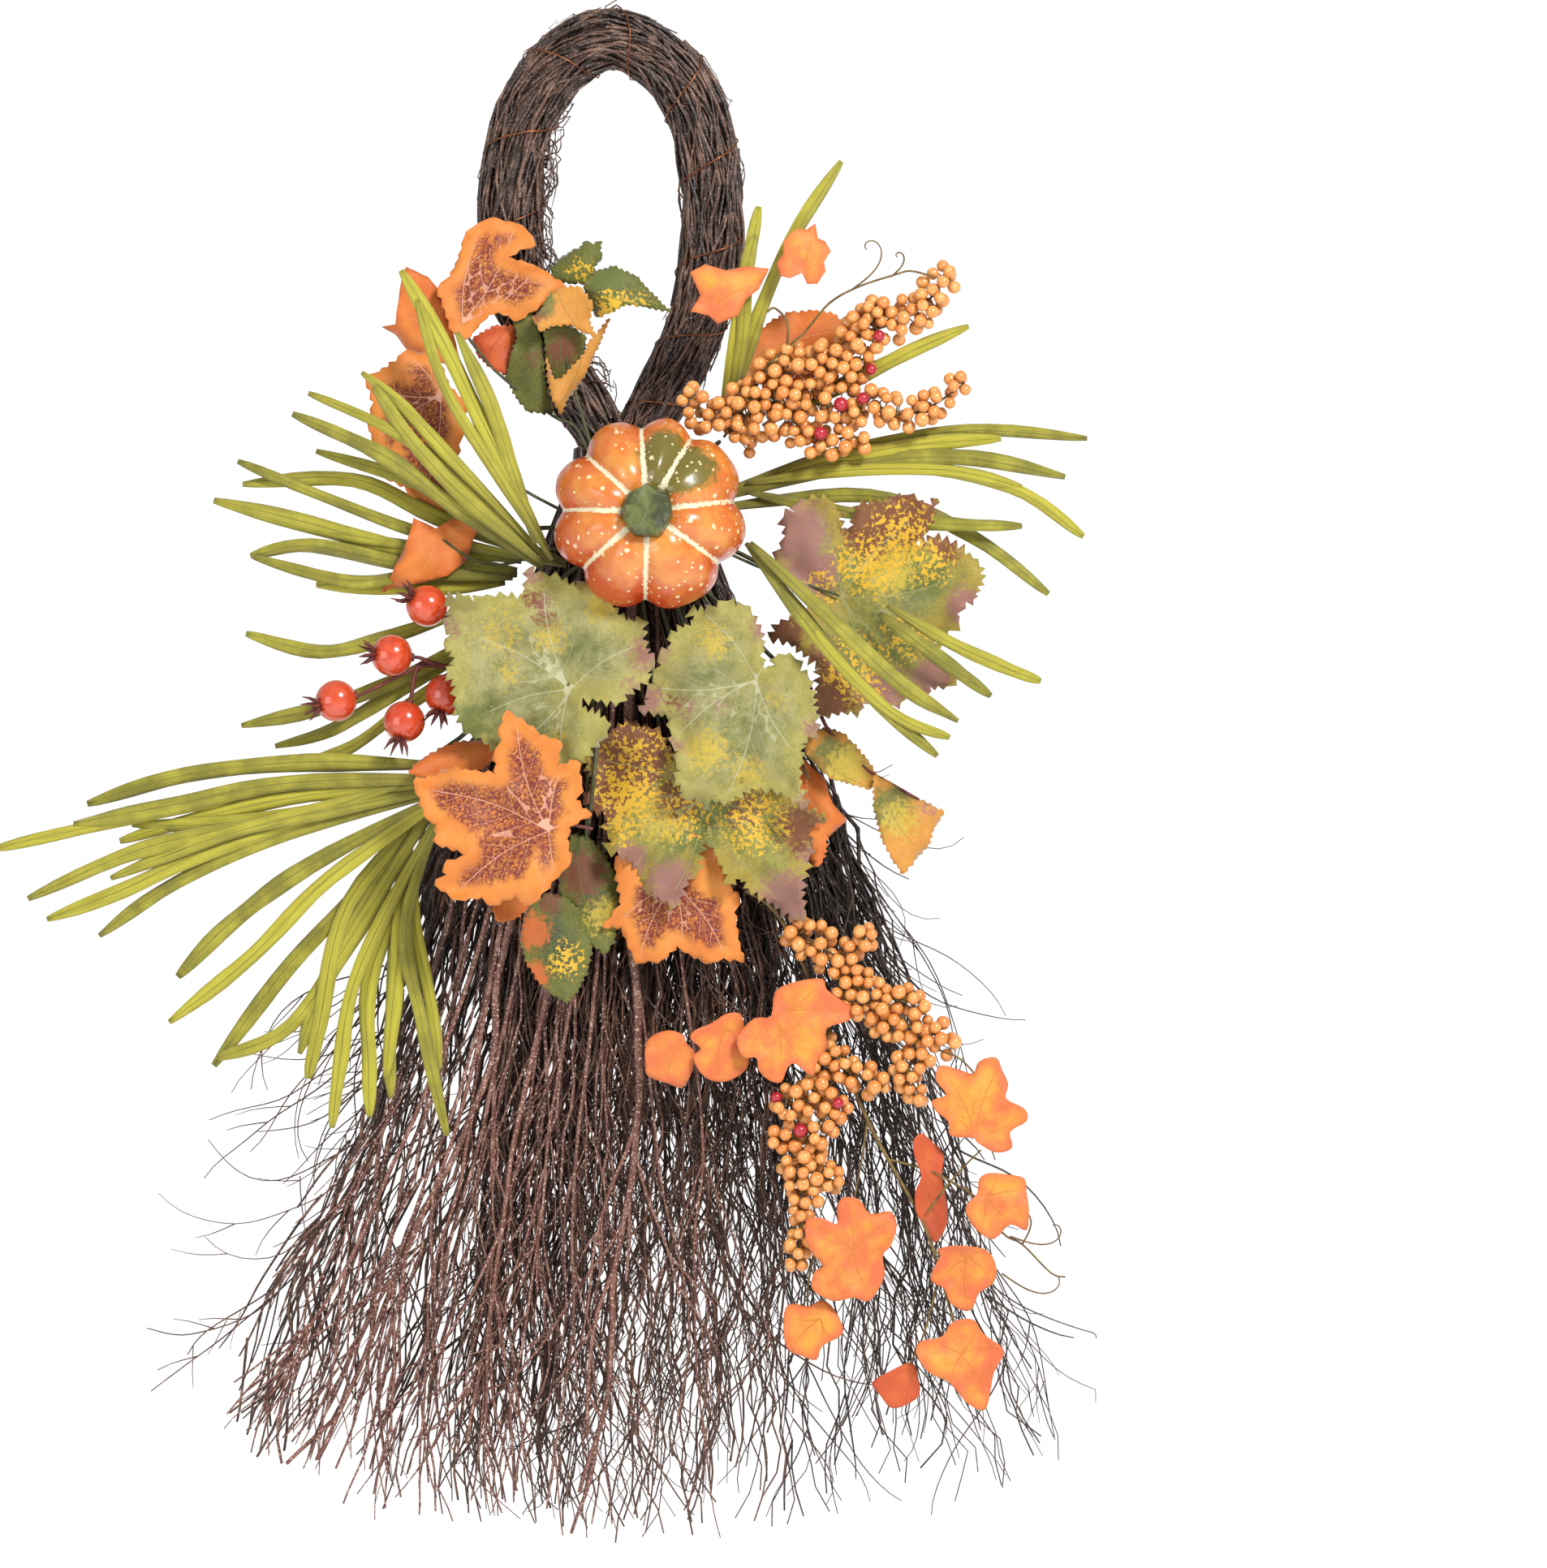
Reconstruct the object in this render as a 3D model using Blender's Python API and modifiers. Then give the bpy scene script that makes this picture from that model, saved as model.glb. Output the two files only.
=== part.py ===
"""Harvest door wreath: a bound twig loop and broom skirt dressed with a pumpkin, leaves, berries,
rose hips and grass picks.  Metres, +Z up, front is -Y, the origin is where the door hook bears on
the inside of the loop's top.  Every piece is its own closed body."""

import math

import bmesh
import bpy
from mathutils import Matrix, Vector

# ---------------------------------------------------------------- driving sizes (metres)
MM = 0.001
GAP = 0.0003                    # air left between two pieces that touch in the real wreath

LOOP_RADIUS = 0.014             # twig loop, over the crests of the twigs
LOOP_FLUTE = 0.0012             # depth of the grooves between the loop's twigs
LOOP_TWIGS = 7                  # crests round the loop's section
LOOP_LEG_SCALE = 0.64           # how far the loop's legs are squeezed at the neck
CORE_WIRE_RADIUS = 0.0013       # steel wire inside the loop
CORE_BORE_RADIUS = 0.0018       # channel left for it between the twigs
LOOP_TOP = 0.0150               # loop centreline above the hook point
LOOP_HALF_WIDTH = 0.049         # loop centreline, half width at its widest

BIND_WIRE_RADIUS = 0.0007       # copper binding wire
BIND_CLEAR = 0.0010             # binding wire stands off the twigs by this much
BIND_PITCH = 0.038              # distance between two turns on the loop
BIND_POINTS = 10                # points in one turn

NECK_X = 0.002                  # middle of the neck
NECK_TOP = -0.1975              # top ends of the broom bundles
NECK_BOTTOM = -0.2240           # where the broom starts to spread
NECK_BIND_HALF_X = 0.0275       # path of the neck binding
NECK_BIND_HALF_Y = 0.0178
NECK_BIND_TURNS = 3

SKIRT_LENGTH = 0.498            # from the neck binding down to the middle of the hem
SKIRT_HALF_WIDTH = 0.2005       # half the hem's width
SKIRT_RIDGE = 0.0011            # depth of the grooves between the skirt's twigs
SKIRT_RIDGES = 13               # crests round one bundle
HEM_RAG = 0.0085                # how ragged the hem is
BRANCH_RADIUS = 0.0017          # reddish branches laid on the skirt

PUMPKIN_X = 0.015
PUMPKIN_Y = -0.0705
PUMPKIN_Z = -0.222
PUMPKIN_RADIUS = 0.0475
PUMPKIN_HALF_DEPTH = 0.036
PUMPKIN_LOBES = 8
PUMPKIN_GROOVE = 0.055          # groove depth as a share of the radius
PUMPKIN_STEM_RADIUS = 0.0120
PUMPKIN_STEM_LENGTH = 0.0150
STEM_SOCKET_DEPTH = 0.0050
PICK_RADIUS = 0.0016
PICK_BORE_DEPTH = 0.018

BLOCK_HALF_X = 0.017            # taped block that all the pick stems are bound to
BLOCK_HALF_Z = 0.026
BLOCK_BACK = -0.0196
BLOCK_FRONT = -0.0318
ARM_RADIUS = 0.0011             # pick stems

LEAF_THICKNESS = 0.0009
GRASS_THICKNESS = 0.0009
GRASS_WIDTH = 0.0075
HIP_RADIUS = 0.0100
HIP_STEM_RADIUS = 0.0011
BERRY_RADIUS = 0.0056
BERRY_PITCH = 0.0125
SPRAY_WIRE_RADIUS = 0.0010

# ---------------------------------------------------------------- places of the hinges (x, y, z in mm)
HINGE_GRASS_LOW_LEFT = (-106.0, -41.0, -346.0)
HINGE_ROSEHIPS = (-76.0, -46.0, -298.0)
HINGE_UPPER_SPRAY = (51.0, -49.0, -184.0)
HINGE_LOWER_SPRAY = (80.0, -41.0, -420.0)
HINGE_GRASS_LOWER_RIGHT = (70.0, -66.0, -246.0)
HINGE_GRASS_UPPER_LEFT = (-42.0, -56.0, -228.0)
HINGE_MAPLE_LOW_LEFT = (-14.0, -80.0, -374.0)
HINGE_LEAF_SPRIG = (96.0, -49.0, -312.0)

# height, left edge, right edge and half depth of each broom bundle going down, drawn in mm for a
# skirt 498 mm long and 401 mm wide; skirt_point() fits them to the skirt's real size
DRAWN_LENGTH = 0.498
DRAWN_HALF_WIDTH = 0.2005
LEFT_BUNDLE = [(-197.5, -21.5, -7.6, 13.0), (-224.0, -21.5, -7.6, 13.0), (-290.0, -50.0, -16.0, 19.0),
               (-366.0, -82.0, -26.0, 22.0), (-446.0, -106.0, -36.0, 22.0),
               (-526.0, -130.0, -46.0, 20.0), (-606.0, -163.0, -56.0, 17.0),
               (-684.0, -192.0, -63.0, 13.0)]
CENTRE_BUNDLE = [(-197.5, -7.3, 11.0, 14.5), (-224.0, -7.3, 11.0, 14.5), (-290.0, -14.0, 26.0, 21.0),
                 (-366.0, -24.0, 47.0, 24.0), (-446.0, -34.0, 62.0, 24.0),
                 (-526.0, -44.0, 67.0, 22.0), (-606.0, -54.0, 68.0, 19.0),
                 (-686.0, -60.0, 68.0, 15.0), (-722.0, -62.0, 68.0, 12.0)]
RIGHT_BUNDLE = [(-197.5, 11.3, 25.5, 13.0), (-224.0, 11.3, 25.5, 13.0), (-290.0, 28.0, 62.0, 19.0),
                (-366.0, 49.0, 96.0, 21.0), (-446.0, 65.0, 126.0, 20.0),
                (-526.0, 84.0, 158.0, 18.0), (-606.0, 90.0, 176.0, 15.0),
                (-684.0, 92.0, 209.0, 12.0)]

COLLECTION = "harvest_door_wreath"
CUTTERS = "cutters"


# ---------------------------------------------------------------- general helpers
def clear_scene():
    """Take away whatever the file starts with."""
    for thing in list(bpy.data.objects):
        bpy.data.objects.remove(thing, do_unlink=True)


def collection(name):
    """The collection of that name, linked to the scene."""
    found = bpy.data.collections.get(name)
    if found is None:
        found = bpy.data.collections.new(name)
        bpy.context.scene.collection.children.link(found)
    return found


def linear(value):
    """One sRGB channel turned to linear."""
    if value <= 0.04045:
        return value / 12.92
    return ((value + 0.055) / 1.055) ** 2.4


def paint(thing, colour, roughness, metallic=0.0):
    """Give the piece its own plain material."""
    channels = [int(colour[i:i + 2], 16) / 255.0 for i in (0, 2, 4)]
    material = bpy.data.materials.new(thing.name + "_material")
    material.use_nodes = True
    shader = material.node_tree.nodes["Principled BSDF"]
    red = linear(channels[0])
    green = linear(channels[1])
    blue = linear(channels[2])
    shader.inputs["Base Color"].default_value = (red, green, blue, 1.0)
    shader.inputs["Roughness"].default_value = roughness
    shader.inputs["Metallic"].default_value = metallic
    thing.data.materials.clear()
    thing.data.materials.append(material)
    return thing


def mesh_of(thing, name):
    """Turn an object with its modifiers into a plain mesh object of the given name."""
    bpy.context.view_layer.update()
    graph = bpy.context.evaluated_depsgraph_get()
    mesh = bpy.data.meshes.new_from_object(thing.evaluated_get(graph), depsgraph=graph)
    mesh.transform(thing.matrix_world)
    bpy.data.objects.remove(thing, do_unlink=True)
    work = bmesh.new()
    work.from_mesh(mesh)
    bmesh.ops.remove_doubles(work, verts=work.verts, dist=1e-6)
    bmesh.ops.recalc_face_normals(work, faces=work.faces)
    work.to_mesh(mesh)
    work.free()
    mesh.materials.clear()
    made = bpy.data.objects.new(name, mesh)
    collection(COLLECTION).objects.link(made)
    return made


def mesh_from_bmesh(work, name):
    """Finish a bmesh as an object."""
    bmesh.ops.recalc_face_normals(work, faces=work.faces)
    mesh = bpy.data.meshes.new(name)
    work.to_mesh(mesh)
    work.free()
    made = bpy.data.objects.new(name, mesh)
    collection(COLLECTION).objects.link(made)
    return made


def origin_to(thing, point):
    """Move the piece's origin without moving the piece."""
    place = Vector(point)
    thing.data.transform(Matrix.Translation(-place))
    thing.location = place
    return thing


def millimetres(point):
    """A point given in millimetres as a vector in metres."""
    return Vector(point) * MM


def fuse(name, things):
    """Join closed bodies that run into each other into one closed body."""
    base = things[0]
    holder = bpy.data.collections.new("fuse_" + name)
    bpy.context.scene.collection.children.link(holder)
    for other in things[1:]:
        for owner in list(other.users_collection):
            owner.objects.unlink(other)
        holder.objects.link(other)
    step = base.modifiers.new("fuse", "BOOLEAN")
    step.operation = "UNION"
    step.solver = "EXACT"
    step.operand_type = "COLLECTION"
    step.collection = holder
    made = mesh_of(base, name)
    for other in list(holder.objects):
        bpy.data.objects.remove(other, do_unlink=True)
    bpy.data.collections.remove(holder)
    return made


def cut(thing, cutters):
    """Take the cutters out of the piece."""
    name = thing.name
    thing.name = name + "_blank"
    for cutter in cutters:
        for owner in list(cutter.users_collection):
            owner.objects.unlink(cutter)
        collection(CUTTERS).objects.link(cutter)
        cutter.hide_render = True
        cutter.display_type = "WIRE"
        step = thing.modifiers.new("cut", "BOOLEAN")
        step.operation = "DIFFERENCE"
        step.solver = "EXACT"
        step.object = cutter
    made = mesh_of(thing, name)
    for cutter in cutters:
        bpy.data.objects.remove(cutter, do_unlink=True)
    return made


def wire(name, points, radius, resolution=1, radii=None):
    """A round wire through the points, both ends filled."""
    path = bpy.data.curves.new(name, "CURVE")
    path.dimensions = "3D"
    path.bevel_depth = radius
    path.bevel_resolution = resolution
    path.use_fill_caps = True
    spline = path.splines.new("POLY")
    spline.points.add(len(points) - 1)
    for index, point in enumerate(points):
        spline.points[index].co = (point[0], point[1], point[2], 1.0)
        if radii is not None:
            spline.points[index].radius = radii[index]
    thing = bpy.data.objects.new(name + "_path", path)
    collection(COLLECTION).objects.link(thing)
    return mesh_of(thing, name)


def smooth_path(corners, steps):
    """Points of a smooth path that runs through every corner."""
    places = [Vector(corner) for corner in corners]
    points = []
    for index in range(len(places) - 1):
        before = places[max(index - 1, 0)]
        here = places[index]
        after = places[index + 1]
        beyond = places[min(index + 2, len(places) - 1)]
        for step in range(steps):
            t = step / steps
            a = 2.0 * here
            b = (after - before) * t
            c = (2.0 * before - 5.0 * here + 4.0 * after - beyond) * t * t
            d = (3.0 * here - before - 3.0 * after + beyond) * t * t * t
            points.append((a + b + c + d) * 0.5)
    points.append(places[-1])
    return points


def flat_piece(name, outline, thickness):
    """A flat closed outline in the local XY plane given a thickness."""
    sheet = bpy.data.curves.new(name, "CURVE")
    sheet.dimensions = "2D"
    sheet.fill_mode = "BOTH"
    sheet.extrude = thickness / 2.0
    spline = sheet.splines.new("POLY")
    spline.points.add(len(outline) - 1)
    for index, point in enumerate(outline):
        spline.points[index].co = (point[0], point[1], 0.0, 1.0)
    spline.use_cyclic_u = True
    thing = bpy.data.objects.new(name + "_outline", sheet)
    collection(COLLECTION).objects.link(thing)
    return mesh_of(thing, name)


# ---------------------------------------------------------------- loop and neck
def loop_corners():
    """The loop's centreline from the end of the left leg over the top to the right leg."""
    left_foot = (-9.0, 0.0, -196.9)
    right_foot = (13.0, 0.0, -196.9)
    corners = [left_foot, (-9.0, 0.0, -192.0), (-10.5, 0.0, -184.0), (-20.0, 0.0, -164.0), (-36.0, 0.0, -140.0),
               (-49.0, 0.0, -112.0), (-53.0, 0.0, -80.0), (-52.0, 0.0, -46.0),
               (-43.0, 0.0, -14.0), (-25.0, 0.0, 8.0), (-4.0, 0.0, LOOP_TOP / MM),
               (17.0, 0.0, 8.0), (34.0, 0.0, -13.0), (43.0, 0.0, -45.0), (45.0, 0.0, -79.0),
               (41.0, 0.0, -111.0), (31.0, 0.0, -140.0), (19.5, 0.0, -164.0),
               (14.2, 0.0, -184.0), (13.0, 0.0, -192.0), right_foot]
    stretch = LOOP_HALF_WIDTH / 0.049
    points = []
    for x, y, z in corners:
        spread = min(1.0, max(0.0, (z + 186.0) / 60.0))
        middle = -4.0
        wide = middle + (x - middle) * (1.0 + (stretch - 1.0) * spread)
        points.append(millimetres((wide, y, z)))
    return points


def loop_line(steps):
    """Smooth centreline of the loop."""
    return smooth_path(loop_corners(), steps)


def loop_scale(point):
    """How thick the loop is at a height: its legs are squeezed together at the neck."""
    rise = min(1.0, max(0.0, (point.z + 0.186) / 0.050))
    return LOOP_LEG_SCALE + (1.0 - LOOP_LEG_SCALE) * rise


def build_handle_loop():
    """The bundle of bent twigs, fluted outside, with a channel for the core wire."""
    ring = bpy.data.curves.new("twig_section", "CURVE")
    ring.dimensions = "2D"
    ring.fill_mode = "NONE"
    edge = ring.splines.new("POLY")
    count = LOOP_TWIGS * 2
    edge.points.add(count - 1)
    for index in range(count):
        turn = 2.0 * math.pi * index / count
        radius = LOOP_RADIUS if index % 2 == 0 else LOOP_RADIUS - LOOP_FLUTE
        edge.points[index].co = (radius * math.cos(turn), radius * math.sin(turn), 0.0, 1.0)
    edge.use_cyclic_u = True
    section = bpy.data.objects.new("twig_section", ring)
    collection(CUTTERS).objects.link(section)
    section.hide_render = True
    section.display_type = "WIRE"

    path = bpy.data.curves.new("loop_path", "CURVE")
    path.dimensions = "3D"
    path.bevel_mode = "OBJECT"
    path.bevel_object = section
    path.use_fill_caps = True
    points = loop_line(2)
    spline = path.splines.new("POLY")
    spline.points.add(len(points) - 1)
    for index, point in enumerate(points):
        spline.points[index].co = (point.x, point.y, point.z, 1.0)
        spline.points[index].radius = loop_scale(point)
        spline.points[index].tilt = 0.09 * index
    thing = bpy.data.objects.new("loop_path", path)
    collection(COLLECTION).objects.link(thing)
    blank = mesh_of(thing, "handle_loop")
    bpy.data.objects.remove(section, do_unlink=True)
    line = loop_line(2)
    line.insert(0, line[0] + Vector((0.0, 0.0, -0.004)))
    line.append(line[-1] + Vector((0.0, 0.0, -0.004)))
    channel = wire("core_channel", line, CORE_BORE_RADIUS, 0)
    loop = cut(blank, [channel])
    return paint(loop, "3A2620", 0.8)


def build_core_wire():
    """The steel wire that keeps the loop's shape."""
    core = wire("loop_core_wire", loop_line(2), CORE_WIRE_RADIUS, 0)
    return paint(core, "6F6A66", 0.4, 1.0)


def build_loop_binding():
    """Copper wire wound round the loop's twigs from one leg to the other."""
    line = loop_line(8)
    run = [0.0]
    for index in range(1, len(line)):
        run.append(run[-1] + (line[index] - line[index - 1]).length)
    start = 0.026
    end = run[-1] - 0.026
    turns = (end - start) / BIND_PITCH
    count = int(turns * BIND_POINTS)
    points = []
    for index in range(count + 1):
        place = start + (end - start) * index / count
        near = 0
        while near < len(run) - 2 and run[near + 1] < place:
            near += 1
        share = (place - run[near]) / (run[near + 1] - run[near])
        centre = line[near].lerp(line[near + 1], share)
        along = (line[near + 1] - line[near]).normalized()
        side = along.cross(Vector((0.0, 1.0, 0.0))).normalized()
        front = side.cross(along).normalized()
        reach = LOOP_RADIUS * loop_scale(centre) + BIND_WIRE_RADIUS + BIND_CLEAR
        turn = 2.0 * math.pi * index / BIND_POINTS
        points.append(centre + (side * math.cos(turn) + front * math.sin(turn)) * reach)
    binding = wire("loop_binding_wire", points, BIND_WIRE_RADIUS, 0)
    return paint(binding, "9A5A3C", 0.35, 1.0)


def build_neck_binding():
    """Copper wire wound round the broom's neck."""
    count = NECK_BIND_TURNS * 20
    points = []
    for index in range(count + 1):
        turn = 2.0 * math.pi * index / 20.0
        c = math.cos(turn)
        s = math.sin(turn)
        x = NECK_X + NECK_BIND_HALF_X * math.copysign(abs(c) ** 0.7, c)
        y = NECK_BIND_HALF_Y * math.copysign(abs(s) ** 0.7, s)
        z = -0.2035 - 0.0165 * index / count
        points.append((x, y, z))
    binding = wire("neck_binding_wire", points, BIND_WIRE_RADIUS, 0)
    return paint(binding, "9A5A3C", 0.35, 1.0)


# ---------------------------------------------------------------- broom skirt
def skirt_point(x, z):
    """A drawn point of the skirt (mm) fitted to the skirt's length and width."""
    neck = NECK_BOTTOM / MM
    if z >= neck:
        return x, z
    down = (z - neck) * SKIRT_LENGTH / DRAWN_LENGTH
    spread = min(1.0, (neck - z) / 140.0)
    wider = 1.0 + (SKIRT_HALF_WIDTH / DRAWN_HALF_WIDTH - 1.0) * spread
    middle = NECK_X / MM
    return middle + (x - middle) * wider, neck + down


def fitted(stations):
    """A bundle's stations fitted to the skirt's size."""
    made = []
    for z, left, right, depth in stations:
        new_left, new_z = skirt_point(left, z)
        new_right, new_z = skirt_point(right, z)
        made.append((new_z, new_left, new_right, depth))
    return made


def bundle_half_depth(stations, z):
    """Half depth of a bundle at a height in millimetres."""
    for index in range(len(stations) - 1):
        top = stations[index]
        low = stations[index + 1]
        if low[0] <= z <= top[0]:
            share = (top[0] - z) / (top[0] - low[0])
            return top[3] + (low[3] - top[3]) * share
    return stations[-1][3]


def rag(index, seed):
    """A fixed uneven value between -1 and 1."""
    value = math.sin(index * 12.9898 + seed * 78.233) * 43758.5453
    return 2.0 * (value - math.floor(value)) - 1.0


def build_bundle(name, stations, seed, colour):
    """A bundle of skirt twigs: a grooved body lofted from the neck to the ragged hem."""
    count = SKIRT_RIDGES * 2
    stations = fitted(stations)
    work = bmesh.new()
    rings = []
    for level, (z, left, right, depth) in enumerate(stations):
        last = level == len(stations) - 1
        ridge = 0.0 if level < 2 else SKIRT_RIDGE
        half = (right - left) * MM / 2.0
        middle = (right + left) * MM / 2.0
        power = 1.0 if level < 2 else 0.72
        ring = []
        for index in range(count):
            turn = 2.0 * math.pi * index / count
            c = math.cos(turn)
            s = math.sin(turn)
            inset = ridge if index % 2 else 0.0
            x = middle + (half - inset) * math.copysign(abs(c) ** power, c)
            y = (depth * MM - inset) * math.copysign(abs(s) ** power, s)
            drop = HEM_RAG * rag(index, seed) if last else 0.0
            ring.append(work.verts.new((x, y, z * MM + drop)))
        rings.append(ring)
    for upper, lower in zip(rings[:-1], rings[1:]):
        for index in range(count):
            after = (index + 1) % count
            work.faces.new((upper[index], upper[after], lower[after], lower[index]))
    top = work.verts.new(Vector(((stations[0][1] + stations[0][2]) / 2.0, 0.0, stations[0][0])) * MM)
    foot_z = stations[-1][0] + 14.0
    foot = work.verts.new(Vector(((stations[-1][1] + stations[-1][2]) / 2.0, 0.0, foot_z)) * MM)
    for index in range(count):
        after = (index + 1) % count
        work.faces.new((rings[0][after], rings[0][index], top))
        work.faces.new((rings[-1][index], rings[-1][after], foot))
    bundle = mesh_from_bmesh(work, name)
    return paint(bundle, colour, 0.85)


def build_branch(name, corners, stations, colour):
    """A reddish branch laid down the front of a bundle, thick above and thin at its end."""
    places = []
    for drawn_x, drawn_z in corners:
        x, z = skirt_point(drawn_x, drawn_z)
        depth = bundle_half_depth(fitted(stations), z) * MM + BRANCH_RADIUS + 2.0 * GAP
        places.append((x * MM, -depth - 0.0010, z * MM))
    points = smooth_path(places, 2)
    radii = [1.0 - 0.45 * index / (len(points) - 1) for index in range(len(points))]
    branch = wire(name, points, BRANCH_RADIUS, 1, radii)
    return paint(branch, colour, 0.6)


# ---------------------------------------------------------------- pumpkin and the pick block
def build_pumpkin():
    """The foam pumpkin, its stem end turned to the front."""
    bpy.ops.mesh.primitive_uv_sphere_add(segments=24, ring_count=11, radius=1.0)
    ball = bpy.context.active_object
    ball.name = "pumpkin_blank"
    for vertex in ball.data.vertices:
        flat = math.hypot(vertex.co.x, vertex.co.y)
        turn = math.atan2(vertex.co.y, vertex.co.x)
        wave = abs(math.sin(PUMPKIN_LOBES * turn / 2.0))
        groove = 1.0 - PUMPKIN_GROOVE * (1.0 - wave) * flat
        dimple = 1.0 - 0.16 * math.exp(-(flat / 0.34) ** 2)
        x = vertex.co.x * groove * PUMPKIN_RADIUS
        z = vertex.co.y * groove * PUMPKIN_RADIUS
        y = -vertex.co.z * dimple * PUMPKIN_HALF_DEPTH
        vertex.co = (x + PUMPKIN_X, y + PUMPKIN_Y, z + PUMPKIN_Z)
    blank = mesh_of(ball, "pumpkin_shell")
    front = PUMPKIN_Y - PUMPKIN_HALF_DEPTH * 0.84
    back = PUMPKIN_Y + PUMPKIN_HALF_DEPTH * 0.84
    socket = rod("stem_socket", front + STEM_SOCKET_DEPTH, front - 0.02, PUMPKIN_STEM_RADIUS + GAP, 12)
    bore = rod("pick_bore", back + 0.01, back - PICK_BORE_DEPTH, PICK_RADIUS + GAP, 12)
    shell = cut(blank, [socket, bore])
    return paint(shell, "D9781F", 0.35)


def rod(name, y_start, y_end, radius, sides, top_scale=1.0):
    """A straight rod along Y on the pumpkin's axis."""
    length = abs(y_end - y_start)
    bpy.ops.mesh.primitive_cone_add(vertices=sides, radius1=radius, radius2=radius * top_scale,
                                    depth=length)
    thing = bpy.context.active_object
    middle = (y_start + y_end) / 2.0
    turn = math.radians(90.0) if y_end < y_start else math.radians(-90.0)
    thing.matrix_world = (Matrix.Translation((PUMPKIN_X, middle, PUMPKIN_Z))
                          @ Matrix.Rotation(turn, 4, "X"))
    return mesh_of(thing, name)


def build_pumpkin_stem():
    """The short green stem seated in the pumpkin's socket."""
    seat = PUMPKIN_Y - PUMPKIN_HALF_DEPTH * 0.84 + STEM_SOCKET_DEPTH - GAP
    stem = rod("pumpkin_stem", seat, seat - PUMPKIN_STEM_LENGTH, PUMPKIN_STEM_RADIUS, 6, 0.78)
    return paint(stem, "5E7A2C", 0.5)


def build_pumpkin_pick():
    """The pick that holds the pumpkin against the block."""
    seat = PUMPKIN_Y + PUMPKIN_HALF_DEPTH * 0.84 - PICK_BORE_DEPTH + GAP
    pick = rod("pumpkin_pick", BLOCK_FRONT - GAP, seat, PICK_RADIUS, 8)
    return paint(pick, "4A5A2A", 0.5)


def build_pick_bundle(arms):
    """The taped block on the neck with the stems of all the picks running out from it."""
    bpy.ops.mesh.primitive_cube_add(size=1.0)
    block = bpy.context.active_object
    depth = BLOCK_BACK - BLOCK_FRONT
    middle = (BLOCK_BACK + BLOCK_FRONT) / 2.0
    block.matrix_world = (Matrix.Translation((NECK_X + 0.004, middle, -0.219))
                          @ Matrix.Diagonal((BLOCK_HALF_X * 2.0, depth, BLOCK_HALF_Z * 2.0, 1.0)))
    pieces = [mesh_of(block, "pick_block")]
    for index, arm in enumerate(arms):
        points = [millimetres(corner) for corner in arm]
        pieces.append(wire("arm_%d" % index, smooth_path(points, 2), ARM_RADIUS, 0))
    bundle = fuse("pick_stem_bundle", pieces)
    return paint(bundle, "47532B", 0.7)


# ---------------------------------------------------------------- leaves
MAPLE_HALF = [(0.035, 0.00), (0.14, -0.06), (0.38, -0.09), (0.33, 0.03), (0.42, 0.09), (0.31, 0.14),
              (0.46, 0.22), (0.45, 0.30), (0.64, 0.44), (0.53, 0.47), (0.50, 0.58), (0.36, 0.50),
              (0.20, 0.46), (0.23, 0.60), (0.31, 0.69), (0.20, 0.72), (0.17, 0.84), (0.08, 0.85)]
GRAPE_HALF = [(0.02, 0.02), (0.10, -0.12), (0.24, -0.17), (0.34, -0.10), (0.46, -0.09),
              (0.49, 0.05), (0.60, 0.12), (0.56, 0.25), (0.64, 0.36), (0.53, 0.44), (0.55, 0.56),
              (0.42, 0.57), (0.33, 0.63), (0.36, 0.74), (0.24, 0.76), (0.20, 0.87), (0.09, 0.88)]


def both_halves(half, length, width):
    """A leaf outline from its right half, mirrored; the hub is the local origin."""
    right = [(x * width, y * length) for x, y in half]
    tip = [(0.0, length)]
    left = [(-x, y) for x, y in reversed(right)]
    return right + tip + left


def ovate_outline(length, width, teeth):
    """A pointed oval leaf with a saw-toothed edge."""
    right = []
    for index in range(1, teeth * 2):
        share = index / (teeth * 2.0)
        belly = math.sin(math.pi * share ** 0.8) ** 0.8
        notch = 1.0 if index % 2 else 0.86
        right.append((max(belly * notch * width / 2.0, 0.0006), share * length))
    left = [(-x, y) for x, y in reversed(right)]
    return [(0.0, 0.0)] + right + [(0.0, length)] + left


def place_leaf(leaf, hub, heading, pitch=0.0, roll=0.0):
    """Stand a flat leaf in its place: heading in degrees from +X towards +Z, tip lifted by pitch."""
    stand = Matrix(((1.0, 0.0, 0.0), (0.0, 0.0, -1.0), (0.0, 1.0, 0.0))).to_4x4()
    turn = Matrix.Rotation(-math.radians(heading - 90.0), 4, "Y")
    lift = Matrix.Rotation(math.radians(pitch), 4, "X")
    lean = Matrix.Rotation(math.radians(roll), 4, "Z")
    leaf.data.transform(turn @ lift @ lean @ stand)
    leaf.location = millimetres(hub)
    return leaf


def maple_leaf(name, hub, heading, length, width, colour, pitch=0.0, roll=0.0):
    """One orange maple leaf; hub in mm, length and width in mm."""
    outline = both_halves(MAPLE_HALF, length * MM, width * MM / 1.28)
    leaf = flat_piece(name, outline, LEAF_THICKNESS)
    place_leaf(leaf, hub, heading, pitch, roll)
    return paint(leaf, colour, 0.7)


def grape_leaf(name, hub, heading, length, width, colour, pitch=0.0, roll=0.0):
    """One grape leaf; hub in mm, length and width in mm."""
    outline = both_halves(GRAPE_HALF, length * MM, width * MM / 1.28)
    leaf = flat_piece(name, outline, LEAF_THICKNESS)
    place_leaf(leaf, hub, heading, pitch, roll)
    return paint(leaf, colour, 0.7)


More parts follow.
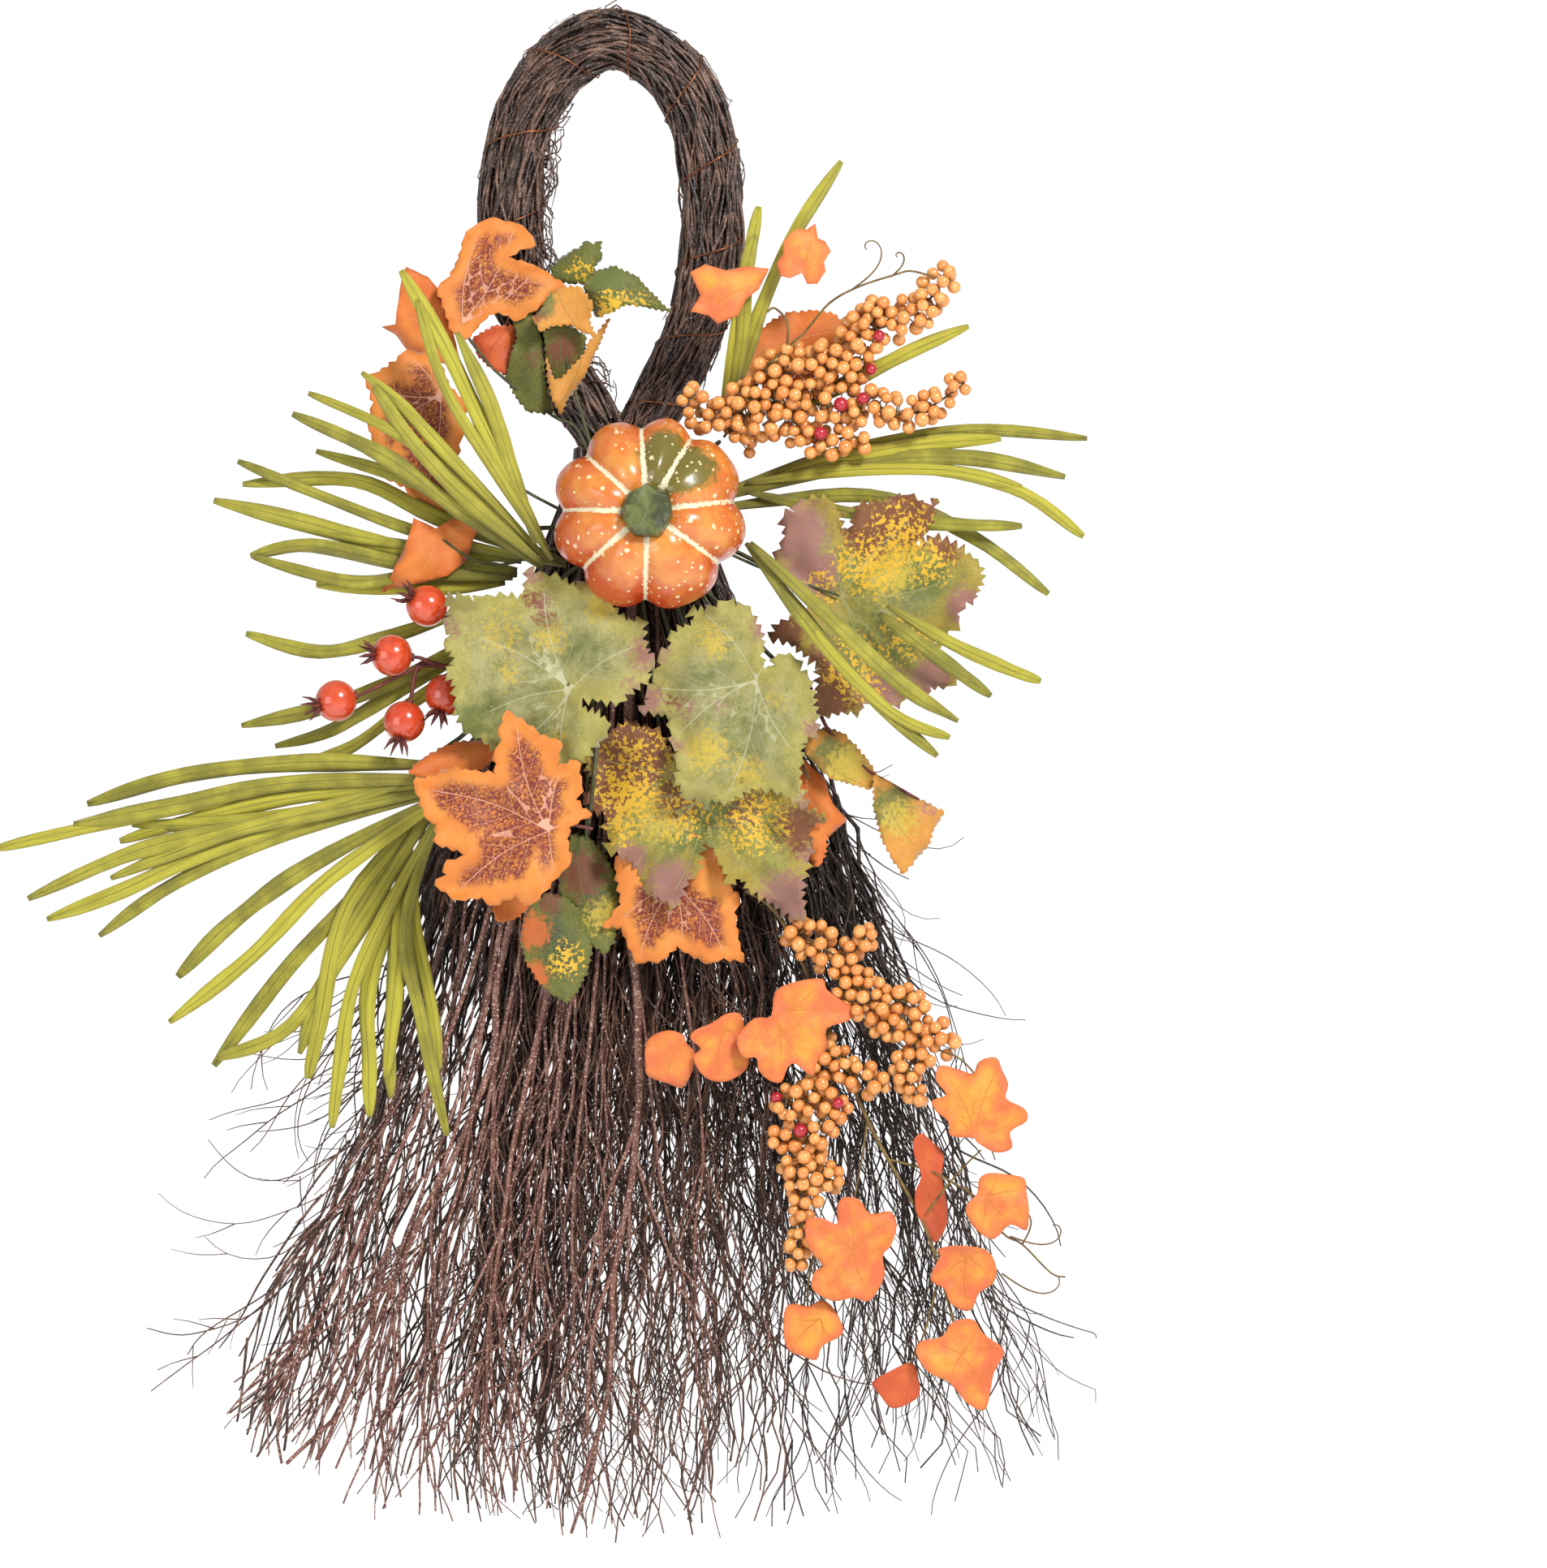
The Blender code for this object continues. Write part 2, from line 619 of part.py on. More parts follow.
def ovate_leaf(name, hub, heading, length, width, colour, pitch=0.0, roll=0.0):
    """One saw-toothed oval leaf; hub in mm, length and width in mm."""
    leaf = flat_piece(name, ovate_outline(length * MM, width * MM, 7), LEAF_THICKNESS)
    place_leaf(leaf, hub, heading, pitch, roll)
    return paint(leaf, colour, 0.7)


def put_origin(thing, point):
    """Set a placed piece's origin on a hinge point given in millimetres."""
    thing.data.transform(Matrix.Translation(thing.location))
    thing.location = (0.0, 0.0, 0.0)
    return origin_to(thing, millimetres(point))


# ---------------------------------------------------------------- grass sprays
def grass_spray(name, base, tips, lift, curl, colour, width=GRASS_WIDTH):
    """A spray of flat grass blades that part from one base; tips are (x, z) in mm."""
    blades = []
    for x, z in tips:
        reach = math.hypot(x - base[0], z - base[2]) * MM
        turn = math.atan2(z - base[2], x - base[0])
        blades.append((turn % (2.0 * math.pi), reach))
    turns = sorted(blades)
    widest = max((turns[(i + 1) % len(turns)][0] - turns[i][0]) % (2.0 * math.pi)
                 for i in range(len(turns)))
    start = [i for i in range(len(turns))
             if abs((turns[(i + 1) % len(turns)][0] - turns[i][0]) % (2.0 * math.pi) - widest) < 1e-9][0]
    turns = turns[start + 1:] + turns[:start + 1]
    opened = []
    for turn, reach in turns:
        while opened and turn < opened[-1][0]:
            turn += 2.0 * math.pi
        opened.append((turn, reach))
    hub = 0.007
    outline = []
    for index, (turn, reach) in enumerate(opened):
        before = turn - opened[index - 1][0] if index > 0 else 0.5
        after = opened[index + 1][0] - turn if index < len(opened) - 1 else 0.5
        room = min(before, after, 0.5)
        if index == 0:
            outline.append((hub * math.cos(turn - 0.6), hub * math.sin(turn - 0.6)))
        for share, full in ((0.34, 1.0), (0.74, 0.86)):
            half = min(width * full / 2.0, 0.40 * room * share * reach)
            outline.append((share * reach * math.cos(turn) + half * math.sin(turn),
                            share * reach * math.sin(turn) - half * math.cos(turn)))
        outline.append((reach * math.cos(turn), reach * math.sin(turn)))
        for share, full in ((0.70, 0.86), (0.32, 1.0)):
            half = min(width * full / 2.0, 0.40 * room * share * reach)
            outline.append((share * reach * math.cos(turn) - half * math.sin(turn),
                            share * reach * math.sin(turn) + half * math.cos(turn)))
        middle = turn + after / 2.0 if index < len(opened) - 1 else turn + 0.6
        outline.append((hub * math.cos(middle), hub * math.sin(middle)))
    mean = (opened[0][0] + opened[-1][0]) / 2.0
    outline.append((-hub * 0.5 * math.cos(mean), -hub * 0.5 * math.sin(mean)))
    spray = flat_piece(name, outline, GRASS_THICKNESS)
    stand = Matrix(((1.0, 0.0, 0.0), (0.0, 0.0, -1.0), (0.0, 1.0, 0.0))).to_4x4()
    spray.data.transform(stand)
    for vertex in spray.data.vertices:
        reach = math.hypot(vertex.co.x, vertex.co.z)
        share = reach / 0.15
        vertex.co.y -= lift * MM * share - curl * MM * share * share
    spray.location = millimetres(base)
    return paint(spray, colour, 0.75)


# ---------------------------------------------------------------- rose hips and berries
def build_hip(name, centre, heading):
    """One rose hip with its crown, the crown pointing along the heading."""
    profile = [(0.0, -0.0098), (0.0062, -0.0078), (HIP_RADIUS, 0.0), (0.0066, 0.0076),
               (0.0028, 0.0098), (0.0046, 0.0148), (0.0, 0.0128)]
    work = bmesh.new()
    corners = [work.verts.new((x, 0.0, z)) for x, z in profile]
    for first, second in zip(corners[:-1], corners[1:]):
        work.edges.new((first, second))
    mesh = bpy.data.meshes.new(name)
    work.to_mesh(mesh)
    work.free()
    thing = bpy.data.objects.new(name + "_profile", mesh)
    collection(COLLECTION).objects.link(thing)
    step = thing.modifiers.new("turn", "SCREW")
    step.steps = 9
    step.render_steps = 9
    step.use_merge_vertices = True
    step.merge_threshold = 0.0001
    thing.matrix_world = (Matrix.Translation(millimetres(centre))
                          @ Matrix.Rotation(math.radians(90.0 - heading), 4, "Y"))
    hip = mesh_of(thing, name)
    return paint(hip, "A3122A", 0.25)


def build_hip_stem(targets):
    """The wired stem of the rose-hip pick with a branch to each hip."""
    start = millimetres(HINGE_ROSEHIPS)
    branches = []
    for index, (centre, heading) in enumerate(targets):
        away = Vector((math.cos(math.radians(heading)), 0.0, math.sin(math.radians(heading))))
        end = millimetres(centre) - away * (0.0104 + GAP)
        middle = start.lerp(end, 0.5).lerp(end - away * 0.004, 0.3)
        if index in (2, 3):
            middle = millimetres((-93.0 - index, -47.0, -298.0 + 1.5 * index))
        root = start + Vector((0.0003 * index, -0.0002 * index, 0.0))
        points = smooth_path([root, middle, end - away * 0.003, end], 2)
        radius = HIP_STEM_RADIUS * (1.0 - 0.05 * index)
        branches.append(wire("hip_branch_%d" % index, points, radius, 0))
    bpy.ops.mesh.primitive_ico_sphere_add(subdivisions=1, radius=0.0022)
    knot = bpy.context.active_object
    knot.location = start
    pieces = [mesh_of(knot, "hip_knot")] + branches
    stem = fuse("rosehip_stem", pieces)
    put_origin(stem, HINGE_ROSEHIPS)
    return paint(stem, "6E2A22", 0.6)


def path_length(points):
    """Length of a path."""
    return sum((b - a).length for a, b in zip(points[:-1], points[1:]))


def point_along(points, place):
    """Point and direction at a distance along a path."""
    for a, b in zip(points[:-1], points[1:]):
        step = (b - a).length
        if place <= step:
            return a.lerp(b, place / step), (b - a).normalized()
        place -= step
    return points[-1], (points[-1] - points[-2]).normalized()


def berry_spray(name, hinge, berried, plain, colour):
    """A wired stem set with berries: the berried branches carry them, the plain ones do not."""
    pieces = []
    bpy.ops.mesh.primitive_ico_sphere_add(subdivisions=1, radius=0.0024)
    knot = bpy.context.active_object
    knot.location = millimetres(hinge)
    pieces.append(mesh_of(knot, "knot"))
    for index, corners in enumerate(berried + plain):
        aside = Vector((0.0, -0.00013 * index, 0.0))
        points = smooth_path([millimetres(corner) + aside for corner in corners], 1)
        radius = SPRAY_WIRE_RADIUS * (1.0 - 0.035 * index)
        pieces.append(wire("spray_wire_%d" % index, points, radius, 0))
    for index, corners in enumerate(berried):
        points = smooth_path([millimetres(corner) for corner in corners], 1)
        count = int(path_length(points) / BERRY_PITCH)
        for number in range(1, count + 1):
            centre, along = point_along(points, number * BERRY_PITCH)
            side = along.cross(Vector((0.0, 1.0, 0.0))).normalized()
            front = Vector((0.0, -1.0, 0.0))
            turn = 2.4 * number + index
            away = side * math.cos(turn) + front * math.sin(turn) * 0.8
            size = BERRY_RADIUS * (1.0 + 0.12 * rag(number, index))
            bpy.ops.mesh.primitive_ico_sphere_add(subdivisions=1, radius=size)
            berry = bpy.context.active_object
            berry.matrix_world = (Matrix.Translation(centre + away * BERRY_RADIUS * 0.75)
                                  @ Matrix.Rotation(number * 1.3, 4, "Z")
                                  @ Matrix.Rotation(number * 0.7, 4, "X"))
            pieces.append(mesh_of(berry, "berry"))
    spray = fuse(name, pieces)
    put_origin(spray, hinge)
    return paint(spray, colour, 0.3)


def curl_path(start, heading, length, radius, turns):
    """A tendril that runs out from a point and winds into a curl (mm)."""
    points = [start]
    along = Vector((math.cos(math.radians(heading)), 0.0, math.sin(math.radians(heading))))
    side = Vector((-along.z, 0.0, along.x))
    first = Vector(start)
    count = int(8 * turns)
    for step in range(1, count + 1):
        turn = 2.0 * math.pi * step / 8.0
        run = length * (0.35 + 0.65 * step / count)
        out = side * radius * math.sin(turn)
        deep = Vector((0.0, radius * (1.0 - math.cos(turn)), 0.0))
        points.append(tuple(first + along * run + out + deep))
    return points


# ---------------------------------------------------------------- the whole wreath
def build_twigs():
    """Loop, bindings, broom skirt and the branches on it."""
    build_handle_loop()
    build_core_wire()
    build_loop_binding()
    build_neck_binding()
    build_bundle("broom_left", LEFT_BUNDLE, 1.0, "4B2F28")
    build_bundle("broom_centre", CENTRE_BUNDLE, 2.0, "5A3B2C")
    build_bundle("broom_right", RIGHT_BUNDLE, 3.0, "3C2A28")
    red = "6E3A30"
    build_branch("red_branch_1", [(-24, -290), (-50, -420), (-66, -486), (-98, -566), (-146, -680)],
                 LEFT_BUNDLE, red)
    build_branch("red_branch_2", [(4, -290), (3, -442), (10, -506), (-2, -590), (-8, -658), (-30, -712)],
                 CENTRE_BUNDLE, red)
    build_branch("red_branch_3", [(-21, -300), (-40, -438), (-56, -520), (-70, -620), (-84, -676)],
                 LEFT_BUNDLE, red)
    build_branch("red_branch_4", [(-34, -300), (-72, -446), (-110, -540), (-148, -620), (-174, -676)],
                 LEFT_BUNDLE, red)
    build_branch("red_branch_5", [(14, -290), (34, -446), (42, -520), (38, -600), (46, -700)],
                 CENTRE_BUNDLE, red)


def build_centre():
    """Pumpkin and the block that the picks are bound to."""
    build_pumpkin()
    build_pumpkin_stem()
    build_pumpkin_pick()
    arms = [
        [(-8, -26, -236), (-40, -32, -262), (-64, -36, -289), (-73.6, -43.6, -296.2)],
        [(-6, -26, -240), (-38, -30, -290), (-78, -33, -330), (-99, -40.0, -343)],
        [(-8, -26, -226), (-26, -36, -227), (-38, -48, -228), (-41.0, -53.5, -228)],
        [(20, -26, -205), (34, -32, -196), (46, -42, -188), (49.0, -47.0, -186)],
        [(18, -26, -238), (40, -29, -300), (62, -31, -370), (79, -40.0, -416)],
        [(20, -26, -226), (50, -34, -236), (66, -50, -244), (69.0, -63.5, -246)],
        [(19, -26, -234), (56, -30, -272), (84, -36, -300), (94, -47.0, -310)],
        [(-2, -26, -240), (-8, -40, -300), (-12, -52, -350), (-14, -77.4, -372)],
    ]
    build_pick_bundle(arms)


def build_fixed_leaves():
    """The leaves that are bound hard to the neck."""
    grape_leaf("grape_leaf_left", (-24, -69, -313), 205, 62, 78, "A9B36A", 4.0)
    grape_leaf("grape_leaf_right", (66, -61, -302), 215, 74, 80, "9DAF5C", 3.0)
    grape_leaf("grape_leaf_upper_right", (96, -54, -262), 30, 78, 88, "8C7A6A", 2.0)
    grape_leaf("grape_leaf_bottom", (34, -50, -356), 262, 70, 92, "7D7350", 2.0)
    maple_leaf("maple_leaf_low_centre", (28, -41, -400), 262, 44, 66, "D8791F")
    maple_leaf("maple_leaf_upper", (-34, -26, -104), 160, 52, 56, "DB7F24")
    maple_leaf("maple_leaf_upper_back", (-88, -22, -128), 150, 34, 44, "D97B20")
    maple_leaf("maple_leaf_side", (-74, -30, -176), 168, 50, 62, "D8791F")
    maple_leaf("maple_leaf_side_low", (-66, -42, -226), 165, 46, 40, "E08A2A")
    maple_leaf("maple_leaf_right", (88, -42, -356), 300, 34, 34, "D8791F")
    ovate_leaf("variegated_leaf_1", (-20, -22, -122), 80, 34, 20, "3D4A2A")
    ovate_leaf("variegated_leaf_2", (-30, -24, -138), 20, 52, 22, "3D4A2A")
    ovate_leaf("variegated_leaf_3", (-36, -21, -150), 140, 30, 18, "4A4A2A")
    ovate_leaf("variegated_leaf_4", (-22, -23, -152), 255, 28, 18, "5A4A2A")
    ovate_leaf("variegated_leaf_low_1", (-16, -36, -392), 290, 38, 20, "43512E")
    ovate_leaf("variegated_leaf_low_2", (-22, -40, -416), 250, 44, 20, "43512E")


def build_grass():
    """The grass sprays."""
    green = "8C8B45"
    grass_spray("grass_left", (-50, -33, -246),
                [(-198, -214), (-184, -195), (-187, -206), (-178, -242), (-148, -184), (-184, -324),
                 (-168, -334), (-154, -342), (-182, -279)], 5, 2, green)
    grass_spray("grass_low_centre", (-82, -30, -366),
                [(-198, -490), (-170, -490), (-152, -496), (-140, -520), (-124, -522), (-112, -512),
                 (-96, -508), (-80, -522)], 8, 2, green)
    grass_spray("grass_right", (60, -36, -210),
                [(228, -184), (218, -203), (226, -233), (210, -261), (196, -224), (170, -134)],
                10, 2, green)
    grass_spray("grass_top_right", (56, -30, -160), [(108, -48), (90, -78), (66, -70)], 6, 1, green)
    low = grass_spray("grass_low_left", HINGE_GRASS_LOW_LEFT,
                      [(-260, -358), (-304, -382), (-266, -374), (-242, -384), (-286, -406),
                       (-278, -420), (-250, -426), (-214, -440), (-210, -458), (-219, -475)],
                      12, 3, green)
    put_origin(low, HINGE_GRASS_LOW_LEFT)
    right = grass_spray("grass_lower_right", HINGE_GRASS_LOWER_RIGHT,
                        [(154, -340), (162, -328), (204, -303), (180, -310)], 8, 2, green)
    put_origin(right, HINGE_GRASS_LOWER_RIGHT)
    upper = grass_spray("grass_upper_left", HINGE_GRASS_UPPER_LEFT,
                        [(-106, -102), (-98, -122), (-124, -152), (-112, -140), (-150, -162),
                         (-158, -174)], 4, 1, green)
    put_origin(upper, HINGE_GRASS_UPPER_LEFT)


def build_rosehips():
    """The rose-hip pick."""
    hips = [((-93, -51, -266), 150), ((-110, -51, -290), 175), ((-137, -51, -312), 195),
            ((-104, -51, -322), 255), ((-84, -50, -309), 250)]
    build_hip_stem(hips)
    for index, (centre, heading) in enumerate(hips):
        hip = build_hip("rosehip_%d" % (index + 1), centre, heading)
        put_origin(hip, HINGE_ROSEHIPS)


def build_upper_spray():
    """Berries, small leaves and tendril of the upper spray."""
    hinge = HINGE_UPPER_SPRAY
    berried = [[hinge, (62, -50, -168), (90, -50, -160), (124, -50, -158)],
               [(90, -50, -160), (116, -50, -132), (148, -50, -112), (160, -50, -108)],
               [(110, -50, -162), (136, -50, -168), (166, -50, -160)],
               [(74, -50, -164), (80, -50, -148), (98, -50, -146)],
               [(60, -50, -172), (44, -50, -164), (38, -50, -160)],
               [(72, -50, -166), (92, -50, -176), (116, -50, -178)]]
    plain = [[(62, -50, -168), (66, -58, -142), (84, -64, -126), (103, -66, -114)],
             [(66, -58, -142), (58, -64, -136), (53, -66, -131)],
             [(102.5, -65.6, -114)] + curl_path((113, -64.6, -101), 10, 40, 4.0, 2.0)]
    berry_spray("upper_berry_spray", hinge, berried, plain, "C97A22")
    touch = -66.0 - SPRAY_WIRE_RADIUS / MM - GAP / MM - LEAF_THICKNESS / MM / 2.0 - 0.2
    leaves = [maple_leaf("upper_small_leaf_1", (54, touch, -130), 125, 32, 28, "D9791F"),
              maple_leaf("upper_small_leaf_2", (100, touch, -116), 110, 34, 26, "DB8226")]
    for leaf in leaves:
        put_origin(leaf, hinge)


def build_lower_spray():
    """Berries, small leaves and tendrils of the lower spray."""
    hinge = HINGE_LOWER_SPRAY
    berried = [[hinge, (112, -41, -432), (132, -41, -458), (156, -41, -482), (146, -41, -504)],
               [(102, -41, -486), (82, -41, -508), (92, -41, -522), (89, -41, -545), (86, -41, -580)],
               [(122, -41, -444), (128, -41, -474), (118, -41, -490)]]
    plain = [[hinge, (94, -41, -450), (102, -41, -486), (120, -41, -512), (142, -46, -550),
              (152, -52, -585), (164, -54, -618)],
             [(156, -41, -482), (168, -47, -494), (174, -53, -500)],
             [(142, -46, -550), (164, -50, -560), (178, -53, -560)],
             [(120, -41, -512), (116, -47, -535), (114, -53, -560)],
             [(94, -41, -450), (88, -47, -456), (86, -53, -460)],
             [(178, -52.6, -559)] + curl_path((190, -51.4, -562), -20, 34, 4.0, 2.0)]
    berry_spray("lower_berry_spray", hinge, berried, plain, "C97A22")
    reach = SPRAY_WIRE_RADIUS / MM + GAP / MM + LEAF_THICKNESS / MM / 2.0 + 0.2
    leaves = [maple_leaf("lower_small_leaf_1", (86, -53 - reach, -458), 255, 44, 50, "D9791F"),
              maple_leaf("lower_small_leaf_2", (172, -53 - reach, -498), 285, 40, 44, "D8833A"),
              maple_leaf("lower_small_leaf_3", (178, -53 - reach, -558), 330, 30, 30, "E08A2A"),
              maple_leaf("lower_small_leaf_4", (155, -54 - reach, -592), 350, 30, 30, "E08A2A"),
              maple_leaf("lower_small_leaf_5", (114, -53 - reach, -558), 268, 46, 42, "D9791F"),
              maple_leaf("lower_small_leaf_6", (164, -54 - reach - 1.4, -616), 275, 42, 42, "DB7F24")]
    for leaf in leaves:
        put_origin(leaf, hinge)


def build_maple_low_left():
    """The big maple leaf low on the left, on its own bendable stem."""
    leaf = maple_leaf("maple_leaf_low_left", (-33, -80, -374), 172, 68, 96, "D8791F")
    stem = wire("leaf_stem", [millimetres(HINGE_MAPLE_LOW_LEFT), millimetres((-40, -80, -374))],
                ARM_RADIUS, 0)
    leaf.data.transform(Matrix.Translation(leaf.location))
    leaf.location = (0.0, 0.0, 0.0)
    made = fuse("maple_leaf_low_left", [leaf, stem])
    put_origin(made, HINGE_MAPLE_LOW_LEFT)
    paint(made, "D8791F", 0.7)


def build_leaf_sprig():
    """The thin sprig with two small leaves on the right."""
    stem_points = [HINGE_LEAF_SPRIG, (100, -50, -328), (112, -51, -340), (132, -51, -352)]
    stem = wire("sprig_stem", smooth_path([millimetres(p) for p in stem_points], 3), ARM_RADIUS, 0)
    put_origin(stem, HINGE_LEAF_SPRIG)
    paint(stem, "6A3B2A", 0.6)
    reach = ARM_RADIUS / MM + GAP / MM + LEAF_THICKNESS / MM / 2.0
    first = ovate_leaf("sprig_leaf_1", (112, -51.5 - reach, -338), 185, 32, 20, "8A8F55")
    second = ovate_leaf("sprig_leaf_2", (130, -51 - reach, -350), 300, 50, 26, "7F8A50")
    put_origin(first, HINGE_LEAF_SPRIG)
    put_origin(second, HINGE_LEAF_SPRIG)


clear_scene()
build_twigs()
build_centre()
build_fixed_leaves()
build_grass()
build_rosehips()
build_upper_spray()
build_lower_spray()
build_maple_low_left()
build_leaf_sprig()
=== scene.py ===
"""Harvest door wreath: the looks.  Metres, +Z up, the dressed front faces -Y, and the origin is where
the door hook bears on the inside of the twig loop.  Numbers in the piece lists are millimetres."""

import math
import random

import bpy
import numpy as np
from mathutils import Matrix, Vector, geometry, noise


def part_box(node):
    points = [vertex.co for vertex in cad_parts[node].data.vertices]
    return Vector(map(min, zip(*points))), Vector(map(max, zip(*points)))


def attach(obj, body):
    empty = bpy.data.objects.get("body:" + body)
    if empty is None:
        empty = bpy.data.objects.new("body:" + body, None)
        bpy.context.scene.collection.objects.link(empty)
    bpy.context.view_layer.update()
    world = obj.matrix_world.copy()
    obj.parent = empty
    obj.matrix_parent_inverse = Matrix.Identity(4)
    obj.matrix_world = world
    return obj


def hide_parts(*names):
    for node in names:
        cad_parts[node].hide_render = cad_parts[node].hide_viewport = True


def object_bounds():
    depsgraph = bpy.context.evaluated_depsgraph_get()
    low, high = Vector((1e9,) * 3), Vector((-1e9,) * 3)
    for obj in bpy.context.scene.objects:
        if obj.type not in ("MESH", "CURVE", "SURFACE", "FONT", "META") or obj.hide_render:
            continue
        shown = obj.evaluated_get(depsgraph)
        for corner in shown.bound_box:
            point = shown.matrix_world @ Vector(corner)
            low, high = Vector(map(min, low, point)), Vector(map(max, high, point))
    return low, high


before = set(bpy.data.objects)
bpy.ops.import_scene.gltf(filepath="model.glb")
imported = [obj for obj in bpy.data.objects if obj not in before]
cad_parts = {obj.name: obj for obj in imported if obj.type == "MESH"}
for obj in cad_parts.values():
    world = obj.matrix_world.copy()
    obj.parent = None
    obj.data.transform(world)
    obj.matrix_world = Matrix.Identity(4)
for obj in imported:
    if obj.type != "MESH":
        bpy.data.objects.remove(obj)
cad_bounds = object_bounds()
MM = 0.001
FRONT = Vector((0.0, -1.0, 0.0))   # towards the viewer
CORE = "wreath_frame"              # the body that carries everything that doesn't bend
FABRIC_THICK = 0.5                 # leaves and grass (mm)
BOX_SLACK = 0.006                  # how far a loose twig may run past the CAD box
BOX_LOW = [value - BOX_SLACK for value in cad_bounds[0]]
BOX_HIGH = [value + BOX_SLACK for value in cad_bounds[1]]
chance = random.Random(20)


# ---------------------------------------------------------------- making and placing
def clear_choice():
    """Nothing selected, object mode."""
    if bpy.context.mode != "OBJECT":
        bpy.ops.object.mode_set(mode="OBJECT")
    bpy.ops.object.select_all(action="DESELECT")


def only(thing):
    """Select one object and make it active."""
    clear_choice()
    thing.select_set(True)
    bpy.context.view_layer.objects.active = thing
    return thing


def all_smooth(thing):
    """Smooth shading over the whole piece."""
    for face in thing.data.polygons:
        face.use_smooth = True


def face_outward(thing):
    """Turn every face to the outside."""
    only(thing)
    bpy.ops.object.mode_set(mode="EDIT")
    bpy.ops.mesh.select_all(action="SELECT")
    bpy.ops.mesh.normals_make_consistent(inside=False)
    bpy.ops.object.mode_set(mode="OBJECT")


def settle(thing):
    """Move an object's place into its mesh so that it sits at the origin."""
    only(thing)
    bpy.ops.object.transform_apply(location=True, rotation=True, scale=True)
    return thing


def apply_step(thing, step):
    """Apply one modifier."""
    only(thing)
    bpy.ops.object.modifier_apply(modifier=step.name)


def thicken(thing):
    """Give a sheet the thickness of the printed fabric, half to each side."""
    wall = thing.modifiers.new("wall", "SOLIDIFY")
    wall.thickness = FABRIC_THICK * MM
    wall.offset = 0.0
    apply_step(thing, wall)


def piece_from(name, points, faces):
    """An object from points and faces."""
    mesh = bpy.data.meshes.new(name)
    mesh.from_pydata([tuple(point) for point in points], [], faces)
    mesh.update()
    thing = bpy.data.objects.new(name, mesh)
    bpy.context.scene.collection.objects.link(thing)
    return thing


def put_values(thing, name, values):
    """Store one number per point for the piece's material."""
    layer = thing.data.attributes.new(name, "FLOAT", "POINT")
    layer.data.foreach_set("value", values)


def dress(thing, finish, body, nodes=()):
    """Give a piece its finish, its body and the CAD nodes it stands for."""
    thing.data.materials.clear()
    thing.data.materials.append(finish)
    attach(thing, body)
    if nodes:
        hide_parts(*nodes)
    return thing


def smooth_line(corners, steps):
    """Points of a smooth line through every corner."""
    places = [Vector(corner) for corner in corners]
    points = []
    for index in range(len(places) - 1):
        before = places[max(index - 1, 0)]
        here = places[index]
        after = places[index + 1]
        beyond = places[min(index + 2, len(places) - 1)]
        for step in range(steps):
            t = step / steps
            b = (after - before) * t
            c = (2.0 * before - 5.0 * here + 4.0 * after - beyond) * t * t
            d = (3.0 * here - before - 3.0 * after + beyond) * t * t * t
            points.append((2.0 * here + b + c + d) * 0.5)
    points.append(places[-1])
    return points


def strands(name, lines, resolution=1):
    """One mesh of many round strands; each line is (points, radii, tone) in metres."""
    path = bpy.data.curves.new(name, "CURVE")
    path.dimensions = "3D"
    path.bevel_depth = 1.0
    path.bevel_resolution = resolution
    path.use_fill_caps = True
    for points, radii, tone in lines:
        spline = path.splines.new("POLY")
        spline.points.add(len(points) - 1)
        for index, point in enumerate(points):
            spline.points[index].co = (point[0], point[1], point[2], 1.0)
            spline.points[index].radius = radii[index]
    thing = bpy.data.objects.new(name, path)
    bpy.context.scene.collection.objects.link(thing)
    only(thing)
    bpy.ops.object.convert(target="MESH")
    thing = bpy.context.view_layer.objects.active
    sides = 4 + 2 * resolution
    tones = []
    runs = []
    for points, radii, tone in lines:
        for index in range(len(points)):
            tones += [tone] * sides
            runs += [index / (len(points) - 1.0)] * sides
    spare = len(thing.data.vertices) - len(tones)   # the end caps have points of their own
    put_values(thing, "tone", tones + [0.5] * spare)
    put_values(thing, "run", runs + [0.5] * spare)
    thing.data.name = name
    for face in thing.data.polygons:
        face.use_smooth = len(face.vertices) == 4
    return thing


# ---------------------------------------------------------------- finishes
def linear(value):
    """One sRGB channel turned to linear."""
    if value <= 0.04045:
        return value / 12.92
    return ((value + 0.055) / 1.055) ** 2.4


STUDIO = 0.62              # the studio light is strong, so finishes are mixed this much darker than they look
PLASTIC_IOR = 1.45         # refraction of lacquer, bark and polyester alike
LACQUER_ROUGHNESS = 0.12   # of the clear coat on the pumpkin, the berries and the hips


def ink(colour):
    """An sRGB hex colour, as it looks in the studio, as linear red, green, blue and one."""
    return tuple(STUDIO * linear(int(colour[i:i + 2], 16) / 255.0) for i in (0, 2, 4)) + (1.0,)


def add(tree, kind, values=None, links=None, **settings):
    """Add one node with its settings, values and links."""
    made = tree.nodes.new(kind)
    for key, value in settings.items():
        setattr(made, key, value)
    for slot, value in (values or {}).items():
        made.inputs[slot].default_value = value
    for slot, source in (links or {}).items():
        tree.links.new(source, made.inputs[slot])
    return made


def blend_ink(tree, share, first, second, kind="MIX"):
    """Mix two colours, each a hex value or a socket, by a share that is a number or a socket."""
    made = add(tree, "ShaderNodeMix", data_type="RGBA", blend_type=kind, clamp_factor=True)
    for slot, source in ((0, share), (6, first), (7, second)):
        if isinstance(source, str):
            made.inputs[slot].default_value = ink(source)
        elif isinstance(source, (int, float)):
            made.inputs[slot].default_value = source
        else:
            tree.links.new(source, made.inputs[slot])
    return made.outputs[2]


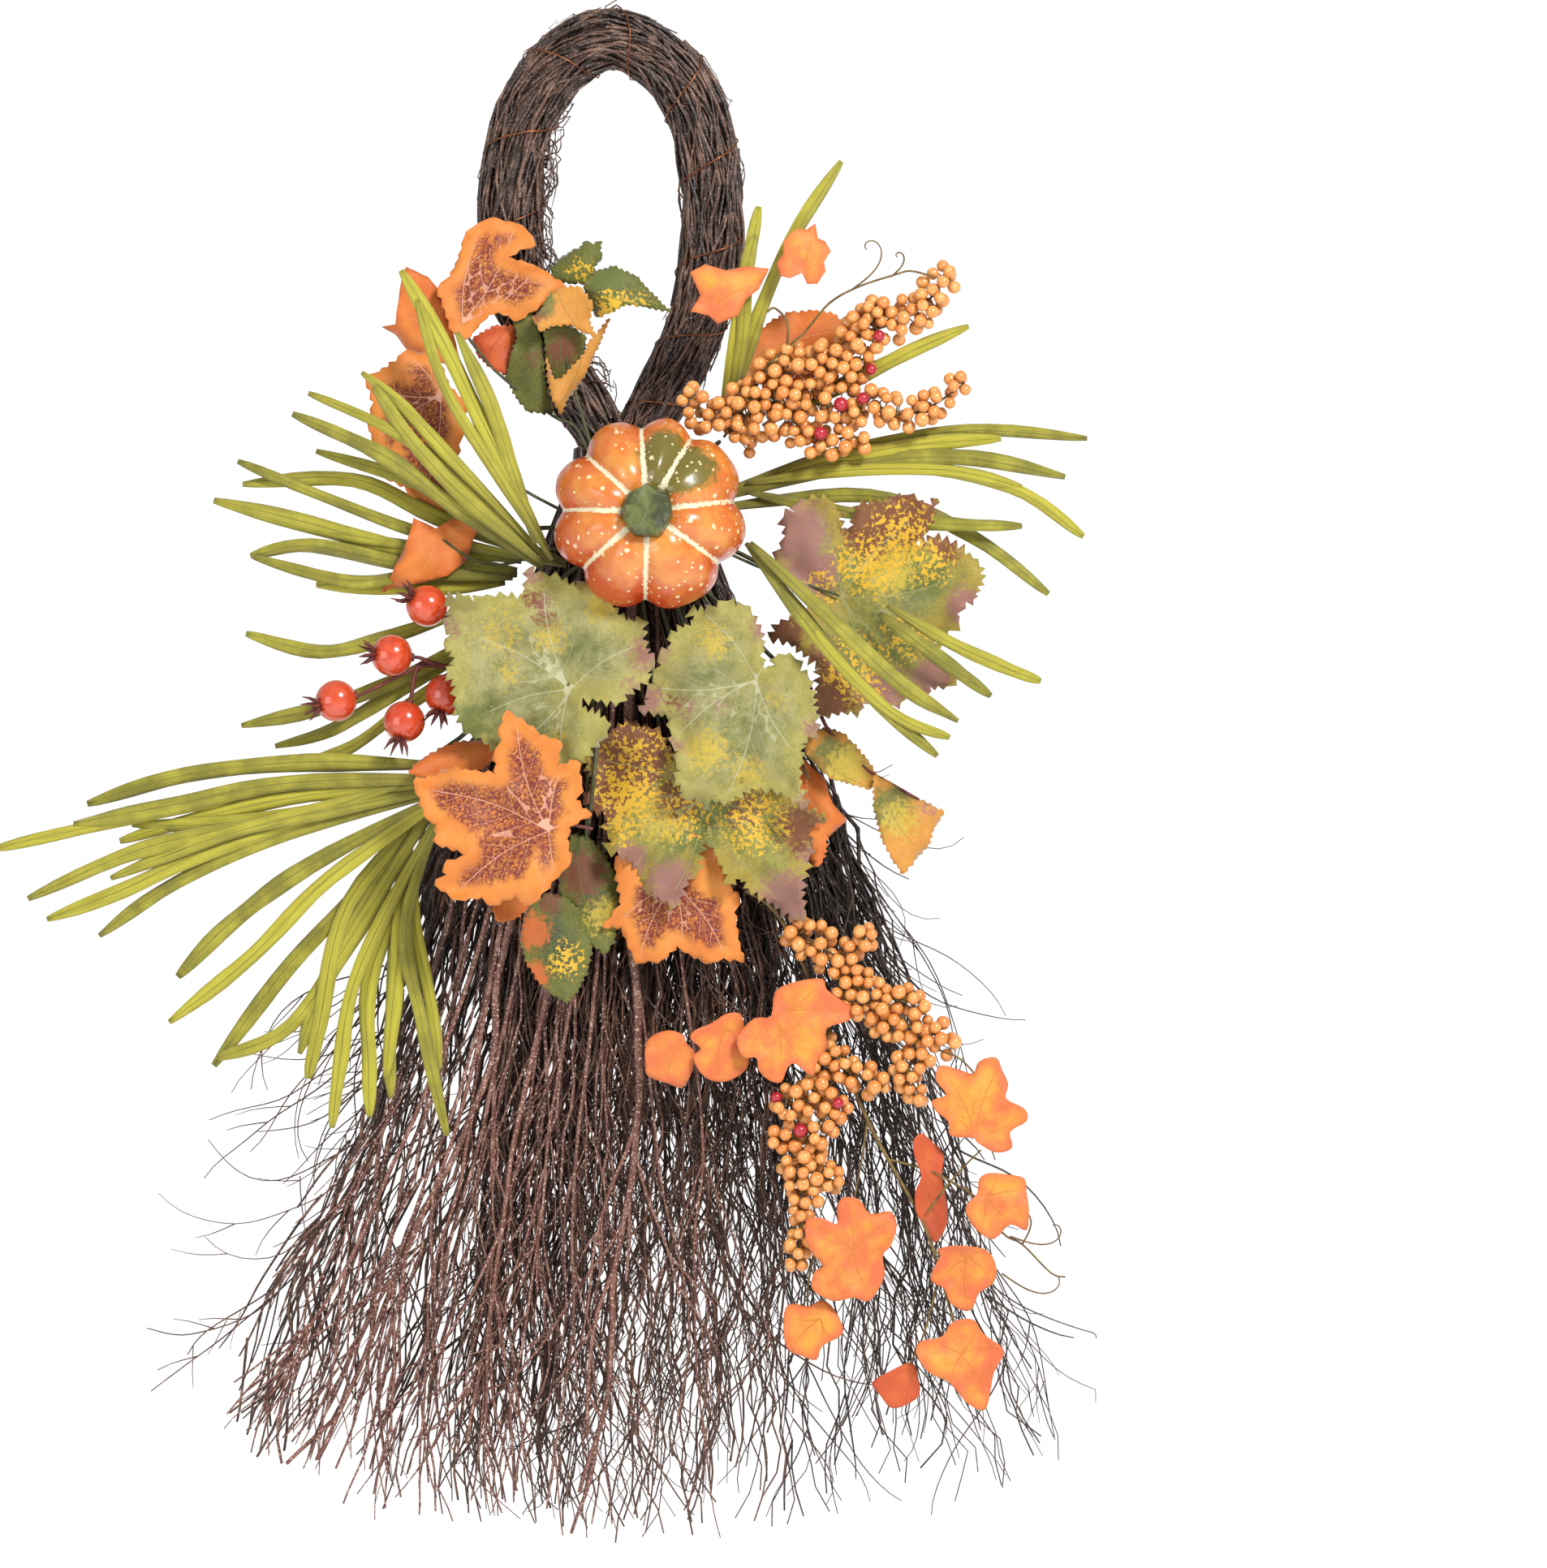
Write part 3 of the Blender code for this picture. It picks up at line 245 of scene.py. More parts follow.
def figure(tree, operation, first, second=0.0, third=None):
    """One sum on numbers or sockets."""
    made = add(tree, "ShaderNodeMath", operation=operation)
    for slot, source in enumerate((first, second, third)):
        if source is None:
            continue
        if isinstance(source, (int, float)):
            made.inputs[slot].default_value = source
        else:
            tree.links.new(source, made.inputs[slot])
    return made.outputs[0]


def ramp(tree, source, low, high, start=0.0, end=1.0):
    """Stretch a value from low..high onto start..end."""
    made = add(tree, "ShaderNodeMapRange", interpolation_type="SMOOTHSTEP")
    tree.links.new(source, made.inputs[0])
    made.inputs[1].default_value = low
    made.inputs[2].default_value = high
    made.inputs[3].default_value = start
    made.inputs[4].default_value = end
    return made.outputs[0]


def value_of(tree, name):
    """A number stored on the piece's points."""
    return add(tree, "ShaderNodeAttribute", attribute_name=name).outputs["Fac"]


def spots(tree, size_mm, detail=3.0, roughness=0.6, shift=0.0):
    """Cloudy noise whose blotches are about size_mm across; shift picks another part of the noise."""
    place = add(tree, "ShaderNodeTexCoord").outputs["Object"]
    scale = 1.0 / (size_mm * MM)
    mapped = add(tree, "ShaderNodeMapping",
                 {"Scale": (scale, scale, scale), "Location": (shift, shift * 0.7, shift * 1.3)},
                 {"Vector": place})
    made = add(tree, "ShaderNodeTexNoise", {"Scale": 1.0, "Detail": detail, "Roughness": roughness},
               {"Vector": mapped.outputs[0]})
    return made.outputs[0]


def cell_net(tree, size_mm, warp, warp_mm):
    """Distance to the walls of cells about size_mm across, bent by a warp of up to warp_mm."""
    place = add(tree, "ShaderNodeTexCoord").outputs["Object"]
    push = add(tree, "ShaderNodeVectorMath", {"Scale": warp_mm * MM}, {0: warp}, operation="SCALE")
    place = add(tree, "ShaderNodeVectorMath", links={0: place, 1: push.outputs[0]},
                operation="ADD").outputs[0]
    made = add(tree, "ShaderNodeTexVoronoi", {"Scale": 1.0 / (size_mm * MM), "Randomness": 1.0},
               {"Vector": place}, feature="DISTANCE_TO_EDGE")
    return made.outputs[0]


def finish_of(name, roughness=0.6, metallic=0.0, coat=0.0, sheen=0.0):
    """A new material with its shader's plain numbers set; returns material, tree and shader."""
    finish = bpy.data.materials.new(name)
    finish.use_nodes = True
    tree = finish.node_tree
    shader = tree.nodes["Principled BSDF"]
    shader.inputs["Roughness"].default_value = roughness
    shader.inputs["Metallic"].default_value = metallic
    if metallic == 0.0:
        shader.inputs["IOR"].default_value = PLASTIC_IOR
    shader.inputs["Coat Weight"].default_value = coat
    shader.inputs["Coat Roughness"].default_value = LACQUER_ROUGHNESS
    shader.inputs["Sheen Weight"].default_value = sheen
    return finish, tree, shader


def bumpy(tree, shader, height, distance_mm, strength=1.0):
    """Feed a height to the shader as bump."""
    made = add(tree, "ShaderNodeBump", {"Strength": strength, "Distance": distance_mm * MM},
               {"Height": height})
    tree.links.new(made.outputs[0], shader.inputs["Normal"])


def birch_bark(name, dark, middle, light, speckle):
    """Thin birch twigs: dull bark with painted highlight in random lighter blotches, each twig a little
    different.
    """
    finish, tree, shader = finish_of(name, 0.42)
    tone = value_of(tree, "tone")
    painted_highlight_patches = spots(tree, 9.0, 4.0, 0.65)
    base = blend_ink(tree, ramp(tree, tone, 0.0, 1.0), dark, middle)
    # the light colour, laid on in blotches, is a painted highlight
    base = blend_ink(tree, ramp(tree, painted_highlight_patches, 0.45, 0.75, 0.0, 0.75), base, light)
    pores = spots(tree, 1.1, 2.0, 0.5, shift=3.0)
    base = blend_ink(tree, ramp(tree, pores, 0.56, 0.66, 0.0, speckle), base, "DDB8A8")
    tree.links.new(base, shader.inputs["Base Color"])
    bumpy(tree, shader, spots(tree, 0.9, 3.0, 0.6), 0.25, 0.8)
    return finish


def copper_wire():
    """Lacquered copper-coloured binding wire: warm, half bright, slightly tarnished."""
    finish, tree, shader = finish_of("lacquered_copper_wire", 0.38, 1.0)
    tarnish = spots(tree, 6.0, 3.0)
    tree.links.new(blend_ink(tree, ramp(tree, tarnish, 0.4, 0.7), "B5714C", "7C4430"),
                   shader.inputs["Base Color"])
    tree.links.new(ramp(tree, tarnish, 0.3, 0.7, 0.28, 0.5), shader.inputs["Roughness"])
    return finish


def maple_print(name, middle, rim, net, vein, net_weight):
    """Printed polyester satin leaf: orange ground, a red-brown net close to pale veins."""
    finish, tree, shader = finish_of(name, 0.62, sheen=0.15)
    vein_mm = value_of(tree, "vein")
    side_mm = value_of(tree, "side")
    edge_mm = value_of(tree, "edge")
    cloud = spots(tree, 16.0, 3.0)
    fine = spots(tree, 2.6, 4.0, 0.7, shift=5.0)
    base = blend_ink(tree, ramp(tree, cloud, 0.35, 0.68), middle, rim)
    base = blend_ink(tree, ramp(tree, edge_mm, 0.0, 7.0, 0.75, 0.0), base, rim)
    reach = figure(tree, "MINIMUM", figure(tree, "MULTIPLY", vein_mm, 0.55), side_mm)
    near = ramp(tree, figure(tree, "ADD", reach, figure(tree, "MULTIPLY", fine, 8.0)), 5.2, 9.0, 1.0, 0.0)
    away = ramp(tree, edge_mm, 3.5, 9.5)
    web = ramp(tree, cell_net(tree, 2.0, spots(tree, 3.0, 2.0, shift=9.0), 1.6), 0.03, 0.16, 1.0, 0.0)
    grain = ramp(tree, spots(tree, 1.5, 3.0, 0.7, shift=6.0), 0.40, 0.56, 0.15, 1.0)
    mesh_ink = figure(tree, "MAXIMUM", web, grain)
    weight = figure(tree, "MULTIPLY", figure(tree, "MULTIPLY", near, away), mesh_ink)
    weight = figure(tree, "MULTIPLY", weight, net_weight)
    base = blend_ink(tree, weight, base, net)
    line = figure(tree, "MAXIMUM", ramp(tree, vein_mm, 0.05, 0.38, 0.9, 0.0),
                  ramp(tree, side_mm, 0.0, 0.25, 0.6, 0.0))
    base = blend_ink(tree, figure(tree, "MULTIPLY", line, ramp(tree, edge_mm, 1.0, 8.0)), base, vein)
    weave = spots(tree, 0.6, 1.0)
    base = blend_ink(tree, 0.12, base, add_grey(tree, weave), "OVERLAY")
    tree.links.new(base, shader.inputs["Base Color"])
    height = figure(tree, "ADD", figure(tree, "MULTIPLY", line, -0.8), figure(tree, "MULTIPLY", weave, 0.35))
    bumpy(tree, shader, height, 0.35, 0.6)
    return finish


def add_grey(tree, source):
    """A number as a grey colour."""
    made = add(tree, "ShaderNodeCombineColor", links={0: source, 1: source, 2: source})
    return made.outputs[0]


def vine_print(name, ground, light, vein, yellowed):
    """Printed polyester grape leaf: green ground clouded yellow, painted blots, pale veins."""
    finish, tree, shader = finish_of(name, 0.66, sheen=0.2)
    vein_mm = value_of(tree, "vein")
    side_mm = value_of(tree, "side")
    cloud = spots(tree, 9.0, 5.0, 0.7)
    fine = spots(tree, 2.4, 4.0, 0.7, shift=4.0)
    broad = spots(tree, 7.0, 4.0, 0.65, shift=8.0)
    fleck = spots(tree, 2.1, 2.0, 0.6, shift=2.0)
    base = blend_ink(tree, ramp(tree, cloud, 0.36, 0.62), ground, light)
    edge_mm = value_of(tree, "edge")
    base = blend_ink(tree, ramp(tree, edge_mm, 1.0, 16.0, 0.6, 0.0), base, yellowed)
    grain = spots(tree, 1.1, 3.0, 0.7, shift=6.0)
    base = blend_ink(tree, ramp(tree, grain, 0.52, 0.64, 0.0, 0.5), base, yellowed)
    base = blend_ink(tree, ramp(tree, grain, 0.34, 0.46, 0.45, 0.0), base, ground)
    for blot, colour, grain, rough in (("green", "66702A", broad, 1.3), ("yellow", "CDB23A", fine, 2.0),
                                       ("mauve", "9E6A62", fine, 1.5), ("brown", "7A3C1E", fine, 1.9),
                                       ("orange", "D66A26", fine, 1.8), ("bright", "EBB91E", fleck, 4.2)):
        weight = value_of(tree, blot)
        grainy = figure(tree, "MULTIPLY", figure(tree, "SUBTRACT", grain, 0.5), rough)
        soft = 0.10 if blot == "bright" else 0.24
        shown = ramp(tree, figure(tree, "ADD", weight, grainy), 0.46 - soft, 0.46 + soft, 0.0, 0.92)
        shown = figure(tree, "MULTIPLY", shown, ramp(tree, weight, 0.02, 0.16))
        base = blend_ink(tree, shown, base, colour)
    line = figure(tree, "MAXIMUM", ramp(tree, vein_mm, 0.05, 0.42, 0.75, 0.0),
                  ramp(tree, side_mm, 0.0, 0.28, 0.4, 0.0))
    base = blend_ink(tree, line, base, vein)
    dust = spots(tree, 0.7, 2.0)
    base = blend_ink(tree, 0.2, base, add_grey(tree, dust), "OVERLAY")
    tree.links.new(base, shader.inputs["Base Color"])
    height = figure(tree, "ADD", figure(tree, "MULTIPLY", line, 0.9), figure(tree, "MULTIPLY", dust, 0.4))
    bumpy(tree, shader, height, 0.35, 0.6)
    return finish


def crinkled_grass():
    """Dyed paper-like polyester grass: olive, clouded yellow, fibres along each blade, with painted shade
    along each blade's fold and at its root.
    """
    finish, tree, shader = finish_of("crinkled_grass_fabric", 0.6, sheen=0.1)
    tone = value_of(tree, "tone")
    across = value_of(tree, "across")
    run = value_of(tree, "run")
    patch = spots(tree, 14.0, 3.0)
    base = blend_ink(tree, ramp(tree, tone, 0.0, 1.0), "8E8820", "CCC232")
    base = blend_ink(tree, ramp(tree, patch, 0.35, 0.7, 0.0, 0.6), base, "D2C93C")
    # painted shade along each blade's fold line
    base = blend_ink(tree, ramp(tree, across, 0.0, 0.16, 0.6, 0.0), base, "6B661C")
    # painted shade at the root of each blade
    base = blend_ink(tree, ramp(tree, run, 0.0, 0.35, 0.55, 0.0), base, "625C1A")
    wave = add(tree, "ShaderNodeTexNoise", {"Scale": 1.0, "Detail": 3.0}, noise_dimensions="2D")
    pair = add(tree, "ShaderNodeCombineXYZ")
    tree.links.new(figure(tree, "MULTIPLY", across, 16.0), pair.inputs[0])
    tree.links.new(figure(tree, "MULTIPLY_ADD", run, 5.0, figure(tree, "MULTIPLY", tone, 40.0)),
                   pair.inputs[1])
    tree.links.new(pair.outputs[0], wave.inputs["Vector"])
    streak = wave.outputs[0]
    base = blend_ink(tree, ramp(tree, streak, 0.5, 0.72, 0.0, 0.45), base, "706A1C")
    tree.links.new(base, shader.inputs["Base Color"])
    bumpy(tree, shader, streak, 0.5, 0.8)
    return finish


def painted_foam():
    """Lacquered foam pumpkin: sprayed orange, red-orange towards the rim that is partly its paint and partly
    painted shade, cream grooves and dots, a green shoulder.
    """
    finish, tree, shader = finish_of("lacquered_foam_pumpkin", 0.3, coat=0.5)
    groove = value_of(tree, "groove")
    rim = value_of(tree, "rim")
    green = value_of(tree, "green")
    cloud = spots(tree, 12.0, 3.0)
    base = blend_ink(tree, ramp(tree, cloud, 0.35, 0.68), "E67A2A", "F29C40")
    # red-orange towards the rim: partly the pumpkin's own paint, partly painted shade, heavier on the lower
    # left and between the lobes
    red = figure(tree, "ADD", rim, figure(tree, "MULTIPLY_ADD", spots(tree, 6.0, 4.0, shift=2.0), 0.9, -0.45))
    base = blend_ink(tree, ramp(tree, red, 0.25, 1.05, 0.0, 0.95), base, "D0421A")
    patch = figure(tree, "ADD", green, figure(tree, "MULTIPLY_ADD", spots(tree, 4.0, 4.0), 1.1, -0.55))
    base = blend_ink(tree, ramp(tree, patch, 0.2, 0.62, 0.0, 0.95), base, "6E6A1C")
    stroke = figure(tree, "ADD", groove, figure(tree, "MULTIPLY_ADD", spots(tree, 1.8, 3.0), 1.3, -0.65))
    base = blend_ink(tree, ramp(tree, stroke, 0.36, 0.56), base, "FFF0C8")
    dot = None
    for size, share in ((3.4, 0.57), (6.0, 0.66)):
        place = add(tree, "ShaderNodeTexCoord").outputs["Object"]
        grid = add(tree, "ShaderNodeTexVoronoi", {"Scale": 1.0 / (size * MM)}, {"Vector": place},
                   feature="F1")
        pick = add(tree, "ShaderNodeSeparateColor", links={0: grid.outputs["Color"]})
        chosen = figure(tree, "ADD", pick.outputs[0], figure(tree, "MULTIPLY", green, 0.45))
        round_dot = ramp(tree, grid.outputs["Distance"], 0.16, 0.24, 1.0, 0.0)
        this = figure(tree, "MULTIPLY", round_dot, ramp(tree, chosen, share, share + 0.04))
        dot = this if dot is None else figure(tree, "MAXIMUM", dot, this)
    base = blend_ink(tree, dot, base, "FFE9B8")
    tree.links.new(base, shader.inputs["Base Color"])
    height = figure(tree, "ADD", spots(tree, 1.2, 2.0), figure(tree, "MULTIPLY", dot, 0.8))
    bumpy(tree, shader, height, 0.2, 0.35)
    return finish


def foam_stem():
    """Carved and painted foam stem, green clouded with a darker green that is painted shade for its hollows.
    """
    finish, tree, shader = finish_of("painted_foam_stem", 0.45, coat=0.2)
    cloud = spots(tree, 7.0, 4.0)
    # the darker green clouds are painted shade
    base = blend_ink(tree, ramp(tree, cloud, 0.38, 0.62), "39411A", "6A7334")
    tree.links.new(base, shader.inputs["Base Color"])
    bumpy(tree, shader, spots(tree, 2.2, 2.0), 0.3, 0.4)
    return finish


def berry_lacquer(name, pale, deep, red, roughness, coat):
    """Lacquered foam beads, orange to red by tone, clouded pale and deep; on the berries the pale clouds are
    a painted highlight.
    """
    finish, tree, shader = finish_of(name, roughness, coat=coat)
    tone = value_of(tree, "tone")
    cloud = spots(tree, 3.0, 2.0)
    # on the berries the pale clouds are a painted highlight
    base = blend_ink(tree, ramp(tree, cloud, 0.35, 0.7), pale, deep)
    base = blend_ink(tree, ramp(tree, tone, 0.3, 0.7, 0.0, 0.7), base, deep)
    base = blend_ink(tree, ramp(tree, tone, 0.85, 0.95), base, red)
    tree.links.new(base, shader.inputs["Base Color"])
    bumpy(tree, shader, spots(tree, 0.8, 2.0), 0.08, 0.4)
    return finish


def stem_tape(name, first, second):
    """Wire wound with floral tape or moulded plastic stem."""
    finish, tree, shader = finish_of(name, 0.6)
    tree.links.new(blend_ink(tree, ramp(tree, spots(tree, 4.0, 3.0), 0.35, 0.65), first, second),
                   shader.inputs["Base Color"])
    bumpy(tree, shader, spots(tree, 1.0, 2.0), 0.2, 0.6)
    return finish


# the third colour of each bark is its painted highlight, laid on in blotches
BARK_DARK = birch_bark("birch_twigs_dark", "1C1412", "3C2A24", "6E5244", 0.3)
BARK_LOOP = birch_bark("birch_twigs_loop", "1E1512", "624436", "9A7662", 0.3)
BARK_BROWN = birch_bark("birch_twigs_brown", "24150F", "5E3A2A", "966A50", 0.35)
BARK_RED = birch_bark("birch_branches_red", "462620", "7C4A3C", "B08474", 1.0)
COPPER = copper_wire()
MAPLE = maple_print("maple_leaf_satin", "F0983A", "E8842A", "7C2416", "F4B498", 1.0)
MAPLE_PLAIN = maple_print("maple_leaf_satin_back", "EC8A30", "E0701E", "C4521C", "EE9A4C", 0.3)
MAPLE_SMALL = maple_print("small_leaf_satin", "F8A834", "E8703C", "E88A30", "D87A20", 0.3)
MAPLE_DARK = maple_print("small_leaf_satin_deep", "E2702A", "D4521C", "C04A18", "B8481A", 0.3)
OLIVE_ORANGE = vine_print("variegated_leaf_satin_orange", "C9802E", "E09438", "A88838", "DC9A34")
VINE_LIGHT = vine_print("grape_leaf_satin_light", "7E7E44", "A4A06A", "CCCAA4", "B8AC48")
VINE_MIXED = vine_print("grape_leaf_satin_mixed", "6E7230", "94923C", "A4A468", "BC9C2C")
VARIEGATED = vine_print("variegated_leaf_satin", "1E2610", "46521C", "66702C", "80801F")
GRASS = crinkled_grass()
PUMPKIN = painted_foam()
PUMPKIN_STEM = foam_stem()
BERRY = berry_lacquer("berry_bead_lacquer", "FFB868", "F49446", "C01E34", 0.28, 0.35)
HIP = berry_lacquer("rose_hip_lacquer", "E85A2C", "D8421E", "B03A24", 0.22, 0.6)
HIP_STEM = stem_tape("hip_stem_plastic", "5E2420", "7E3A2C")
GREEN_TAPE = stem_tape("floral_tape_green", "3E4424", "5A5C30")
TENDRIL = stem_tape("tendril_wire_olive", "64481E", "8A6E34")


# ---------------------------------------------------------------- birch twigs
# the loop's middle line, sideways and up (mm)
LOOP_LINE = [(3, -214), (-4, -190), (-18, -166), (-34, -142), (-48, -114), (-53, -86), (-53, -54),
             (-46, -22), (-28, 4), (-4, 15), (20, 4), (36, -18), (43, -46), (45, -78), (41, -110),
             (32, -138), (20, -162), (8, -184), (3, -210)]
SKIRT_TOP = -187.0     # where the twigs leave the binding (mm)
LOOP_CORE = 0.0120     # radius of the dark middle that the twigs are laid round, metres
LOOP_RADIUS = 0.0150   # out to the outermost twigs
LOOP_TWIGS = 330
LOOP_SHOOTS = 150
WIRE_TURNS = 12
# height, left edge, right edge and half depth of the twigs, going down
LEFT_FAN = [(-196, -22, 0, 12), (-290, -52, -12, 18), (-366, -84, -14, 20), (-446, -112, -14, 19),
            (-526, -140, -22, 17), (-606, -172, -34, 15), (-684, -196, -44, 12), (-706, -196, -44, 11)]
CENTRE_FAN = [(-196, -8, 12, 13), (-290, -24, 34, 19), (-366, -40, 58, 22), (-446, -50, 70, 22),
              (-526, -58, 74, 20), (-606, -64, 74, 17), (-686, -68, 72, 13), (-726, -66, 68, 10)]
RIGHT_FAN = [(-196, 10, 26, 12), (-290, 32, 64, 18), (-366, 58, 104, 19), (-446, 70, 132, 18),
             (-526, 84, 160, 16), (-606, 90, 178, 13), (-684, 90, 206, 10), (-712, 88, 206, 9)]


def station(fan, z):
    """Middle, half width and half depth of a fan of twigs at a height."""
    for above, below in zip(fan[:-1], fan[1:]):
        if z >= below[0]:
            share = min(1.0, max(0.0, (above[0] - z) / (above[0] - below[0])))
            left = above[1] + (below[1] - above[1]) * share
            right = above[2] + (below[2] - above[2]) * share
            return (left + right) / 2.0, (right - left) / 2.0, above[3] + (below[3] - above[3]) * share
    last = fan[-1]
    return (last[1] + last[2]) / 2.0, (last[2] - last[1]) / 2.0, last[3]


def sway(seed, place, size):
    """A smooth uneven value between about -1 and 1."""
    return noise.noise(Vector((seed * 7.31 + 0.5, place / size, seed * 1.7))) * 1.7


def smooth_mm(corners, steps):
    """Points (mm) of a smooth line through corners in millimetres."""
    return [tuple(point / MM) for point in smooth_line([Vector(corner) * MM for corner in corners], steps)]


def wander(start, heading, length, turn, pull_to, pull, curl=0.0):
    """Points (mm) of a twig that wanders off along a heading, drawn back to pull_to, curling at its end."""
    step, deep, size = 7.0, 0.25, 26.0   # length of a step (mm), sway in depth, and length of a bend (mm)
    seed = chance.uniform(0.0, 900.0)
    spin = chance.choice((-1.0, 1.0))
    x, y, z = start
    points = [(x, y, z)]
    count = max(3, int(length / step))
    for index in range(count):
        share = (index + 1.0) / count
        heading += turn * sway(seed, index * step, size) * step / 10.0
        heading += (pull_to - heading) * pull * step / 10.0
        heading += spin * curl * share ** 3 * step
        side = deep * sway(seed + 31.0, index * step, size * 1.4)
        x += math.cos(math.radians(heading)) * step
        z += math.sin(math.radians(heading)) * step
        y += side * step * 0.6
        points.append((x, y, z))
    return points


def as_strand(points, thick, tip=0.55, tone=0.5):
    """Millimetre points as a strand that thins towards its tip."""
    count = len(points)
    radii = [thick * MM * (1.0 - (1.0 - tip) * (i / (count - 1.0)) ** 1.3) for i in range(count)]
    return [Vector(point) * MM for point in points], radii, tone


def fan_strand(fan, across, deep, end_z, drift, crook, start_z=SKIRT_TOP, step=12.0):
    """Points (mm) of a twig that runs down inside a fan; across and deep are shares of its half size."""
    seed = chance.uniform(0.0, 900.0)
    count = max(4, int((start_z - end_z) / step))
    points = []
    for index in range(count + 1):
        share = index / count
        z = start_z + (end_z - start_z) * share
        middle, half, depth = station(fan, z)
        place = across + drift * share + 0.16 * share * sway(seed, z, 90.0)
        place = max(-1.05, min(1.05, place))
        x = middle + half * place + crook * (0.3 + share) * sway(seed + 5.0, z, 44.0)
        x += 0.45 * crook * (0.3 + share) * sway(seed + 2.0, z, 17.0)
        y = depth * deep + 0.6 * crook * sway(seed + 9.0, z, 34.0)
        points.append((x, max(-depth - 2.0, min(depth + 2.0, y)), z))
    return points


def heading_at(points, index):
    """Heading in the front plane of a line at one of its points."""
    a = points[max(index - 1, 0)]
    b = points[min(index + 1, len(points) - 1)]
    return math.degrees(math.atan2(b[2] - a[2], b[0] - a[0]))


def offshoots(parent, count, span, thick, tone, fork=26.0, curl=0.9, first=0.35):
    """Side twigs that leave a twig and bend back towards its own heading."""
    made = []
    for _ in range(count):
        index = int(chance.uniform(first, 0.94) * (len(parent) - 1))
        base = heading_at(parent, index)
        side = chance.choice((-1.0, 1.0)) * chance.uniform(0.6, 1.3) * fork
        length = chance.uniform(*span)
        points = wander(parent[index], base + side, length, 9.0, base, 0.05, curl)
        made.append(as_strand(points, thick * chance.uniform(0.75, 1.1), 0.5, tone))
    return made


def birch_fan(fan, count, thick, ends, shoots, span, curl, tones, crook):
    """A fan of main twigs with their side twigs."""
    made = []
    for _ in range(count):
        across = chance.uniform(-1.0, 1.0)
        across = math.copysign(abs(across) ** 0.9, across)
        deep = chance.uniform(-1.0, 1.0)
        end_z = chance.uniform(*ends)
        points = fan_strand(fan, across, deep, end_z, chance.uniform(-0.8, 0.8), crook)
        tone = chance.uniform(*tones)
        size = chance.uniform(*thick)
        made.append(as_strand(points, size, 0.42, tone))
        made += offshoots(points, shoots, span, max(0.4, size * 0.6), min(1.0, tone + 0.1), curl=curl)
    return made


def keep_inside(lines):
    """Pull the odd end that runs past the wreath's own box back inside it."""
    for points, _, _ in lines:
        for point in points:
            for axis in range(3):
                point[axis] = max(BOX_LOW[axis], min(BOX_HIGH[axis], point[axis]))
    return lines


def loop_squeeze(centre):
    """How much of its full thickness the loop has at a point of its middle line: less at the neck."""
    return 0.80 + 0.20 * min(1.0, max(0.0, (centre.z / MM + 185.0) / 70.0))


def round_loop(centre, side, angle, reach):
    """A point at an angle round the middle line of the loop."""
    return centre + (side * math.cos(angle) + FRONT * math.sin(angle)) * reach


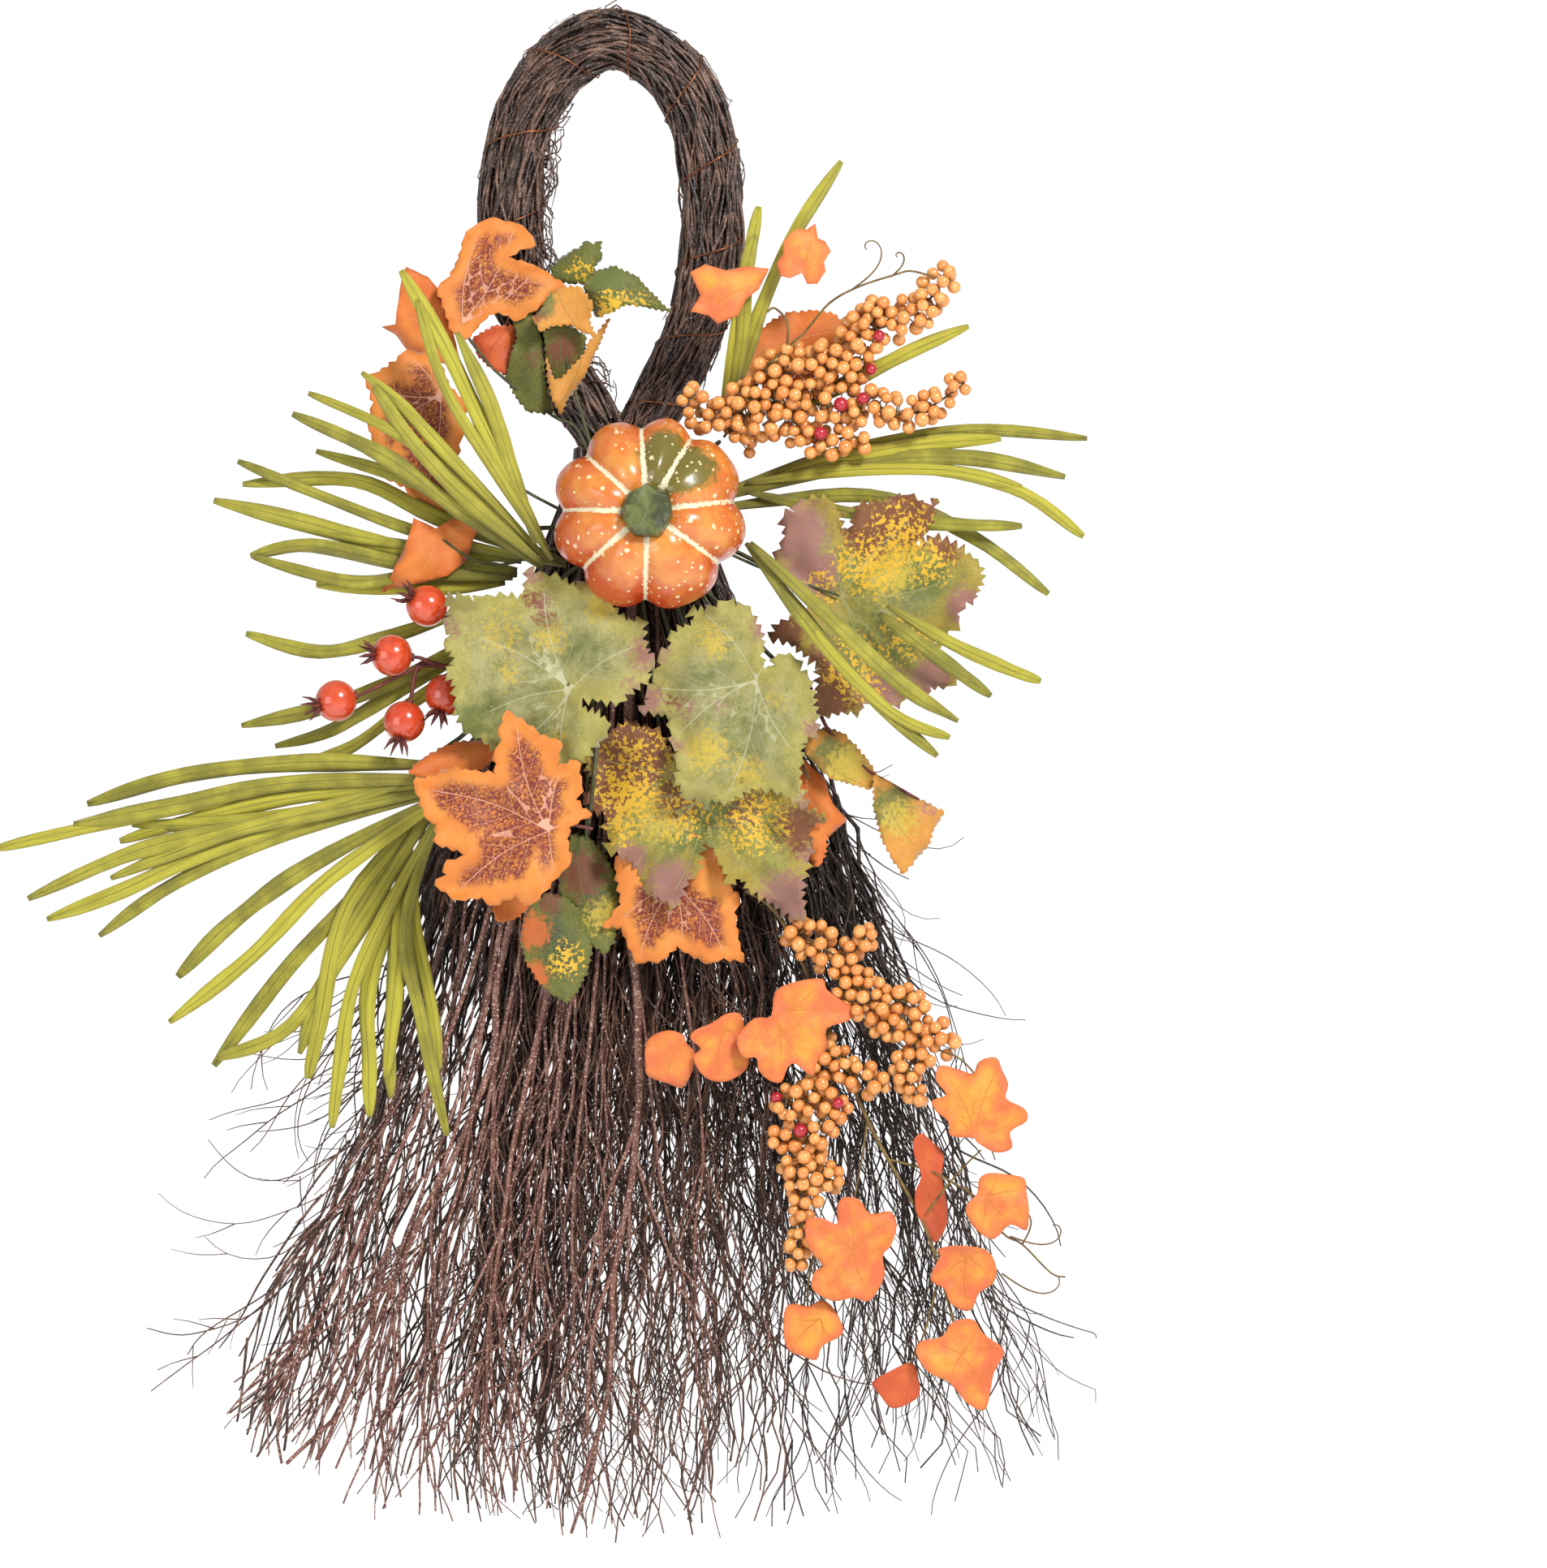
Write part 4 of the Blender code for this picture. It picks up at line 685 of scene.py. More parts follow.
def make_loop():
    """The hanging loop: birch twigs laid along and round each other, with loose ends."""
    line = smooth_line([(x * MM, 0.0, z * MM) for x, z in LOOP_LINE], 8)
    run = [0.0]
    for a, b in zip(line[:-1], line[1:]):
        run.append(run[-1] + (b - a).length)
    total = run[-1]

    def at(place):
        place = max(0.0, min(total - 1e-6, place))
        near = max(i for i in range(len(run) - 1) if run[i] <= place)
        share = (place - run[near]) / (run[near + 1] - run[near])
        centre = line[near].lerp(line[near + 1], share)
        along = (line[near + 1] - line[near]).normalized()
        return centre, along, along.cross(Vector((0.0, 1.0, 0.0))).normalized()

    core = [at(total * i / 40.0)[0] for i in range(41)]
    made = [(core, [LOOP_CORE * loop_squeeze(point) for point in core], 0.0)]
    for number in range(LOOP_TWIGS):
        length = chance.uniform(0.09, 0.26)
        start = chance.uniform(-0.05, total - 0.03)
        end = min(total, start + length)
        start = max(0.0, start)
        if end - start < 0.04:
            continue
        reach = LOOP_RADIUS * chance.uniform(0.76, 1.0)
        turn = chance.uniform(0.0, math.tau)
        twist = chance.uniform(-16.0, 22.0)
        seed = chance.uniform(0.0, 900.0)
        count = int((end - start) / 0.009) + 3
        points = []
        for index in range(count):
            place = start + (end - start) * index / (count - 1)
            centre, along, side = at(place)
            angle = turn + twist * (place - start) + 0.30 * sway(seed, place / MM, 30.0)
            out = (reach + 0.0018 * sway(seed + 3.0, place / MM, 22.0)) * loop_squeeze(centre)
            last = max(0.0, index - (count - 3)) / 2.0
            out += 0.0022 * last * max(0.0, sway(seed + 7.0, 1.0, 1.0))
            points.append(round_loop(centre, side, angle, out))
        thick = chance.uniform(0.0006, 0.00135)
        radii = [thick * (1.0 - 0.5 * (i / (count - 1.0)) ** 3) for i in range(count)]
        made.append((points, radii, chance.random() ** 1.4))
    for number in range(LOOP_SHOOTS):
        inner = number % 3 == 0   # a third of the loose ends stand into the opening, on its left
        place = chance.uniform(0.02, 0.99) * total
        if inner:
            place = chance.uniform(0.10, 0.40) * total
        centre, along, side = at(place)
        angle = chance.uniform(0.0, math.tau)
        if inner:
            angle = math.pi + chance.uniform(-0.7, 0.7)
        away = side * math.cos(angle) + FRONT * math.sin(angle)
        seed = chance.uniform(0.0, 900.0)
        way = chance.choice((-1.0, 1.0))
        points = []
        count = 8
        for index in range(count):
            share = index / (count - 1.0)
            out = 0.0128 * loop_squeeze(centre) + (0.0085 if inner else 0.0040) * math.sin(share * 2.6)
            swing = 0.0018 * sway(seed, share * 30.0, 10.0)
            points.append(centre + away * out + along * way * share * chance.uniform(0.010, 0.024)
                          + side * swing)
        thick = 0.00052 if inner else 0.00042
        radii = [thick * (1.0 - 0.5 * i / (count - 1.0)) for i in range(count)]
        made.append((points, radii, chance.uniform(0.1, 0.8)))
    thing = strands("loop_twigs", made)
    return dress(thing, BARK_LOOP, CORE, ("handle_loop",))


def make_bindings():
    """Thin copper-coloured wire wound round the loop and the neck."""
    line = smooth_line([(x * MM, 0.0, z * MM) for x, z in LOOP_LINE], 8)
    count = len(line)
    turns = []
    for index in range(WIRE_TURNS + 1):
        turns.append(0.05 + 0.90 * (index + 0.3 * sway(3.0, index * 9.0, 10.0)) / WIRE_TURNS)
    points = []
    steps = WIRE_TURNS * 14
    for index in range(steps + 1):
        share = index / steps
        place = turns[0] + (turns[-1] - turns[0]) * share
        spot = min(count - 2, int(place * (count - 1)))
        along = (line[spot + 1] - line[spot]).normalized()
        centre = line[spot].lerp(line[spot + 1], place * (count - 1) - spot)
        side = along.cross(Vector((0.0, 1.0, 0.0))).normalized()
        reach = (0.0163 + 0.0007 * sway(2.0, index * 3.0, 10.0)) * loop_squeeze(centre)
        points.append(round_loop(centre, side, share * WIRE_TURNS * math.tau, reach))
    wire = strands("loop_wire", [(points, [0.00042] * len(points), 0.5)])
    dress(wire, COPPER, CORE, ("loop_binding_wire",))
    points = []
    for index in range(61):
        turn = math.tau * index / 20.0
        points.append(Vector((0.002 + 0.0275 * math.cos(turn), 0.0178 * math.sin(turn),
                              -0.2035 - 0.0165 * index / 60.0)))
    wire = strands("neck_wire", [(points, [0.0006] * len(points), 0.5)])
    dress(wire, COPPER, CORE, ("neck_binding_wire",))


# the skirt's lower edge, sideways and up (mm)
HEM = [(-240, -668), (-205, -652), (-186, -676), (-164, -694), (-130, -708), (-60, -718), (0, -726),
       (70, -724), (110, -722), (170, -716), (200, -700), (230, -680)]


def hem_at(x):
    """Height of the skirt's lower edge (mm)."""
    for (x1, z1), (x2, z2) in zip(HEM[:-1], HEM[1:]):
        if x <= x2:
            return z1 + (z2 - z1) * max(0.0, (x - x1) / (x2 - x1))
    return HEM[-1][1]


def trim(lines):
    """Cut every strand off where it runs out of the skirt's outline."""
    made = []
    for points, radii, tone in lines:
        slack = chance.uniform(-6.0, 16.0) * chance.uniform(0.4, 1.0)
        side = chance.uniform(0.0, 16.0)
        keep = len(points)
        for index, point in enumerate(points):
            x, z = point[0] / MM, point[2] / MM
            edge = -84.0 + (z + 400.0) * 0.48 + side   # the left side slopes out from under the grass
            if z < hem_at(x) + slack or (z < -420.0 and x < edge - 6.0):
                keep = index
                break
        if keep >= 4:
            made.append((points[:keep], radii[:keep], tone))
    return made


def make_skirt():
    """The broom skirt: three fans of birch twigs, fine and dark behind, browner in the middle, round a core
    of thick, nearly black strands that is painted shade among the twigs.
    """
    left = trim(birch_fan(LEFT_FAN, count=62, thick=(0.8, 1.5), ends=(-730, -640), shoots=3, span=(30, 100),
                          curl=0.35, tones=(0.0, 1.0), crook=5.0))
    left += trim(birch_fan(LEFT_FAN, count=36, thick=(0.5, 0.85), ends=(-660, -520), shoots=3, span=(25, 80),
                           curl=2.0, tones=(0.0, 0.4), crook=7.0))
    for number in range(46):
        start = (chance.uniform(-132, -96), chance.uniform(0, 14), chance.uniform(-560, -430))
        points = wander(start, chance.uniform(205, 258), chance.uniform(40, 120), 13.0, 238.0, 0.03,
                        chance.uniform(0.2, 1.4))
        left.append(as_strand(points, chance.uniform(0.34, 0.55), 0.5, chance.uniform(0.0, 0.3)))
        if number % 3 == 0:
            left += offshoots(points, count=2, span=(14, 34), thick=0.36, tone=0.1, first=0.3, curl=1.4)
    for corners in ([(-118, 6, -530), (-150, 8, -574), (-176, 8, -610), (-212, 6, -624), (-234, 4, -621)],
                    [(-124, 6, -548), (-156, 8, -590), (-192, 8, -622), (-216, 6, -640), (-232, 4, -652)],
                    [(-150, 8, -574), (-170, 6, -600), (-204, 4, -622), (-214, 4, -634)]):
        points = smooth_mm(corners, 6)
        left.append(as_strand(points, 0.5, 0.6, 0.05))
        left += offshoots(points, count=2, span=(14, 30), thick=0.34, tone=0.05, first=0.6, curl=1.0)
    thing = strands("skirt_twigs_left", keep_inside(left))
    dress(thing, BARK_BROWN, CORE, ("broom_left",))

    # a core of thick, nearly black strands behind the fans: it stands for the twigs deep inside and is
    # painted shade in the skirt's depth
    inner = []
    for fan, count, low_end in ((LEFT_FAN, 54, -500), (CENTRE_FAN, 130, -600), (RIGHT_FAN, 44, -480)):
        for _ in range(count):
            points = fan_strand(fan, chance.uniform(-0.9, 0.95), chance.uniform(-0.2, 0.8),
                                chance.uniform(low_end, -400), chance.uniform(-1.3, 1.3), 8.0, step=16.0)
            inner.append(as_strand(points, chance.uniform(1.2, 2.2), 0.3, chance.uniform(0.0, 0.4)))
    for fan, count, low_end in ((LEFT_FAN, 44, -470), (CENTRE_FAN, 60, -520), (RIGHT_FAN, 30, -460)):
        for _ in range(count):
            points = fan_strand(fan, chance.uniform(-0.8, 0.85), chance.uniform(0.0, 0.6),
                                chance.uniform(low_end, low_end + 70.0), chance.uniform(-0.5, 0.5), 7.0,
                                step=16.0)
            inner.append(as_strand(points, chance.uniform(2.4, 3.6), 0.25, 0.0))
    dress(strands("skirt_twigs_inner_and_shade", inner, 0), BARK_DARK, CORE, ())

    centre = trim(birch_fan(CENTRE_FAN, count=105, thick=(0.65, 1.25), ends=(-740, -660), shoots=3,
                            span=(24, 90), curl=1.0, tones=(0.0, 1.0), crook=7.0))
    centre += trim(birch_fan(CENTRE_FAN, count=120, thick=(0.42, 0.7), ends=(-730, -540), shoots=4,
                             span=(16, 56), curl=4.4, tones=(0.2, 1.0), crook=10.0))
    thing = strands("skirt_twigs_centre", keep_inside(centre))
    dress(thing, BARK_BROWN, CORE, ("broom_centre",))

    right = trim(birch_fan(RIGHT_FAN, count=64, thick=(0.55, 1.05), ends=(-730, -620), shoots=3,
                           span=(30, 100), curl=1.2, tones=(0.0, 0.8), crook=8.0))
    right += trim(birch_fan(RIGHT_FAN, count=46, thick=(0.42, 0.65), ends=(-690, -480), shoots=3,
                            span=(24, 80), curl=2.8, tones=(0.0, 0.6), crook=11.0))
    for corners in ([(104, 4, -366), (130, 4, -410), (152, 4, -440), (164, 2, -470), (172, 2, -500)],
                    [(112, 6, -388), (140, 6, -424), (160, 4, -460), (166, 4, -496)],
                    [(170, 4, -560), (190, 4, -604), (206, 2, -640), (214, 2, -676)],
                    [(176, 6, -580), (198, 4, -610), (206, 2, -630), (211, 2, -660)]):
        points = smooth_mm(corners, 6)
        right.append(as_strand(points, 0.42, 0.6, 0.1))
        right += offshoots(points, count=2, span=(14, 34), thick=0.34, tone=0.1, first=0.4, curl=1.0)
    thing = strands("skirt_twigs_right", keep_inside(right))
    dress(thing, BARK_DARK, CORE, ("broom_right",))


# corners, sideways and up, and thickness (mm)
RED_BRANCHES = [
    ([(-22, -262), (-44, -380), (-60, -446), (-66, -500), (-98, -566), (-128, -640), (-150, -684)], 2.5),
    ([(6, -262), (3, -400), (9, -470), (8, -530), (-2, -590), (-6, -650), (-20, -700)], 2.6),
    ([(-16, -280), (-30, -420), (-50, -520), (-62, -600), (-76, -676)], 1.9),
    ([(-34, -290), (-74, -446), (-112, -540), (-150, -616), (-184, -650)], 1.6),
    ([(12, -270), (30, -430), (40, -520), (36, -600), (44, -690)], 1.0),
    ([(-30, -290), (-62, -440), (-84, -530), (-120, -610), (-164, -672)], 1.5),
    ([(-8, -280), (-18, -420), (-34, -520), (-44, -610), (-60, -690)], 1.2),
    ([(-2, -270), (-10, -430), (-22, -540), (-24, -620), (-36, -708)], 1.3),
    ([(-40, -300), (-82, -450), (-126, -540), (-160, -590), (-192, -622)], 1.0),
    ([(-28, -300), (-52, -450), (-78, -560), (-100, -640), (-120, -694)], 1.4),
    ([(-34, -300), (-66, -460), (-100, -560), (-136, -640), (-172, -690)], 1.2)]


def make_red_branches():
    """Reddish branches down the front of the skirt, forked and speckled with pale pores."""
    made = []
    for number, (corners, thick) in enumerate(RED_BRANCHES):
        places = []
        for x, z in corners:
            fan = LEFT_FAN if x < -30 else CENTRE_FAN
            depth = station(fan, z)[2]
            places.append(Vector((x, -depth - 3.0 - 0.9 * (number % 4), z)) * MM)
        points = [tuple(p / MM) for p in smooth_line(places, 5)]
        crooked = []
        for index, (x, y, z) in enumerate(points):
            crooked.append((x + 1.3 * sway(number * 3.0, index * 9.0, 22.0), y, z))
        made.append(as_strand(crooked, thick, 0.4, 0.3 + 0.06 * number))
        shoots = offshoots(crooked, count=6, span=(40, 120), thick=thick * 0.5, tone=0.6, fork=17.0,
                           curl=0.12, first=0.42)
        made += shoots
        for points_m, _, _ in shoots[:4]:
            again = [tuple(p / MM) for p in points_m]
            made += offshoots(again, count=3, span=(18, 50), thick=thick * 0.34, tone=0.8, fork=22.0,
                              curl=0.5, first=0.3)
    for number in range(20):
        fan = CENTRE_FAN if number % 4 == 0 else LEFT_FAN
        across = chance.uniform(-1.0, 0.3) if fan is CENTRE_FAN else chance.uniform(-0.85, 1.0)
        points = fan_strand(fan, across, -1.0 - 0.1 * (number % 3), chance.uniform(-730, -650),
                            chance.uniform(-0.25, 0.25), 5.0, chance.uniform(-430, -300))
        thick = chance.uniform(0.7, 1.3)
        made.append(as_strand(points, thick, 0.55, chance.uniform(0.0, 1.0)))
        made += offshoots(points, count=3, span=(40, 120), thick=thick * 0.62, tone=0.5, fork=17.0, curl=0.1,
                          first=0.35)
    long_twig = [(4, -26, -420), (12, -26, -470), (20, -27, -545), (31, -26, -593), (34, -24, -626),
                 (28, -22, -664)]
    made.append(as_strand(smooth_mm(long_twig, 6), 0.9, 0.6, 1.0))
    thing = strands("skirt_branches_red", keep_inside(trim(made)))
    names = ["red_branch_%d" % number for number in range(1, 6)]
    dress(thing, BARK_RED, CORE, names)


# ---------------------------------------------------------------- leaves
def distance_to_lines(places, lines):
    """Distance (mm) of every place to the nearest of many straight pieces, as a list."""
    spot = np.array(places, dtype=float)
    best = np.full(len(spot), 1e6)
    for a, b in lines:
        start = np.array(a)
        way = np.array(b) - start
        size = float(way @ way) or 1e-9
        share = np.clip(((spot - start) @ way) / size, 0.0, 1.0)
        gap = np.linalg.norm(spot - (start + share[:, None] * way), axis=1)
        best = np.minimum(best, gap)
    return best.tolist()


def inside(point, rim):
    """Whether a point lies inside a closed outline."""
    x, z = point
    hit = False
    for (x1, z1), (x2, z2) in zip(rim, rim[1:] + rim[:1]):
        if (z1 > z) != (z2 > z) and x < (x2 - x1) * (z - z1) / (z2 - z1) + x1:
            hit = not hit
    return hit


def cut_rim(outline, tooth, pitch, seed):
    """The outline with its long sides cut into small teeth."""
    made = []
    count = len(outline)
    for index in range(count):
        a = Vector(outline[index])
        b = Vector(outline[(index + 1) % count])
        way = b - a
        pieces = max(1, int(round(way.length / pitch)) * 2 if tooth else int(way.length / pitch))
        out = Vector((way.y, -way.x)).normalized()
        for step in range(pieces):
            point = a + way * (step / pieces)
            if step:
                push = tooth if step % 2 else -0.25 * tooth
                push *= 1.0 + 0.6 * sway(seed, index * 5.0 + step, 1.3)
                point += way * (0.35 / pieces) * (1.0 if tooth and step % 2 else 0.0)
                point += out * (push + 0.18 * sway(seed, index * 11.0 + step * 3.0, 4.0))
            made.append((point.x, point.y))
    return made


def rounded(outline):
    """The outline drawn as a smooth closed curve through its corners."""
    steps = 3   # pieces from one corner to the next
    count = len(outline)
    made = []
    for index in range(count):
        before, start, end, after = (Vector(outline[(index + shift) % count]) for shift in (-1, 0, 1, 2))
        for step in range(steps):
            share = step / steps
            pull = start * 2.0 + (end - before) * share
            pull += (before * 2.0 - start * 5.0 + end * 4.0 - after) * share ** 2
            pull += (start * 3.0 - before - end * 3.0 + after) * share ** 3
            made.append((pull.x / 2.0, pull.y / 2.0))
    return made


VEIN_BOW = 0.06    # how far a main vein bends aside, as a share of its length
SIDE_STEP = 2.6    # length of one piece of a side vein (mm)


def vein_paths(veins, rim):
    """Main and side veins (mm) of a leaf whose hub is the origin; veins are (heading, length)."""
    mains = []
    sides = []
    for number, (heading, length) in enumerate(veins):
        way = Vector((math.cos(math.radians(heading)), math.sin(math.radians(heading))))
        left = Vector((-way.y, way.x))
        bend = VEIN_BOW * length * (1 if number % 2 else -1)
        path = []
        steps = max(4, int(length / 3.0))
        for step in range(steps + 1):
            share = step / steps
            path.append(way * length * share + left * bend * math.sin(share * math.pi))
        path = [(p.x, p.y) for p in path if inside((p.x, p.y), rim) or p.length < 0.1]
        mains.append(path)
        for index in range(3, len(path) - 1, 3):
            for way_out in (-1.0, 1.0):
                here = Vector(path[index])
                out = (way + left * way_out * 0.95).normalized()
                reach = length * 0.42 * (1.0 - 0.55 * index / len(path))
                branch = [(here.x, here.y)]
                for step in range(1, int(reach / SIDE_STEP) + 1):
                    spot = here + out * step * SIDE_STEP + way * 0.012 * (step * SIDE_STEP) ** 2
                    if not inside((spot.x, spot.y), rim):
                        break
                    branch.append((spot.x, spot.y))
                if len(branch) > 2:
                    sides.append(branch[:-1])
    return mains, sides


FAR_AWAY = [((1e4, 1e4), (1e4, 1e4 + 1))]   # stands in for veins where a leaf has none
ROW_PITCH = 0.87                            # height of a row of equal triangles of side one


def segments(paths):
    """Every straight piece of some paths."""
    return [(a, b) for path in paths for a, b in zip(path[:-1], path[1:])]


def leaf(name, outline, hub, veins, shape, finish, body, nodes=(), slot="maple_fabric", dabs=None,
         tooth=0.0, pitch=2.6, spacing=2.6):
    """A cut and pressed fabric leaf.  outline: mm from the hub (x right, z up); hub: mm;
    shape: depth of the hub, lean in x, lean in z, cup, wave, puff, curl of the rim."""
    seed = len(name) * 3.7 + sum(ord(c) for c in name) % 97
    area = sum(a[0] * b[1] - b[0] * a[1] for a, b in zip(outline, outline[1:] + outline[:1]))
    if area < 0.0:
        outline = outline[::-1]
    rim = cut_rim(outline, tooth, pitch, seed)
    mains, sides = vein_paths(veins, rim)
    places = [Vector(p) for p in rim]
    edges = []
    for path in mains + sides:
        start = len(places)
        places += [Vector(p) for p in path]
        edges += [(start + i, start + i + 1) for i in range(len(path) - 1)]
    low = Vector((min(p[0] for p in rim), min(p[1] for p in rim)))
    high = Vector((max(p[0] for p in rim), max(p[1] for p in rim)))
    fill = []
    rows = int((high.y - low.y) / (spacing * ROW_PITCH))
    for row in range(rows + 1):
        for column in range(int((high.x - low.x) / spacing) + 1):
            jog = 0.3 * spacing * sway(seed, row * 7.0 + column, 1.3)
            spot = (low.x + (column + 0.5 * (row % 2)) * spacing + jog, low.y + row * spacing * ROW_PITCH)
            if inside(spot, rim):
                fill.append(spot)
    if fill:
        rim_gap = distance_to_lines(fill, segments([rim + rim[:1]]))
        vein_gap = distance_to_lines(fill, segments(mains + sides) or FAR_AWAY)
        places += [Vector(p) for p, a, b in zip(fill, rim_gap, vein_gap) if a > 0.8 and b > 0.8]
    flat, _, faces = geometry.delaunay_2d_cdt(places, edges, [list(range(len(rim)))], 1, 0.01)[:3]
    spots_2d = [(p.x, p.y) for p in flat]
    vein_mm = distance_to_lines(spots_2d, segments(mains))
    side_mm = distance_to_lines(spots_2d, segments(sides) or FAR_AWAY)
    edge_mm = distance_to_lines(spots_2d, segments([rim + rim[:1]]))
    depth, lean_x, lean_z, cup, wave, puff, curl = shape
    size = max(high.x - low.x, high.y - low.y) / 2.0
    points = []
    for (x, z), vein, edge in zip(spots_2d, vein_mm, edge_mm):
        reach = math.hypot(x, z) / size
        y = depth + lean_x * x + lean_z * z + cup * reach * reach
        y += wave * noise.noise(Vector((x / 26.0 + seed, z / 26.0, seed * 0.3)))
        y -= puff * (1.0 - math.exp(-(vein / 7.0) ** 2))
        rim_share = max(0.0, 1.0 - edge / 9.0)
        y += curl * rim_share * rim_share * (0.35 + noise.noise(Vector((x / 13.0 + seed, z / 13.0,
                                                                        4.0))) * 2.0)
        points.append(Vector((hub[0] + x, y, hub[1] + z)) * MM)
    thing = piece_from(name, points, [tuple(face) for face in faces])
    put_values(thing, "vein", vein_mm)
    put_values(thing, "side", side_mm)
    put_values(thing, "edge", edge_mm)
    for blot, marks in (dabs or {}).items():
        weights = []
        for x, z in spots_2d:
            best = 0.0
            for mark_x, mark_z, radius, strength in marks:
                share = max(0.0, 1.0 - math.hypot(x - mark_x, z - mark_z) / radius)
                best = max(best, strength * share * share * (3.0 - 2.0 * share))
            weights.append(best)
        put_values(thing, blot, weights)
    all_smooth(thing)
    thicken(thing)
    return dress(thing, finish, body, nodes)


# outlines as places from each leaf's hub, sideways and up (mm)
GRAPE_LEFT = [(24, -6), (30, 1), (38, 5), (37, 8), (41, 13), (37, 17), (36, 20), (35, 34), (27, 33),
              (23, 36), (19, 44), (12, 47), (8, 52), (3, 49), (-4, 53), (-10, 55), (-14, 54), (-20, 59),
              (-22, 49), (-21, 44), (-30, 45), (-36, 45), (-42, 45), (-46, 42), (-51, 45), (-60, 44),
              (-57, 36), (-61, 31), (-57, 27), (-61, 22), (-57, 19), (-55, 12), (-59, 8), (-55, 2),
              (-55, -9), (-52, -16), (-48, -21), (-39, -26), (-32, -32), (-15, -34), (-3, -36), (7, -32),
              (14, -25), (18, -20), (18, -15), (12, -12), (6, -9), (2, -4)]
GRAPE_RIGHT = [(7, 4), (9, 11), (14, 12), (19, 10), (21, 4), (25, 0), (27, -9), (28, -16), (29, -25),
               (21, -31), (22, -38), (20, -48), (24, -62), (12, -54), (2, -52), (-7, -54), (-14, -59),
               (-30, -57), (-36, -57), (-35, -54), (-39, -48), (-36, -44), (-39, -39), (-37, -34),
               (-41, -31), (-39, -26), (-42, -24), (-41, -18), (-48, -16), (-57, -15), (-51, -9), (-53, -5),
               (-48, -2), (-50, 2), (-46, 7), (-47, 13), (-42, 14), (-42, 22), (-35, 25), (-29, 28),
               (-32, 34), (-25, 33), (-19, 35), (-14, 38), (-10, 35), (-6, 36), (-2, 31), (2, 23), (3, 16),
               (1, 7)]
GRAPE_BOTTOM = [(-48, -25), (-44, -18), (-48, -16), (-47, -7), (-54, -6), (-59, 0), (-53, 7), (-56, 13),
                (-59, 20), (-51, 26), (-43, 34), (-36, 36), (-31, 34), (-26, 33), (-21, 29), (-16, 22),
                (-13, 17), (0, 12), (27, 8), (59, -11), (49, -14), (52, -23), (48, -28), (50, -31),
                (46, -45), (49, -58), (44, -59), (33, -51), (21, -44), (18, -38), (12, -42), (6, -29),
                (1, -20), (-2, -23), (-4, -36), (-9, -40), (-14, -53), (-23, -48), (-29, -45), (-31, -38),
                (-38, -28)]
GRAPE_UPPER = [(-32, 10), (-30, 15), (-32, 19), (-29, 24), (-27, 30), (-28, 39), (-22, 41), (-21, 46),
               (-16, 47), (-10, 47), (-6, 47), (-2, 42), (0, 34), (1, 31), (5, 32), (6, 39), (9, 45),
               (17, 46), (24, 47), (26, 49), (30, 47), (33, 50), (37, 47), (40, 43), (47, 48), (44, 39),
               (40, 30), (34, 24), (45, 29), (53, 26), (64, 19), (67, 15), (68, 8), (65, 2), (64, -1),
               (57, -4), (57, -12), (52, -16), (44, -17), (50, -31), (56, -39), (51, -43), (43, -43),
               (41, -48), (31, -46), (29, -51), (25, -52), (13, -49), (9, -55), (-9, -57), (-13, -54),
               (-10, -34), (-22, -23), (-35, -19), (-30, -13), (-17, -7), (-7, -5)]
MAPLE_LOW_LEFT = [(-20, 58), (-24, 47), (-22, 44), (-26, 38), (-25, 27), (-37, 29), (-46, 30), (-54, 27),
                  (-65, 24), (-62, 16), (-59, 6), (-54, 3), (-54, -6), (-39, -11), (-50, -16), (-49, -21),
                  (-55, -26), (-44, -33), (-32, -32), (-28, -36), (-16, -31), (-9, -36), (-3, -30),
                  (11, -15), (9, -4), (10, 2), (21, 8), (16, 11), (13, 15), (16, 22), (14, 34), (4, 31),
                  (6, 43), (-4, 46), (-10, 51)]
MAPLE_LOW_CENTRE = [(-35, -21), (-26, -10), (-29, 11), (-20, 20), (0, 26), (18, 22), (26, 0), (32, -7),
                    (29, -14), (31, -27), (34, -38), (24, -36), (16, -39), (7, -34), (1, -30), (-6, -37),
                    (-19, -39), (-26, -21)]
MAPLE_UPPER = [(14, 52), (21, 50), (27, 49), (33, 44), (36, 38), (28, 36), (22, 32), (32, 29), (40, 26),
               (51, 18), (43, 12), (38, 8), (27, 1), (17, 6), (13, 4), (5, -5), (0, -9), (-5, -4), (-12, 17),
               (-6, 23), (-2, 32), (1, 42), (6, 48)]
MAPLE_UPPER_BACK = [(-17, 29), (-6, 24), (-1, 18), (7, -6), (11, -22), (-5, -16), (-16, -12), (-22, -4),
                    (-29, 0), (-22, 1), (-20, 18)]
MAPLE_SIDE = [(-17, 23), (-5, 20), (0, 15), (4, 4), (14, -4), (10, -11), (11, -17), (7, -31), (5, -54),
              (7, -64), (2, -66), (-8, -54), (-14, -49), (-18, -44), (-28, -40), (-33, -23), (-36, -14),
              (-33, -3), (-37, 8), (-30, 12), (-22, 17)]
MAPLE_SIDE_LOW = [(-11, 7), (0, 2), (12, 10), (23, 8), (18, -3), (14, -14), (6, -21), (-9, -25), (-27, -29),
                  (-22, -21), (-16, -9), (-13, -1)]
MAPLE_RIGHT = [(-14, 15), (-2, 18), (8, 8), (12, -4), (19, -12), (10, -20), (4, -32), (-6, -26), (-16, -20),
               (-12, -4)]
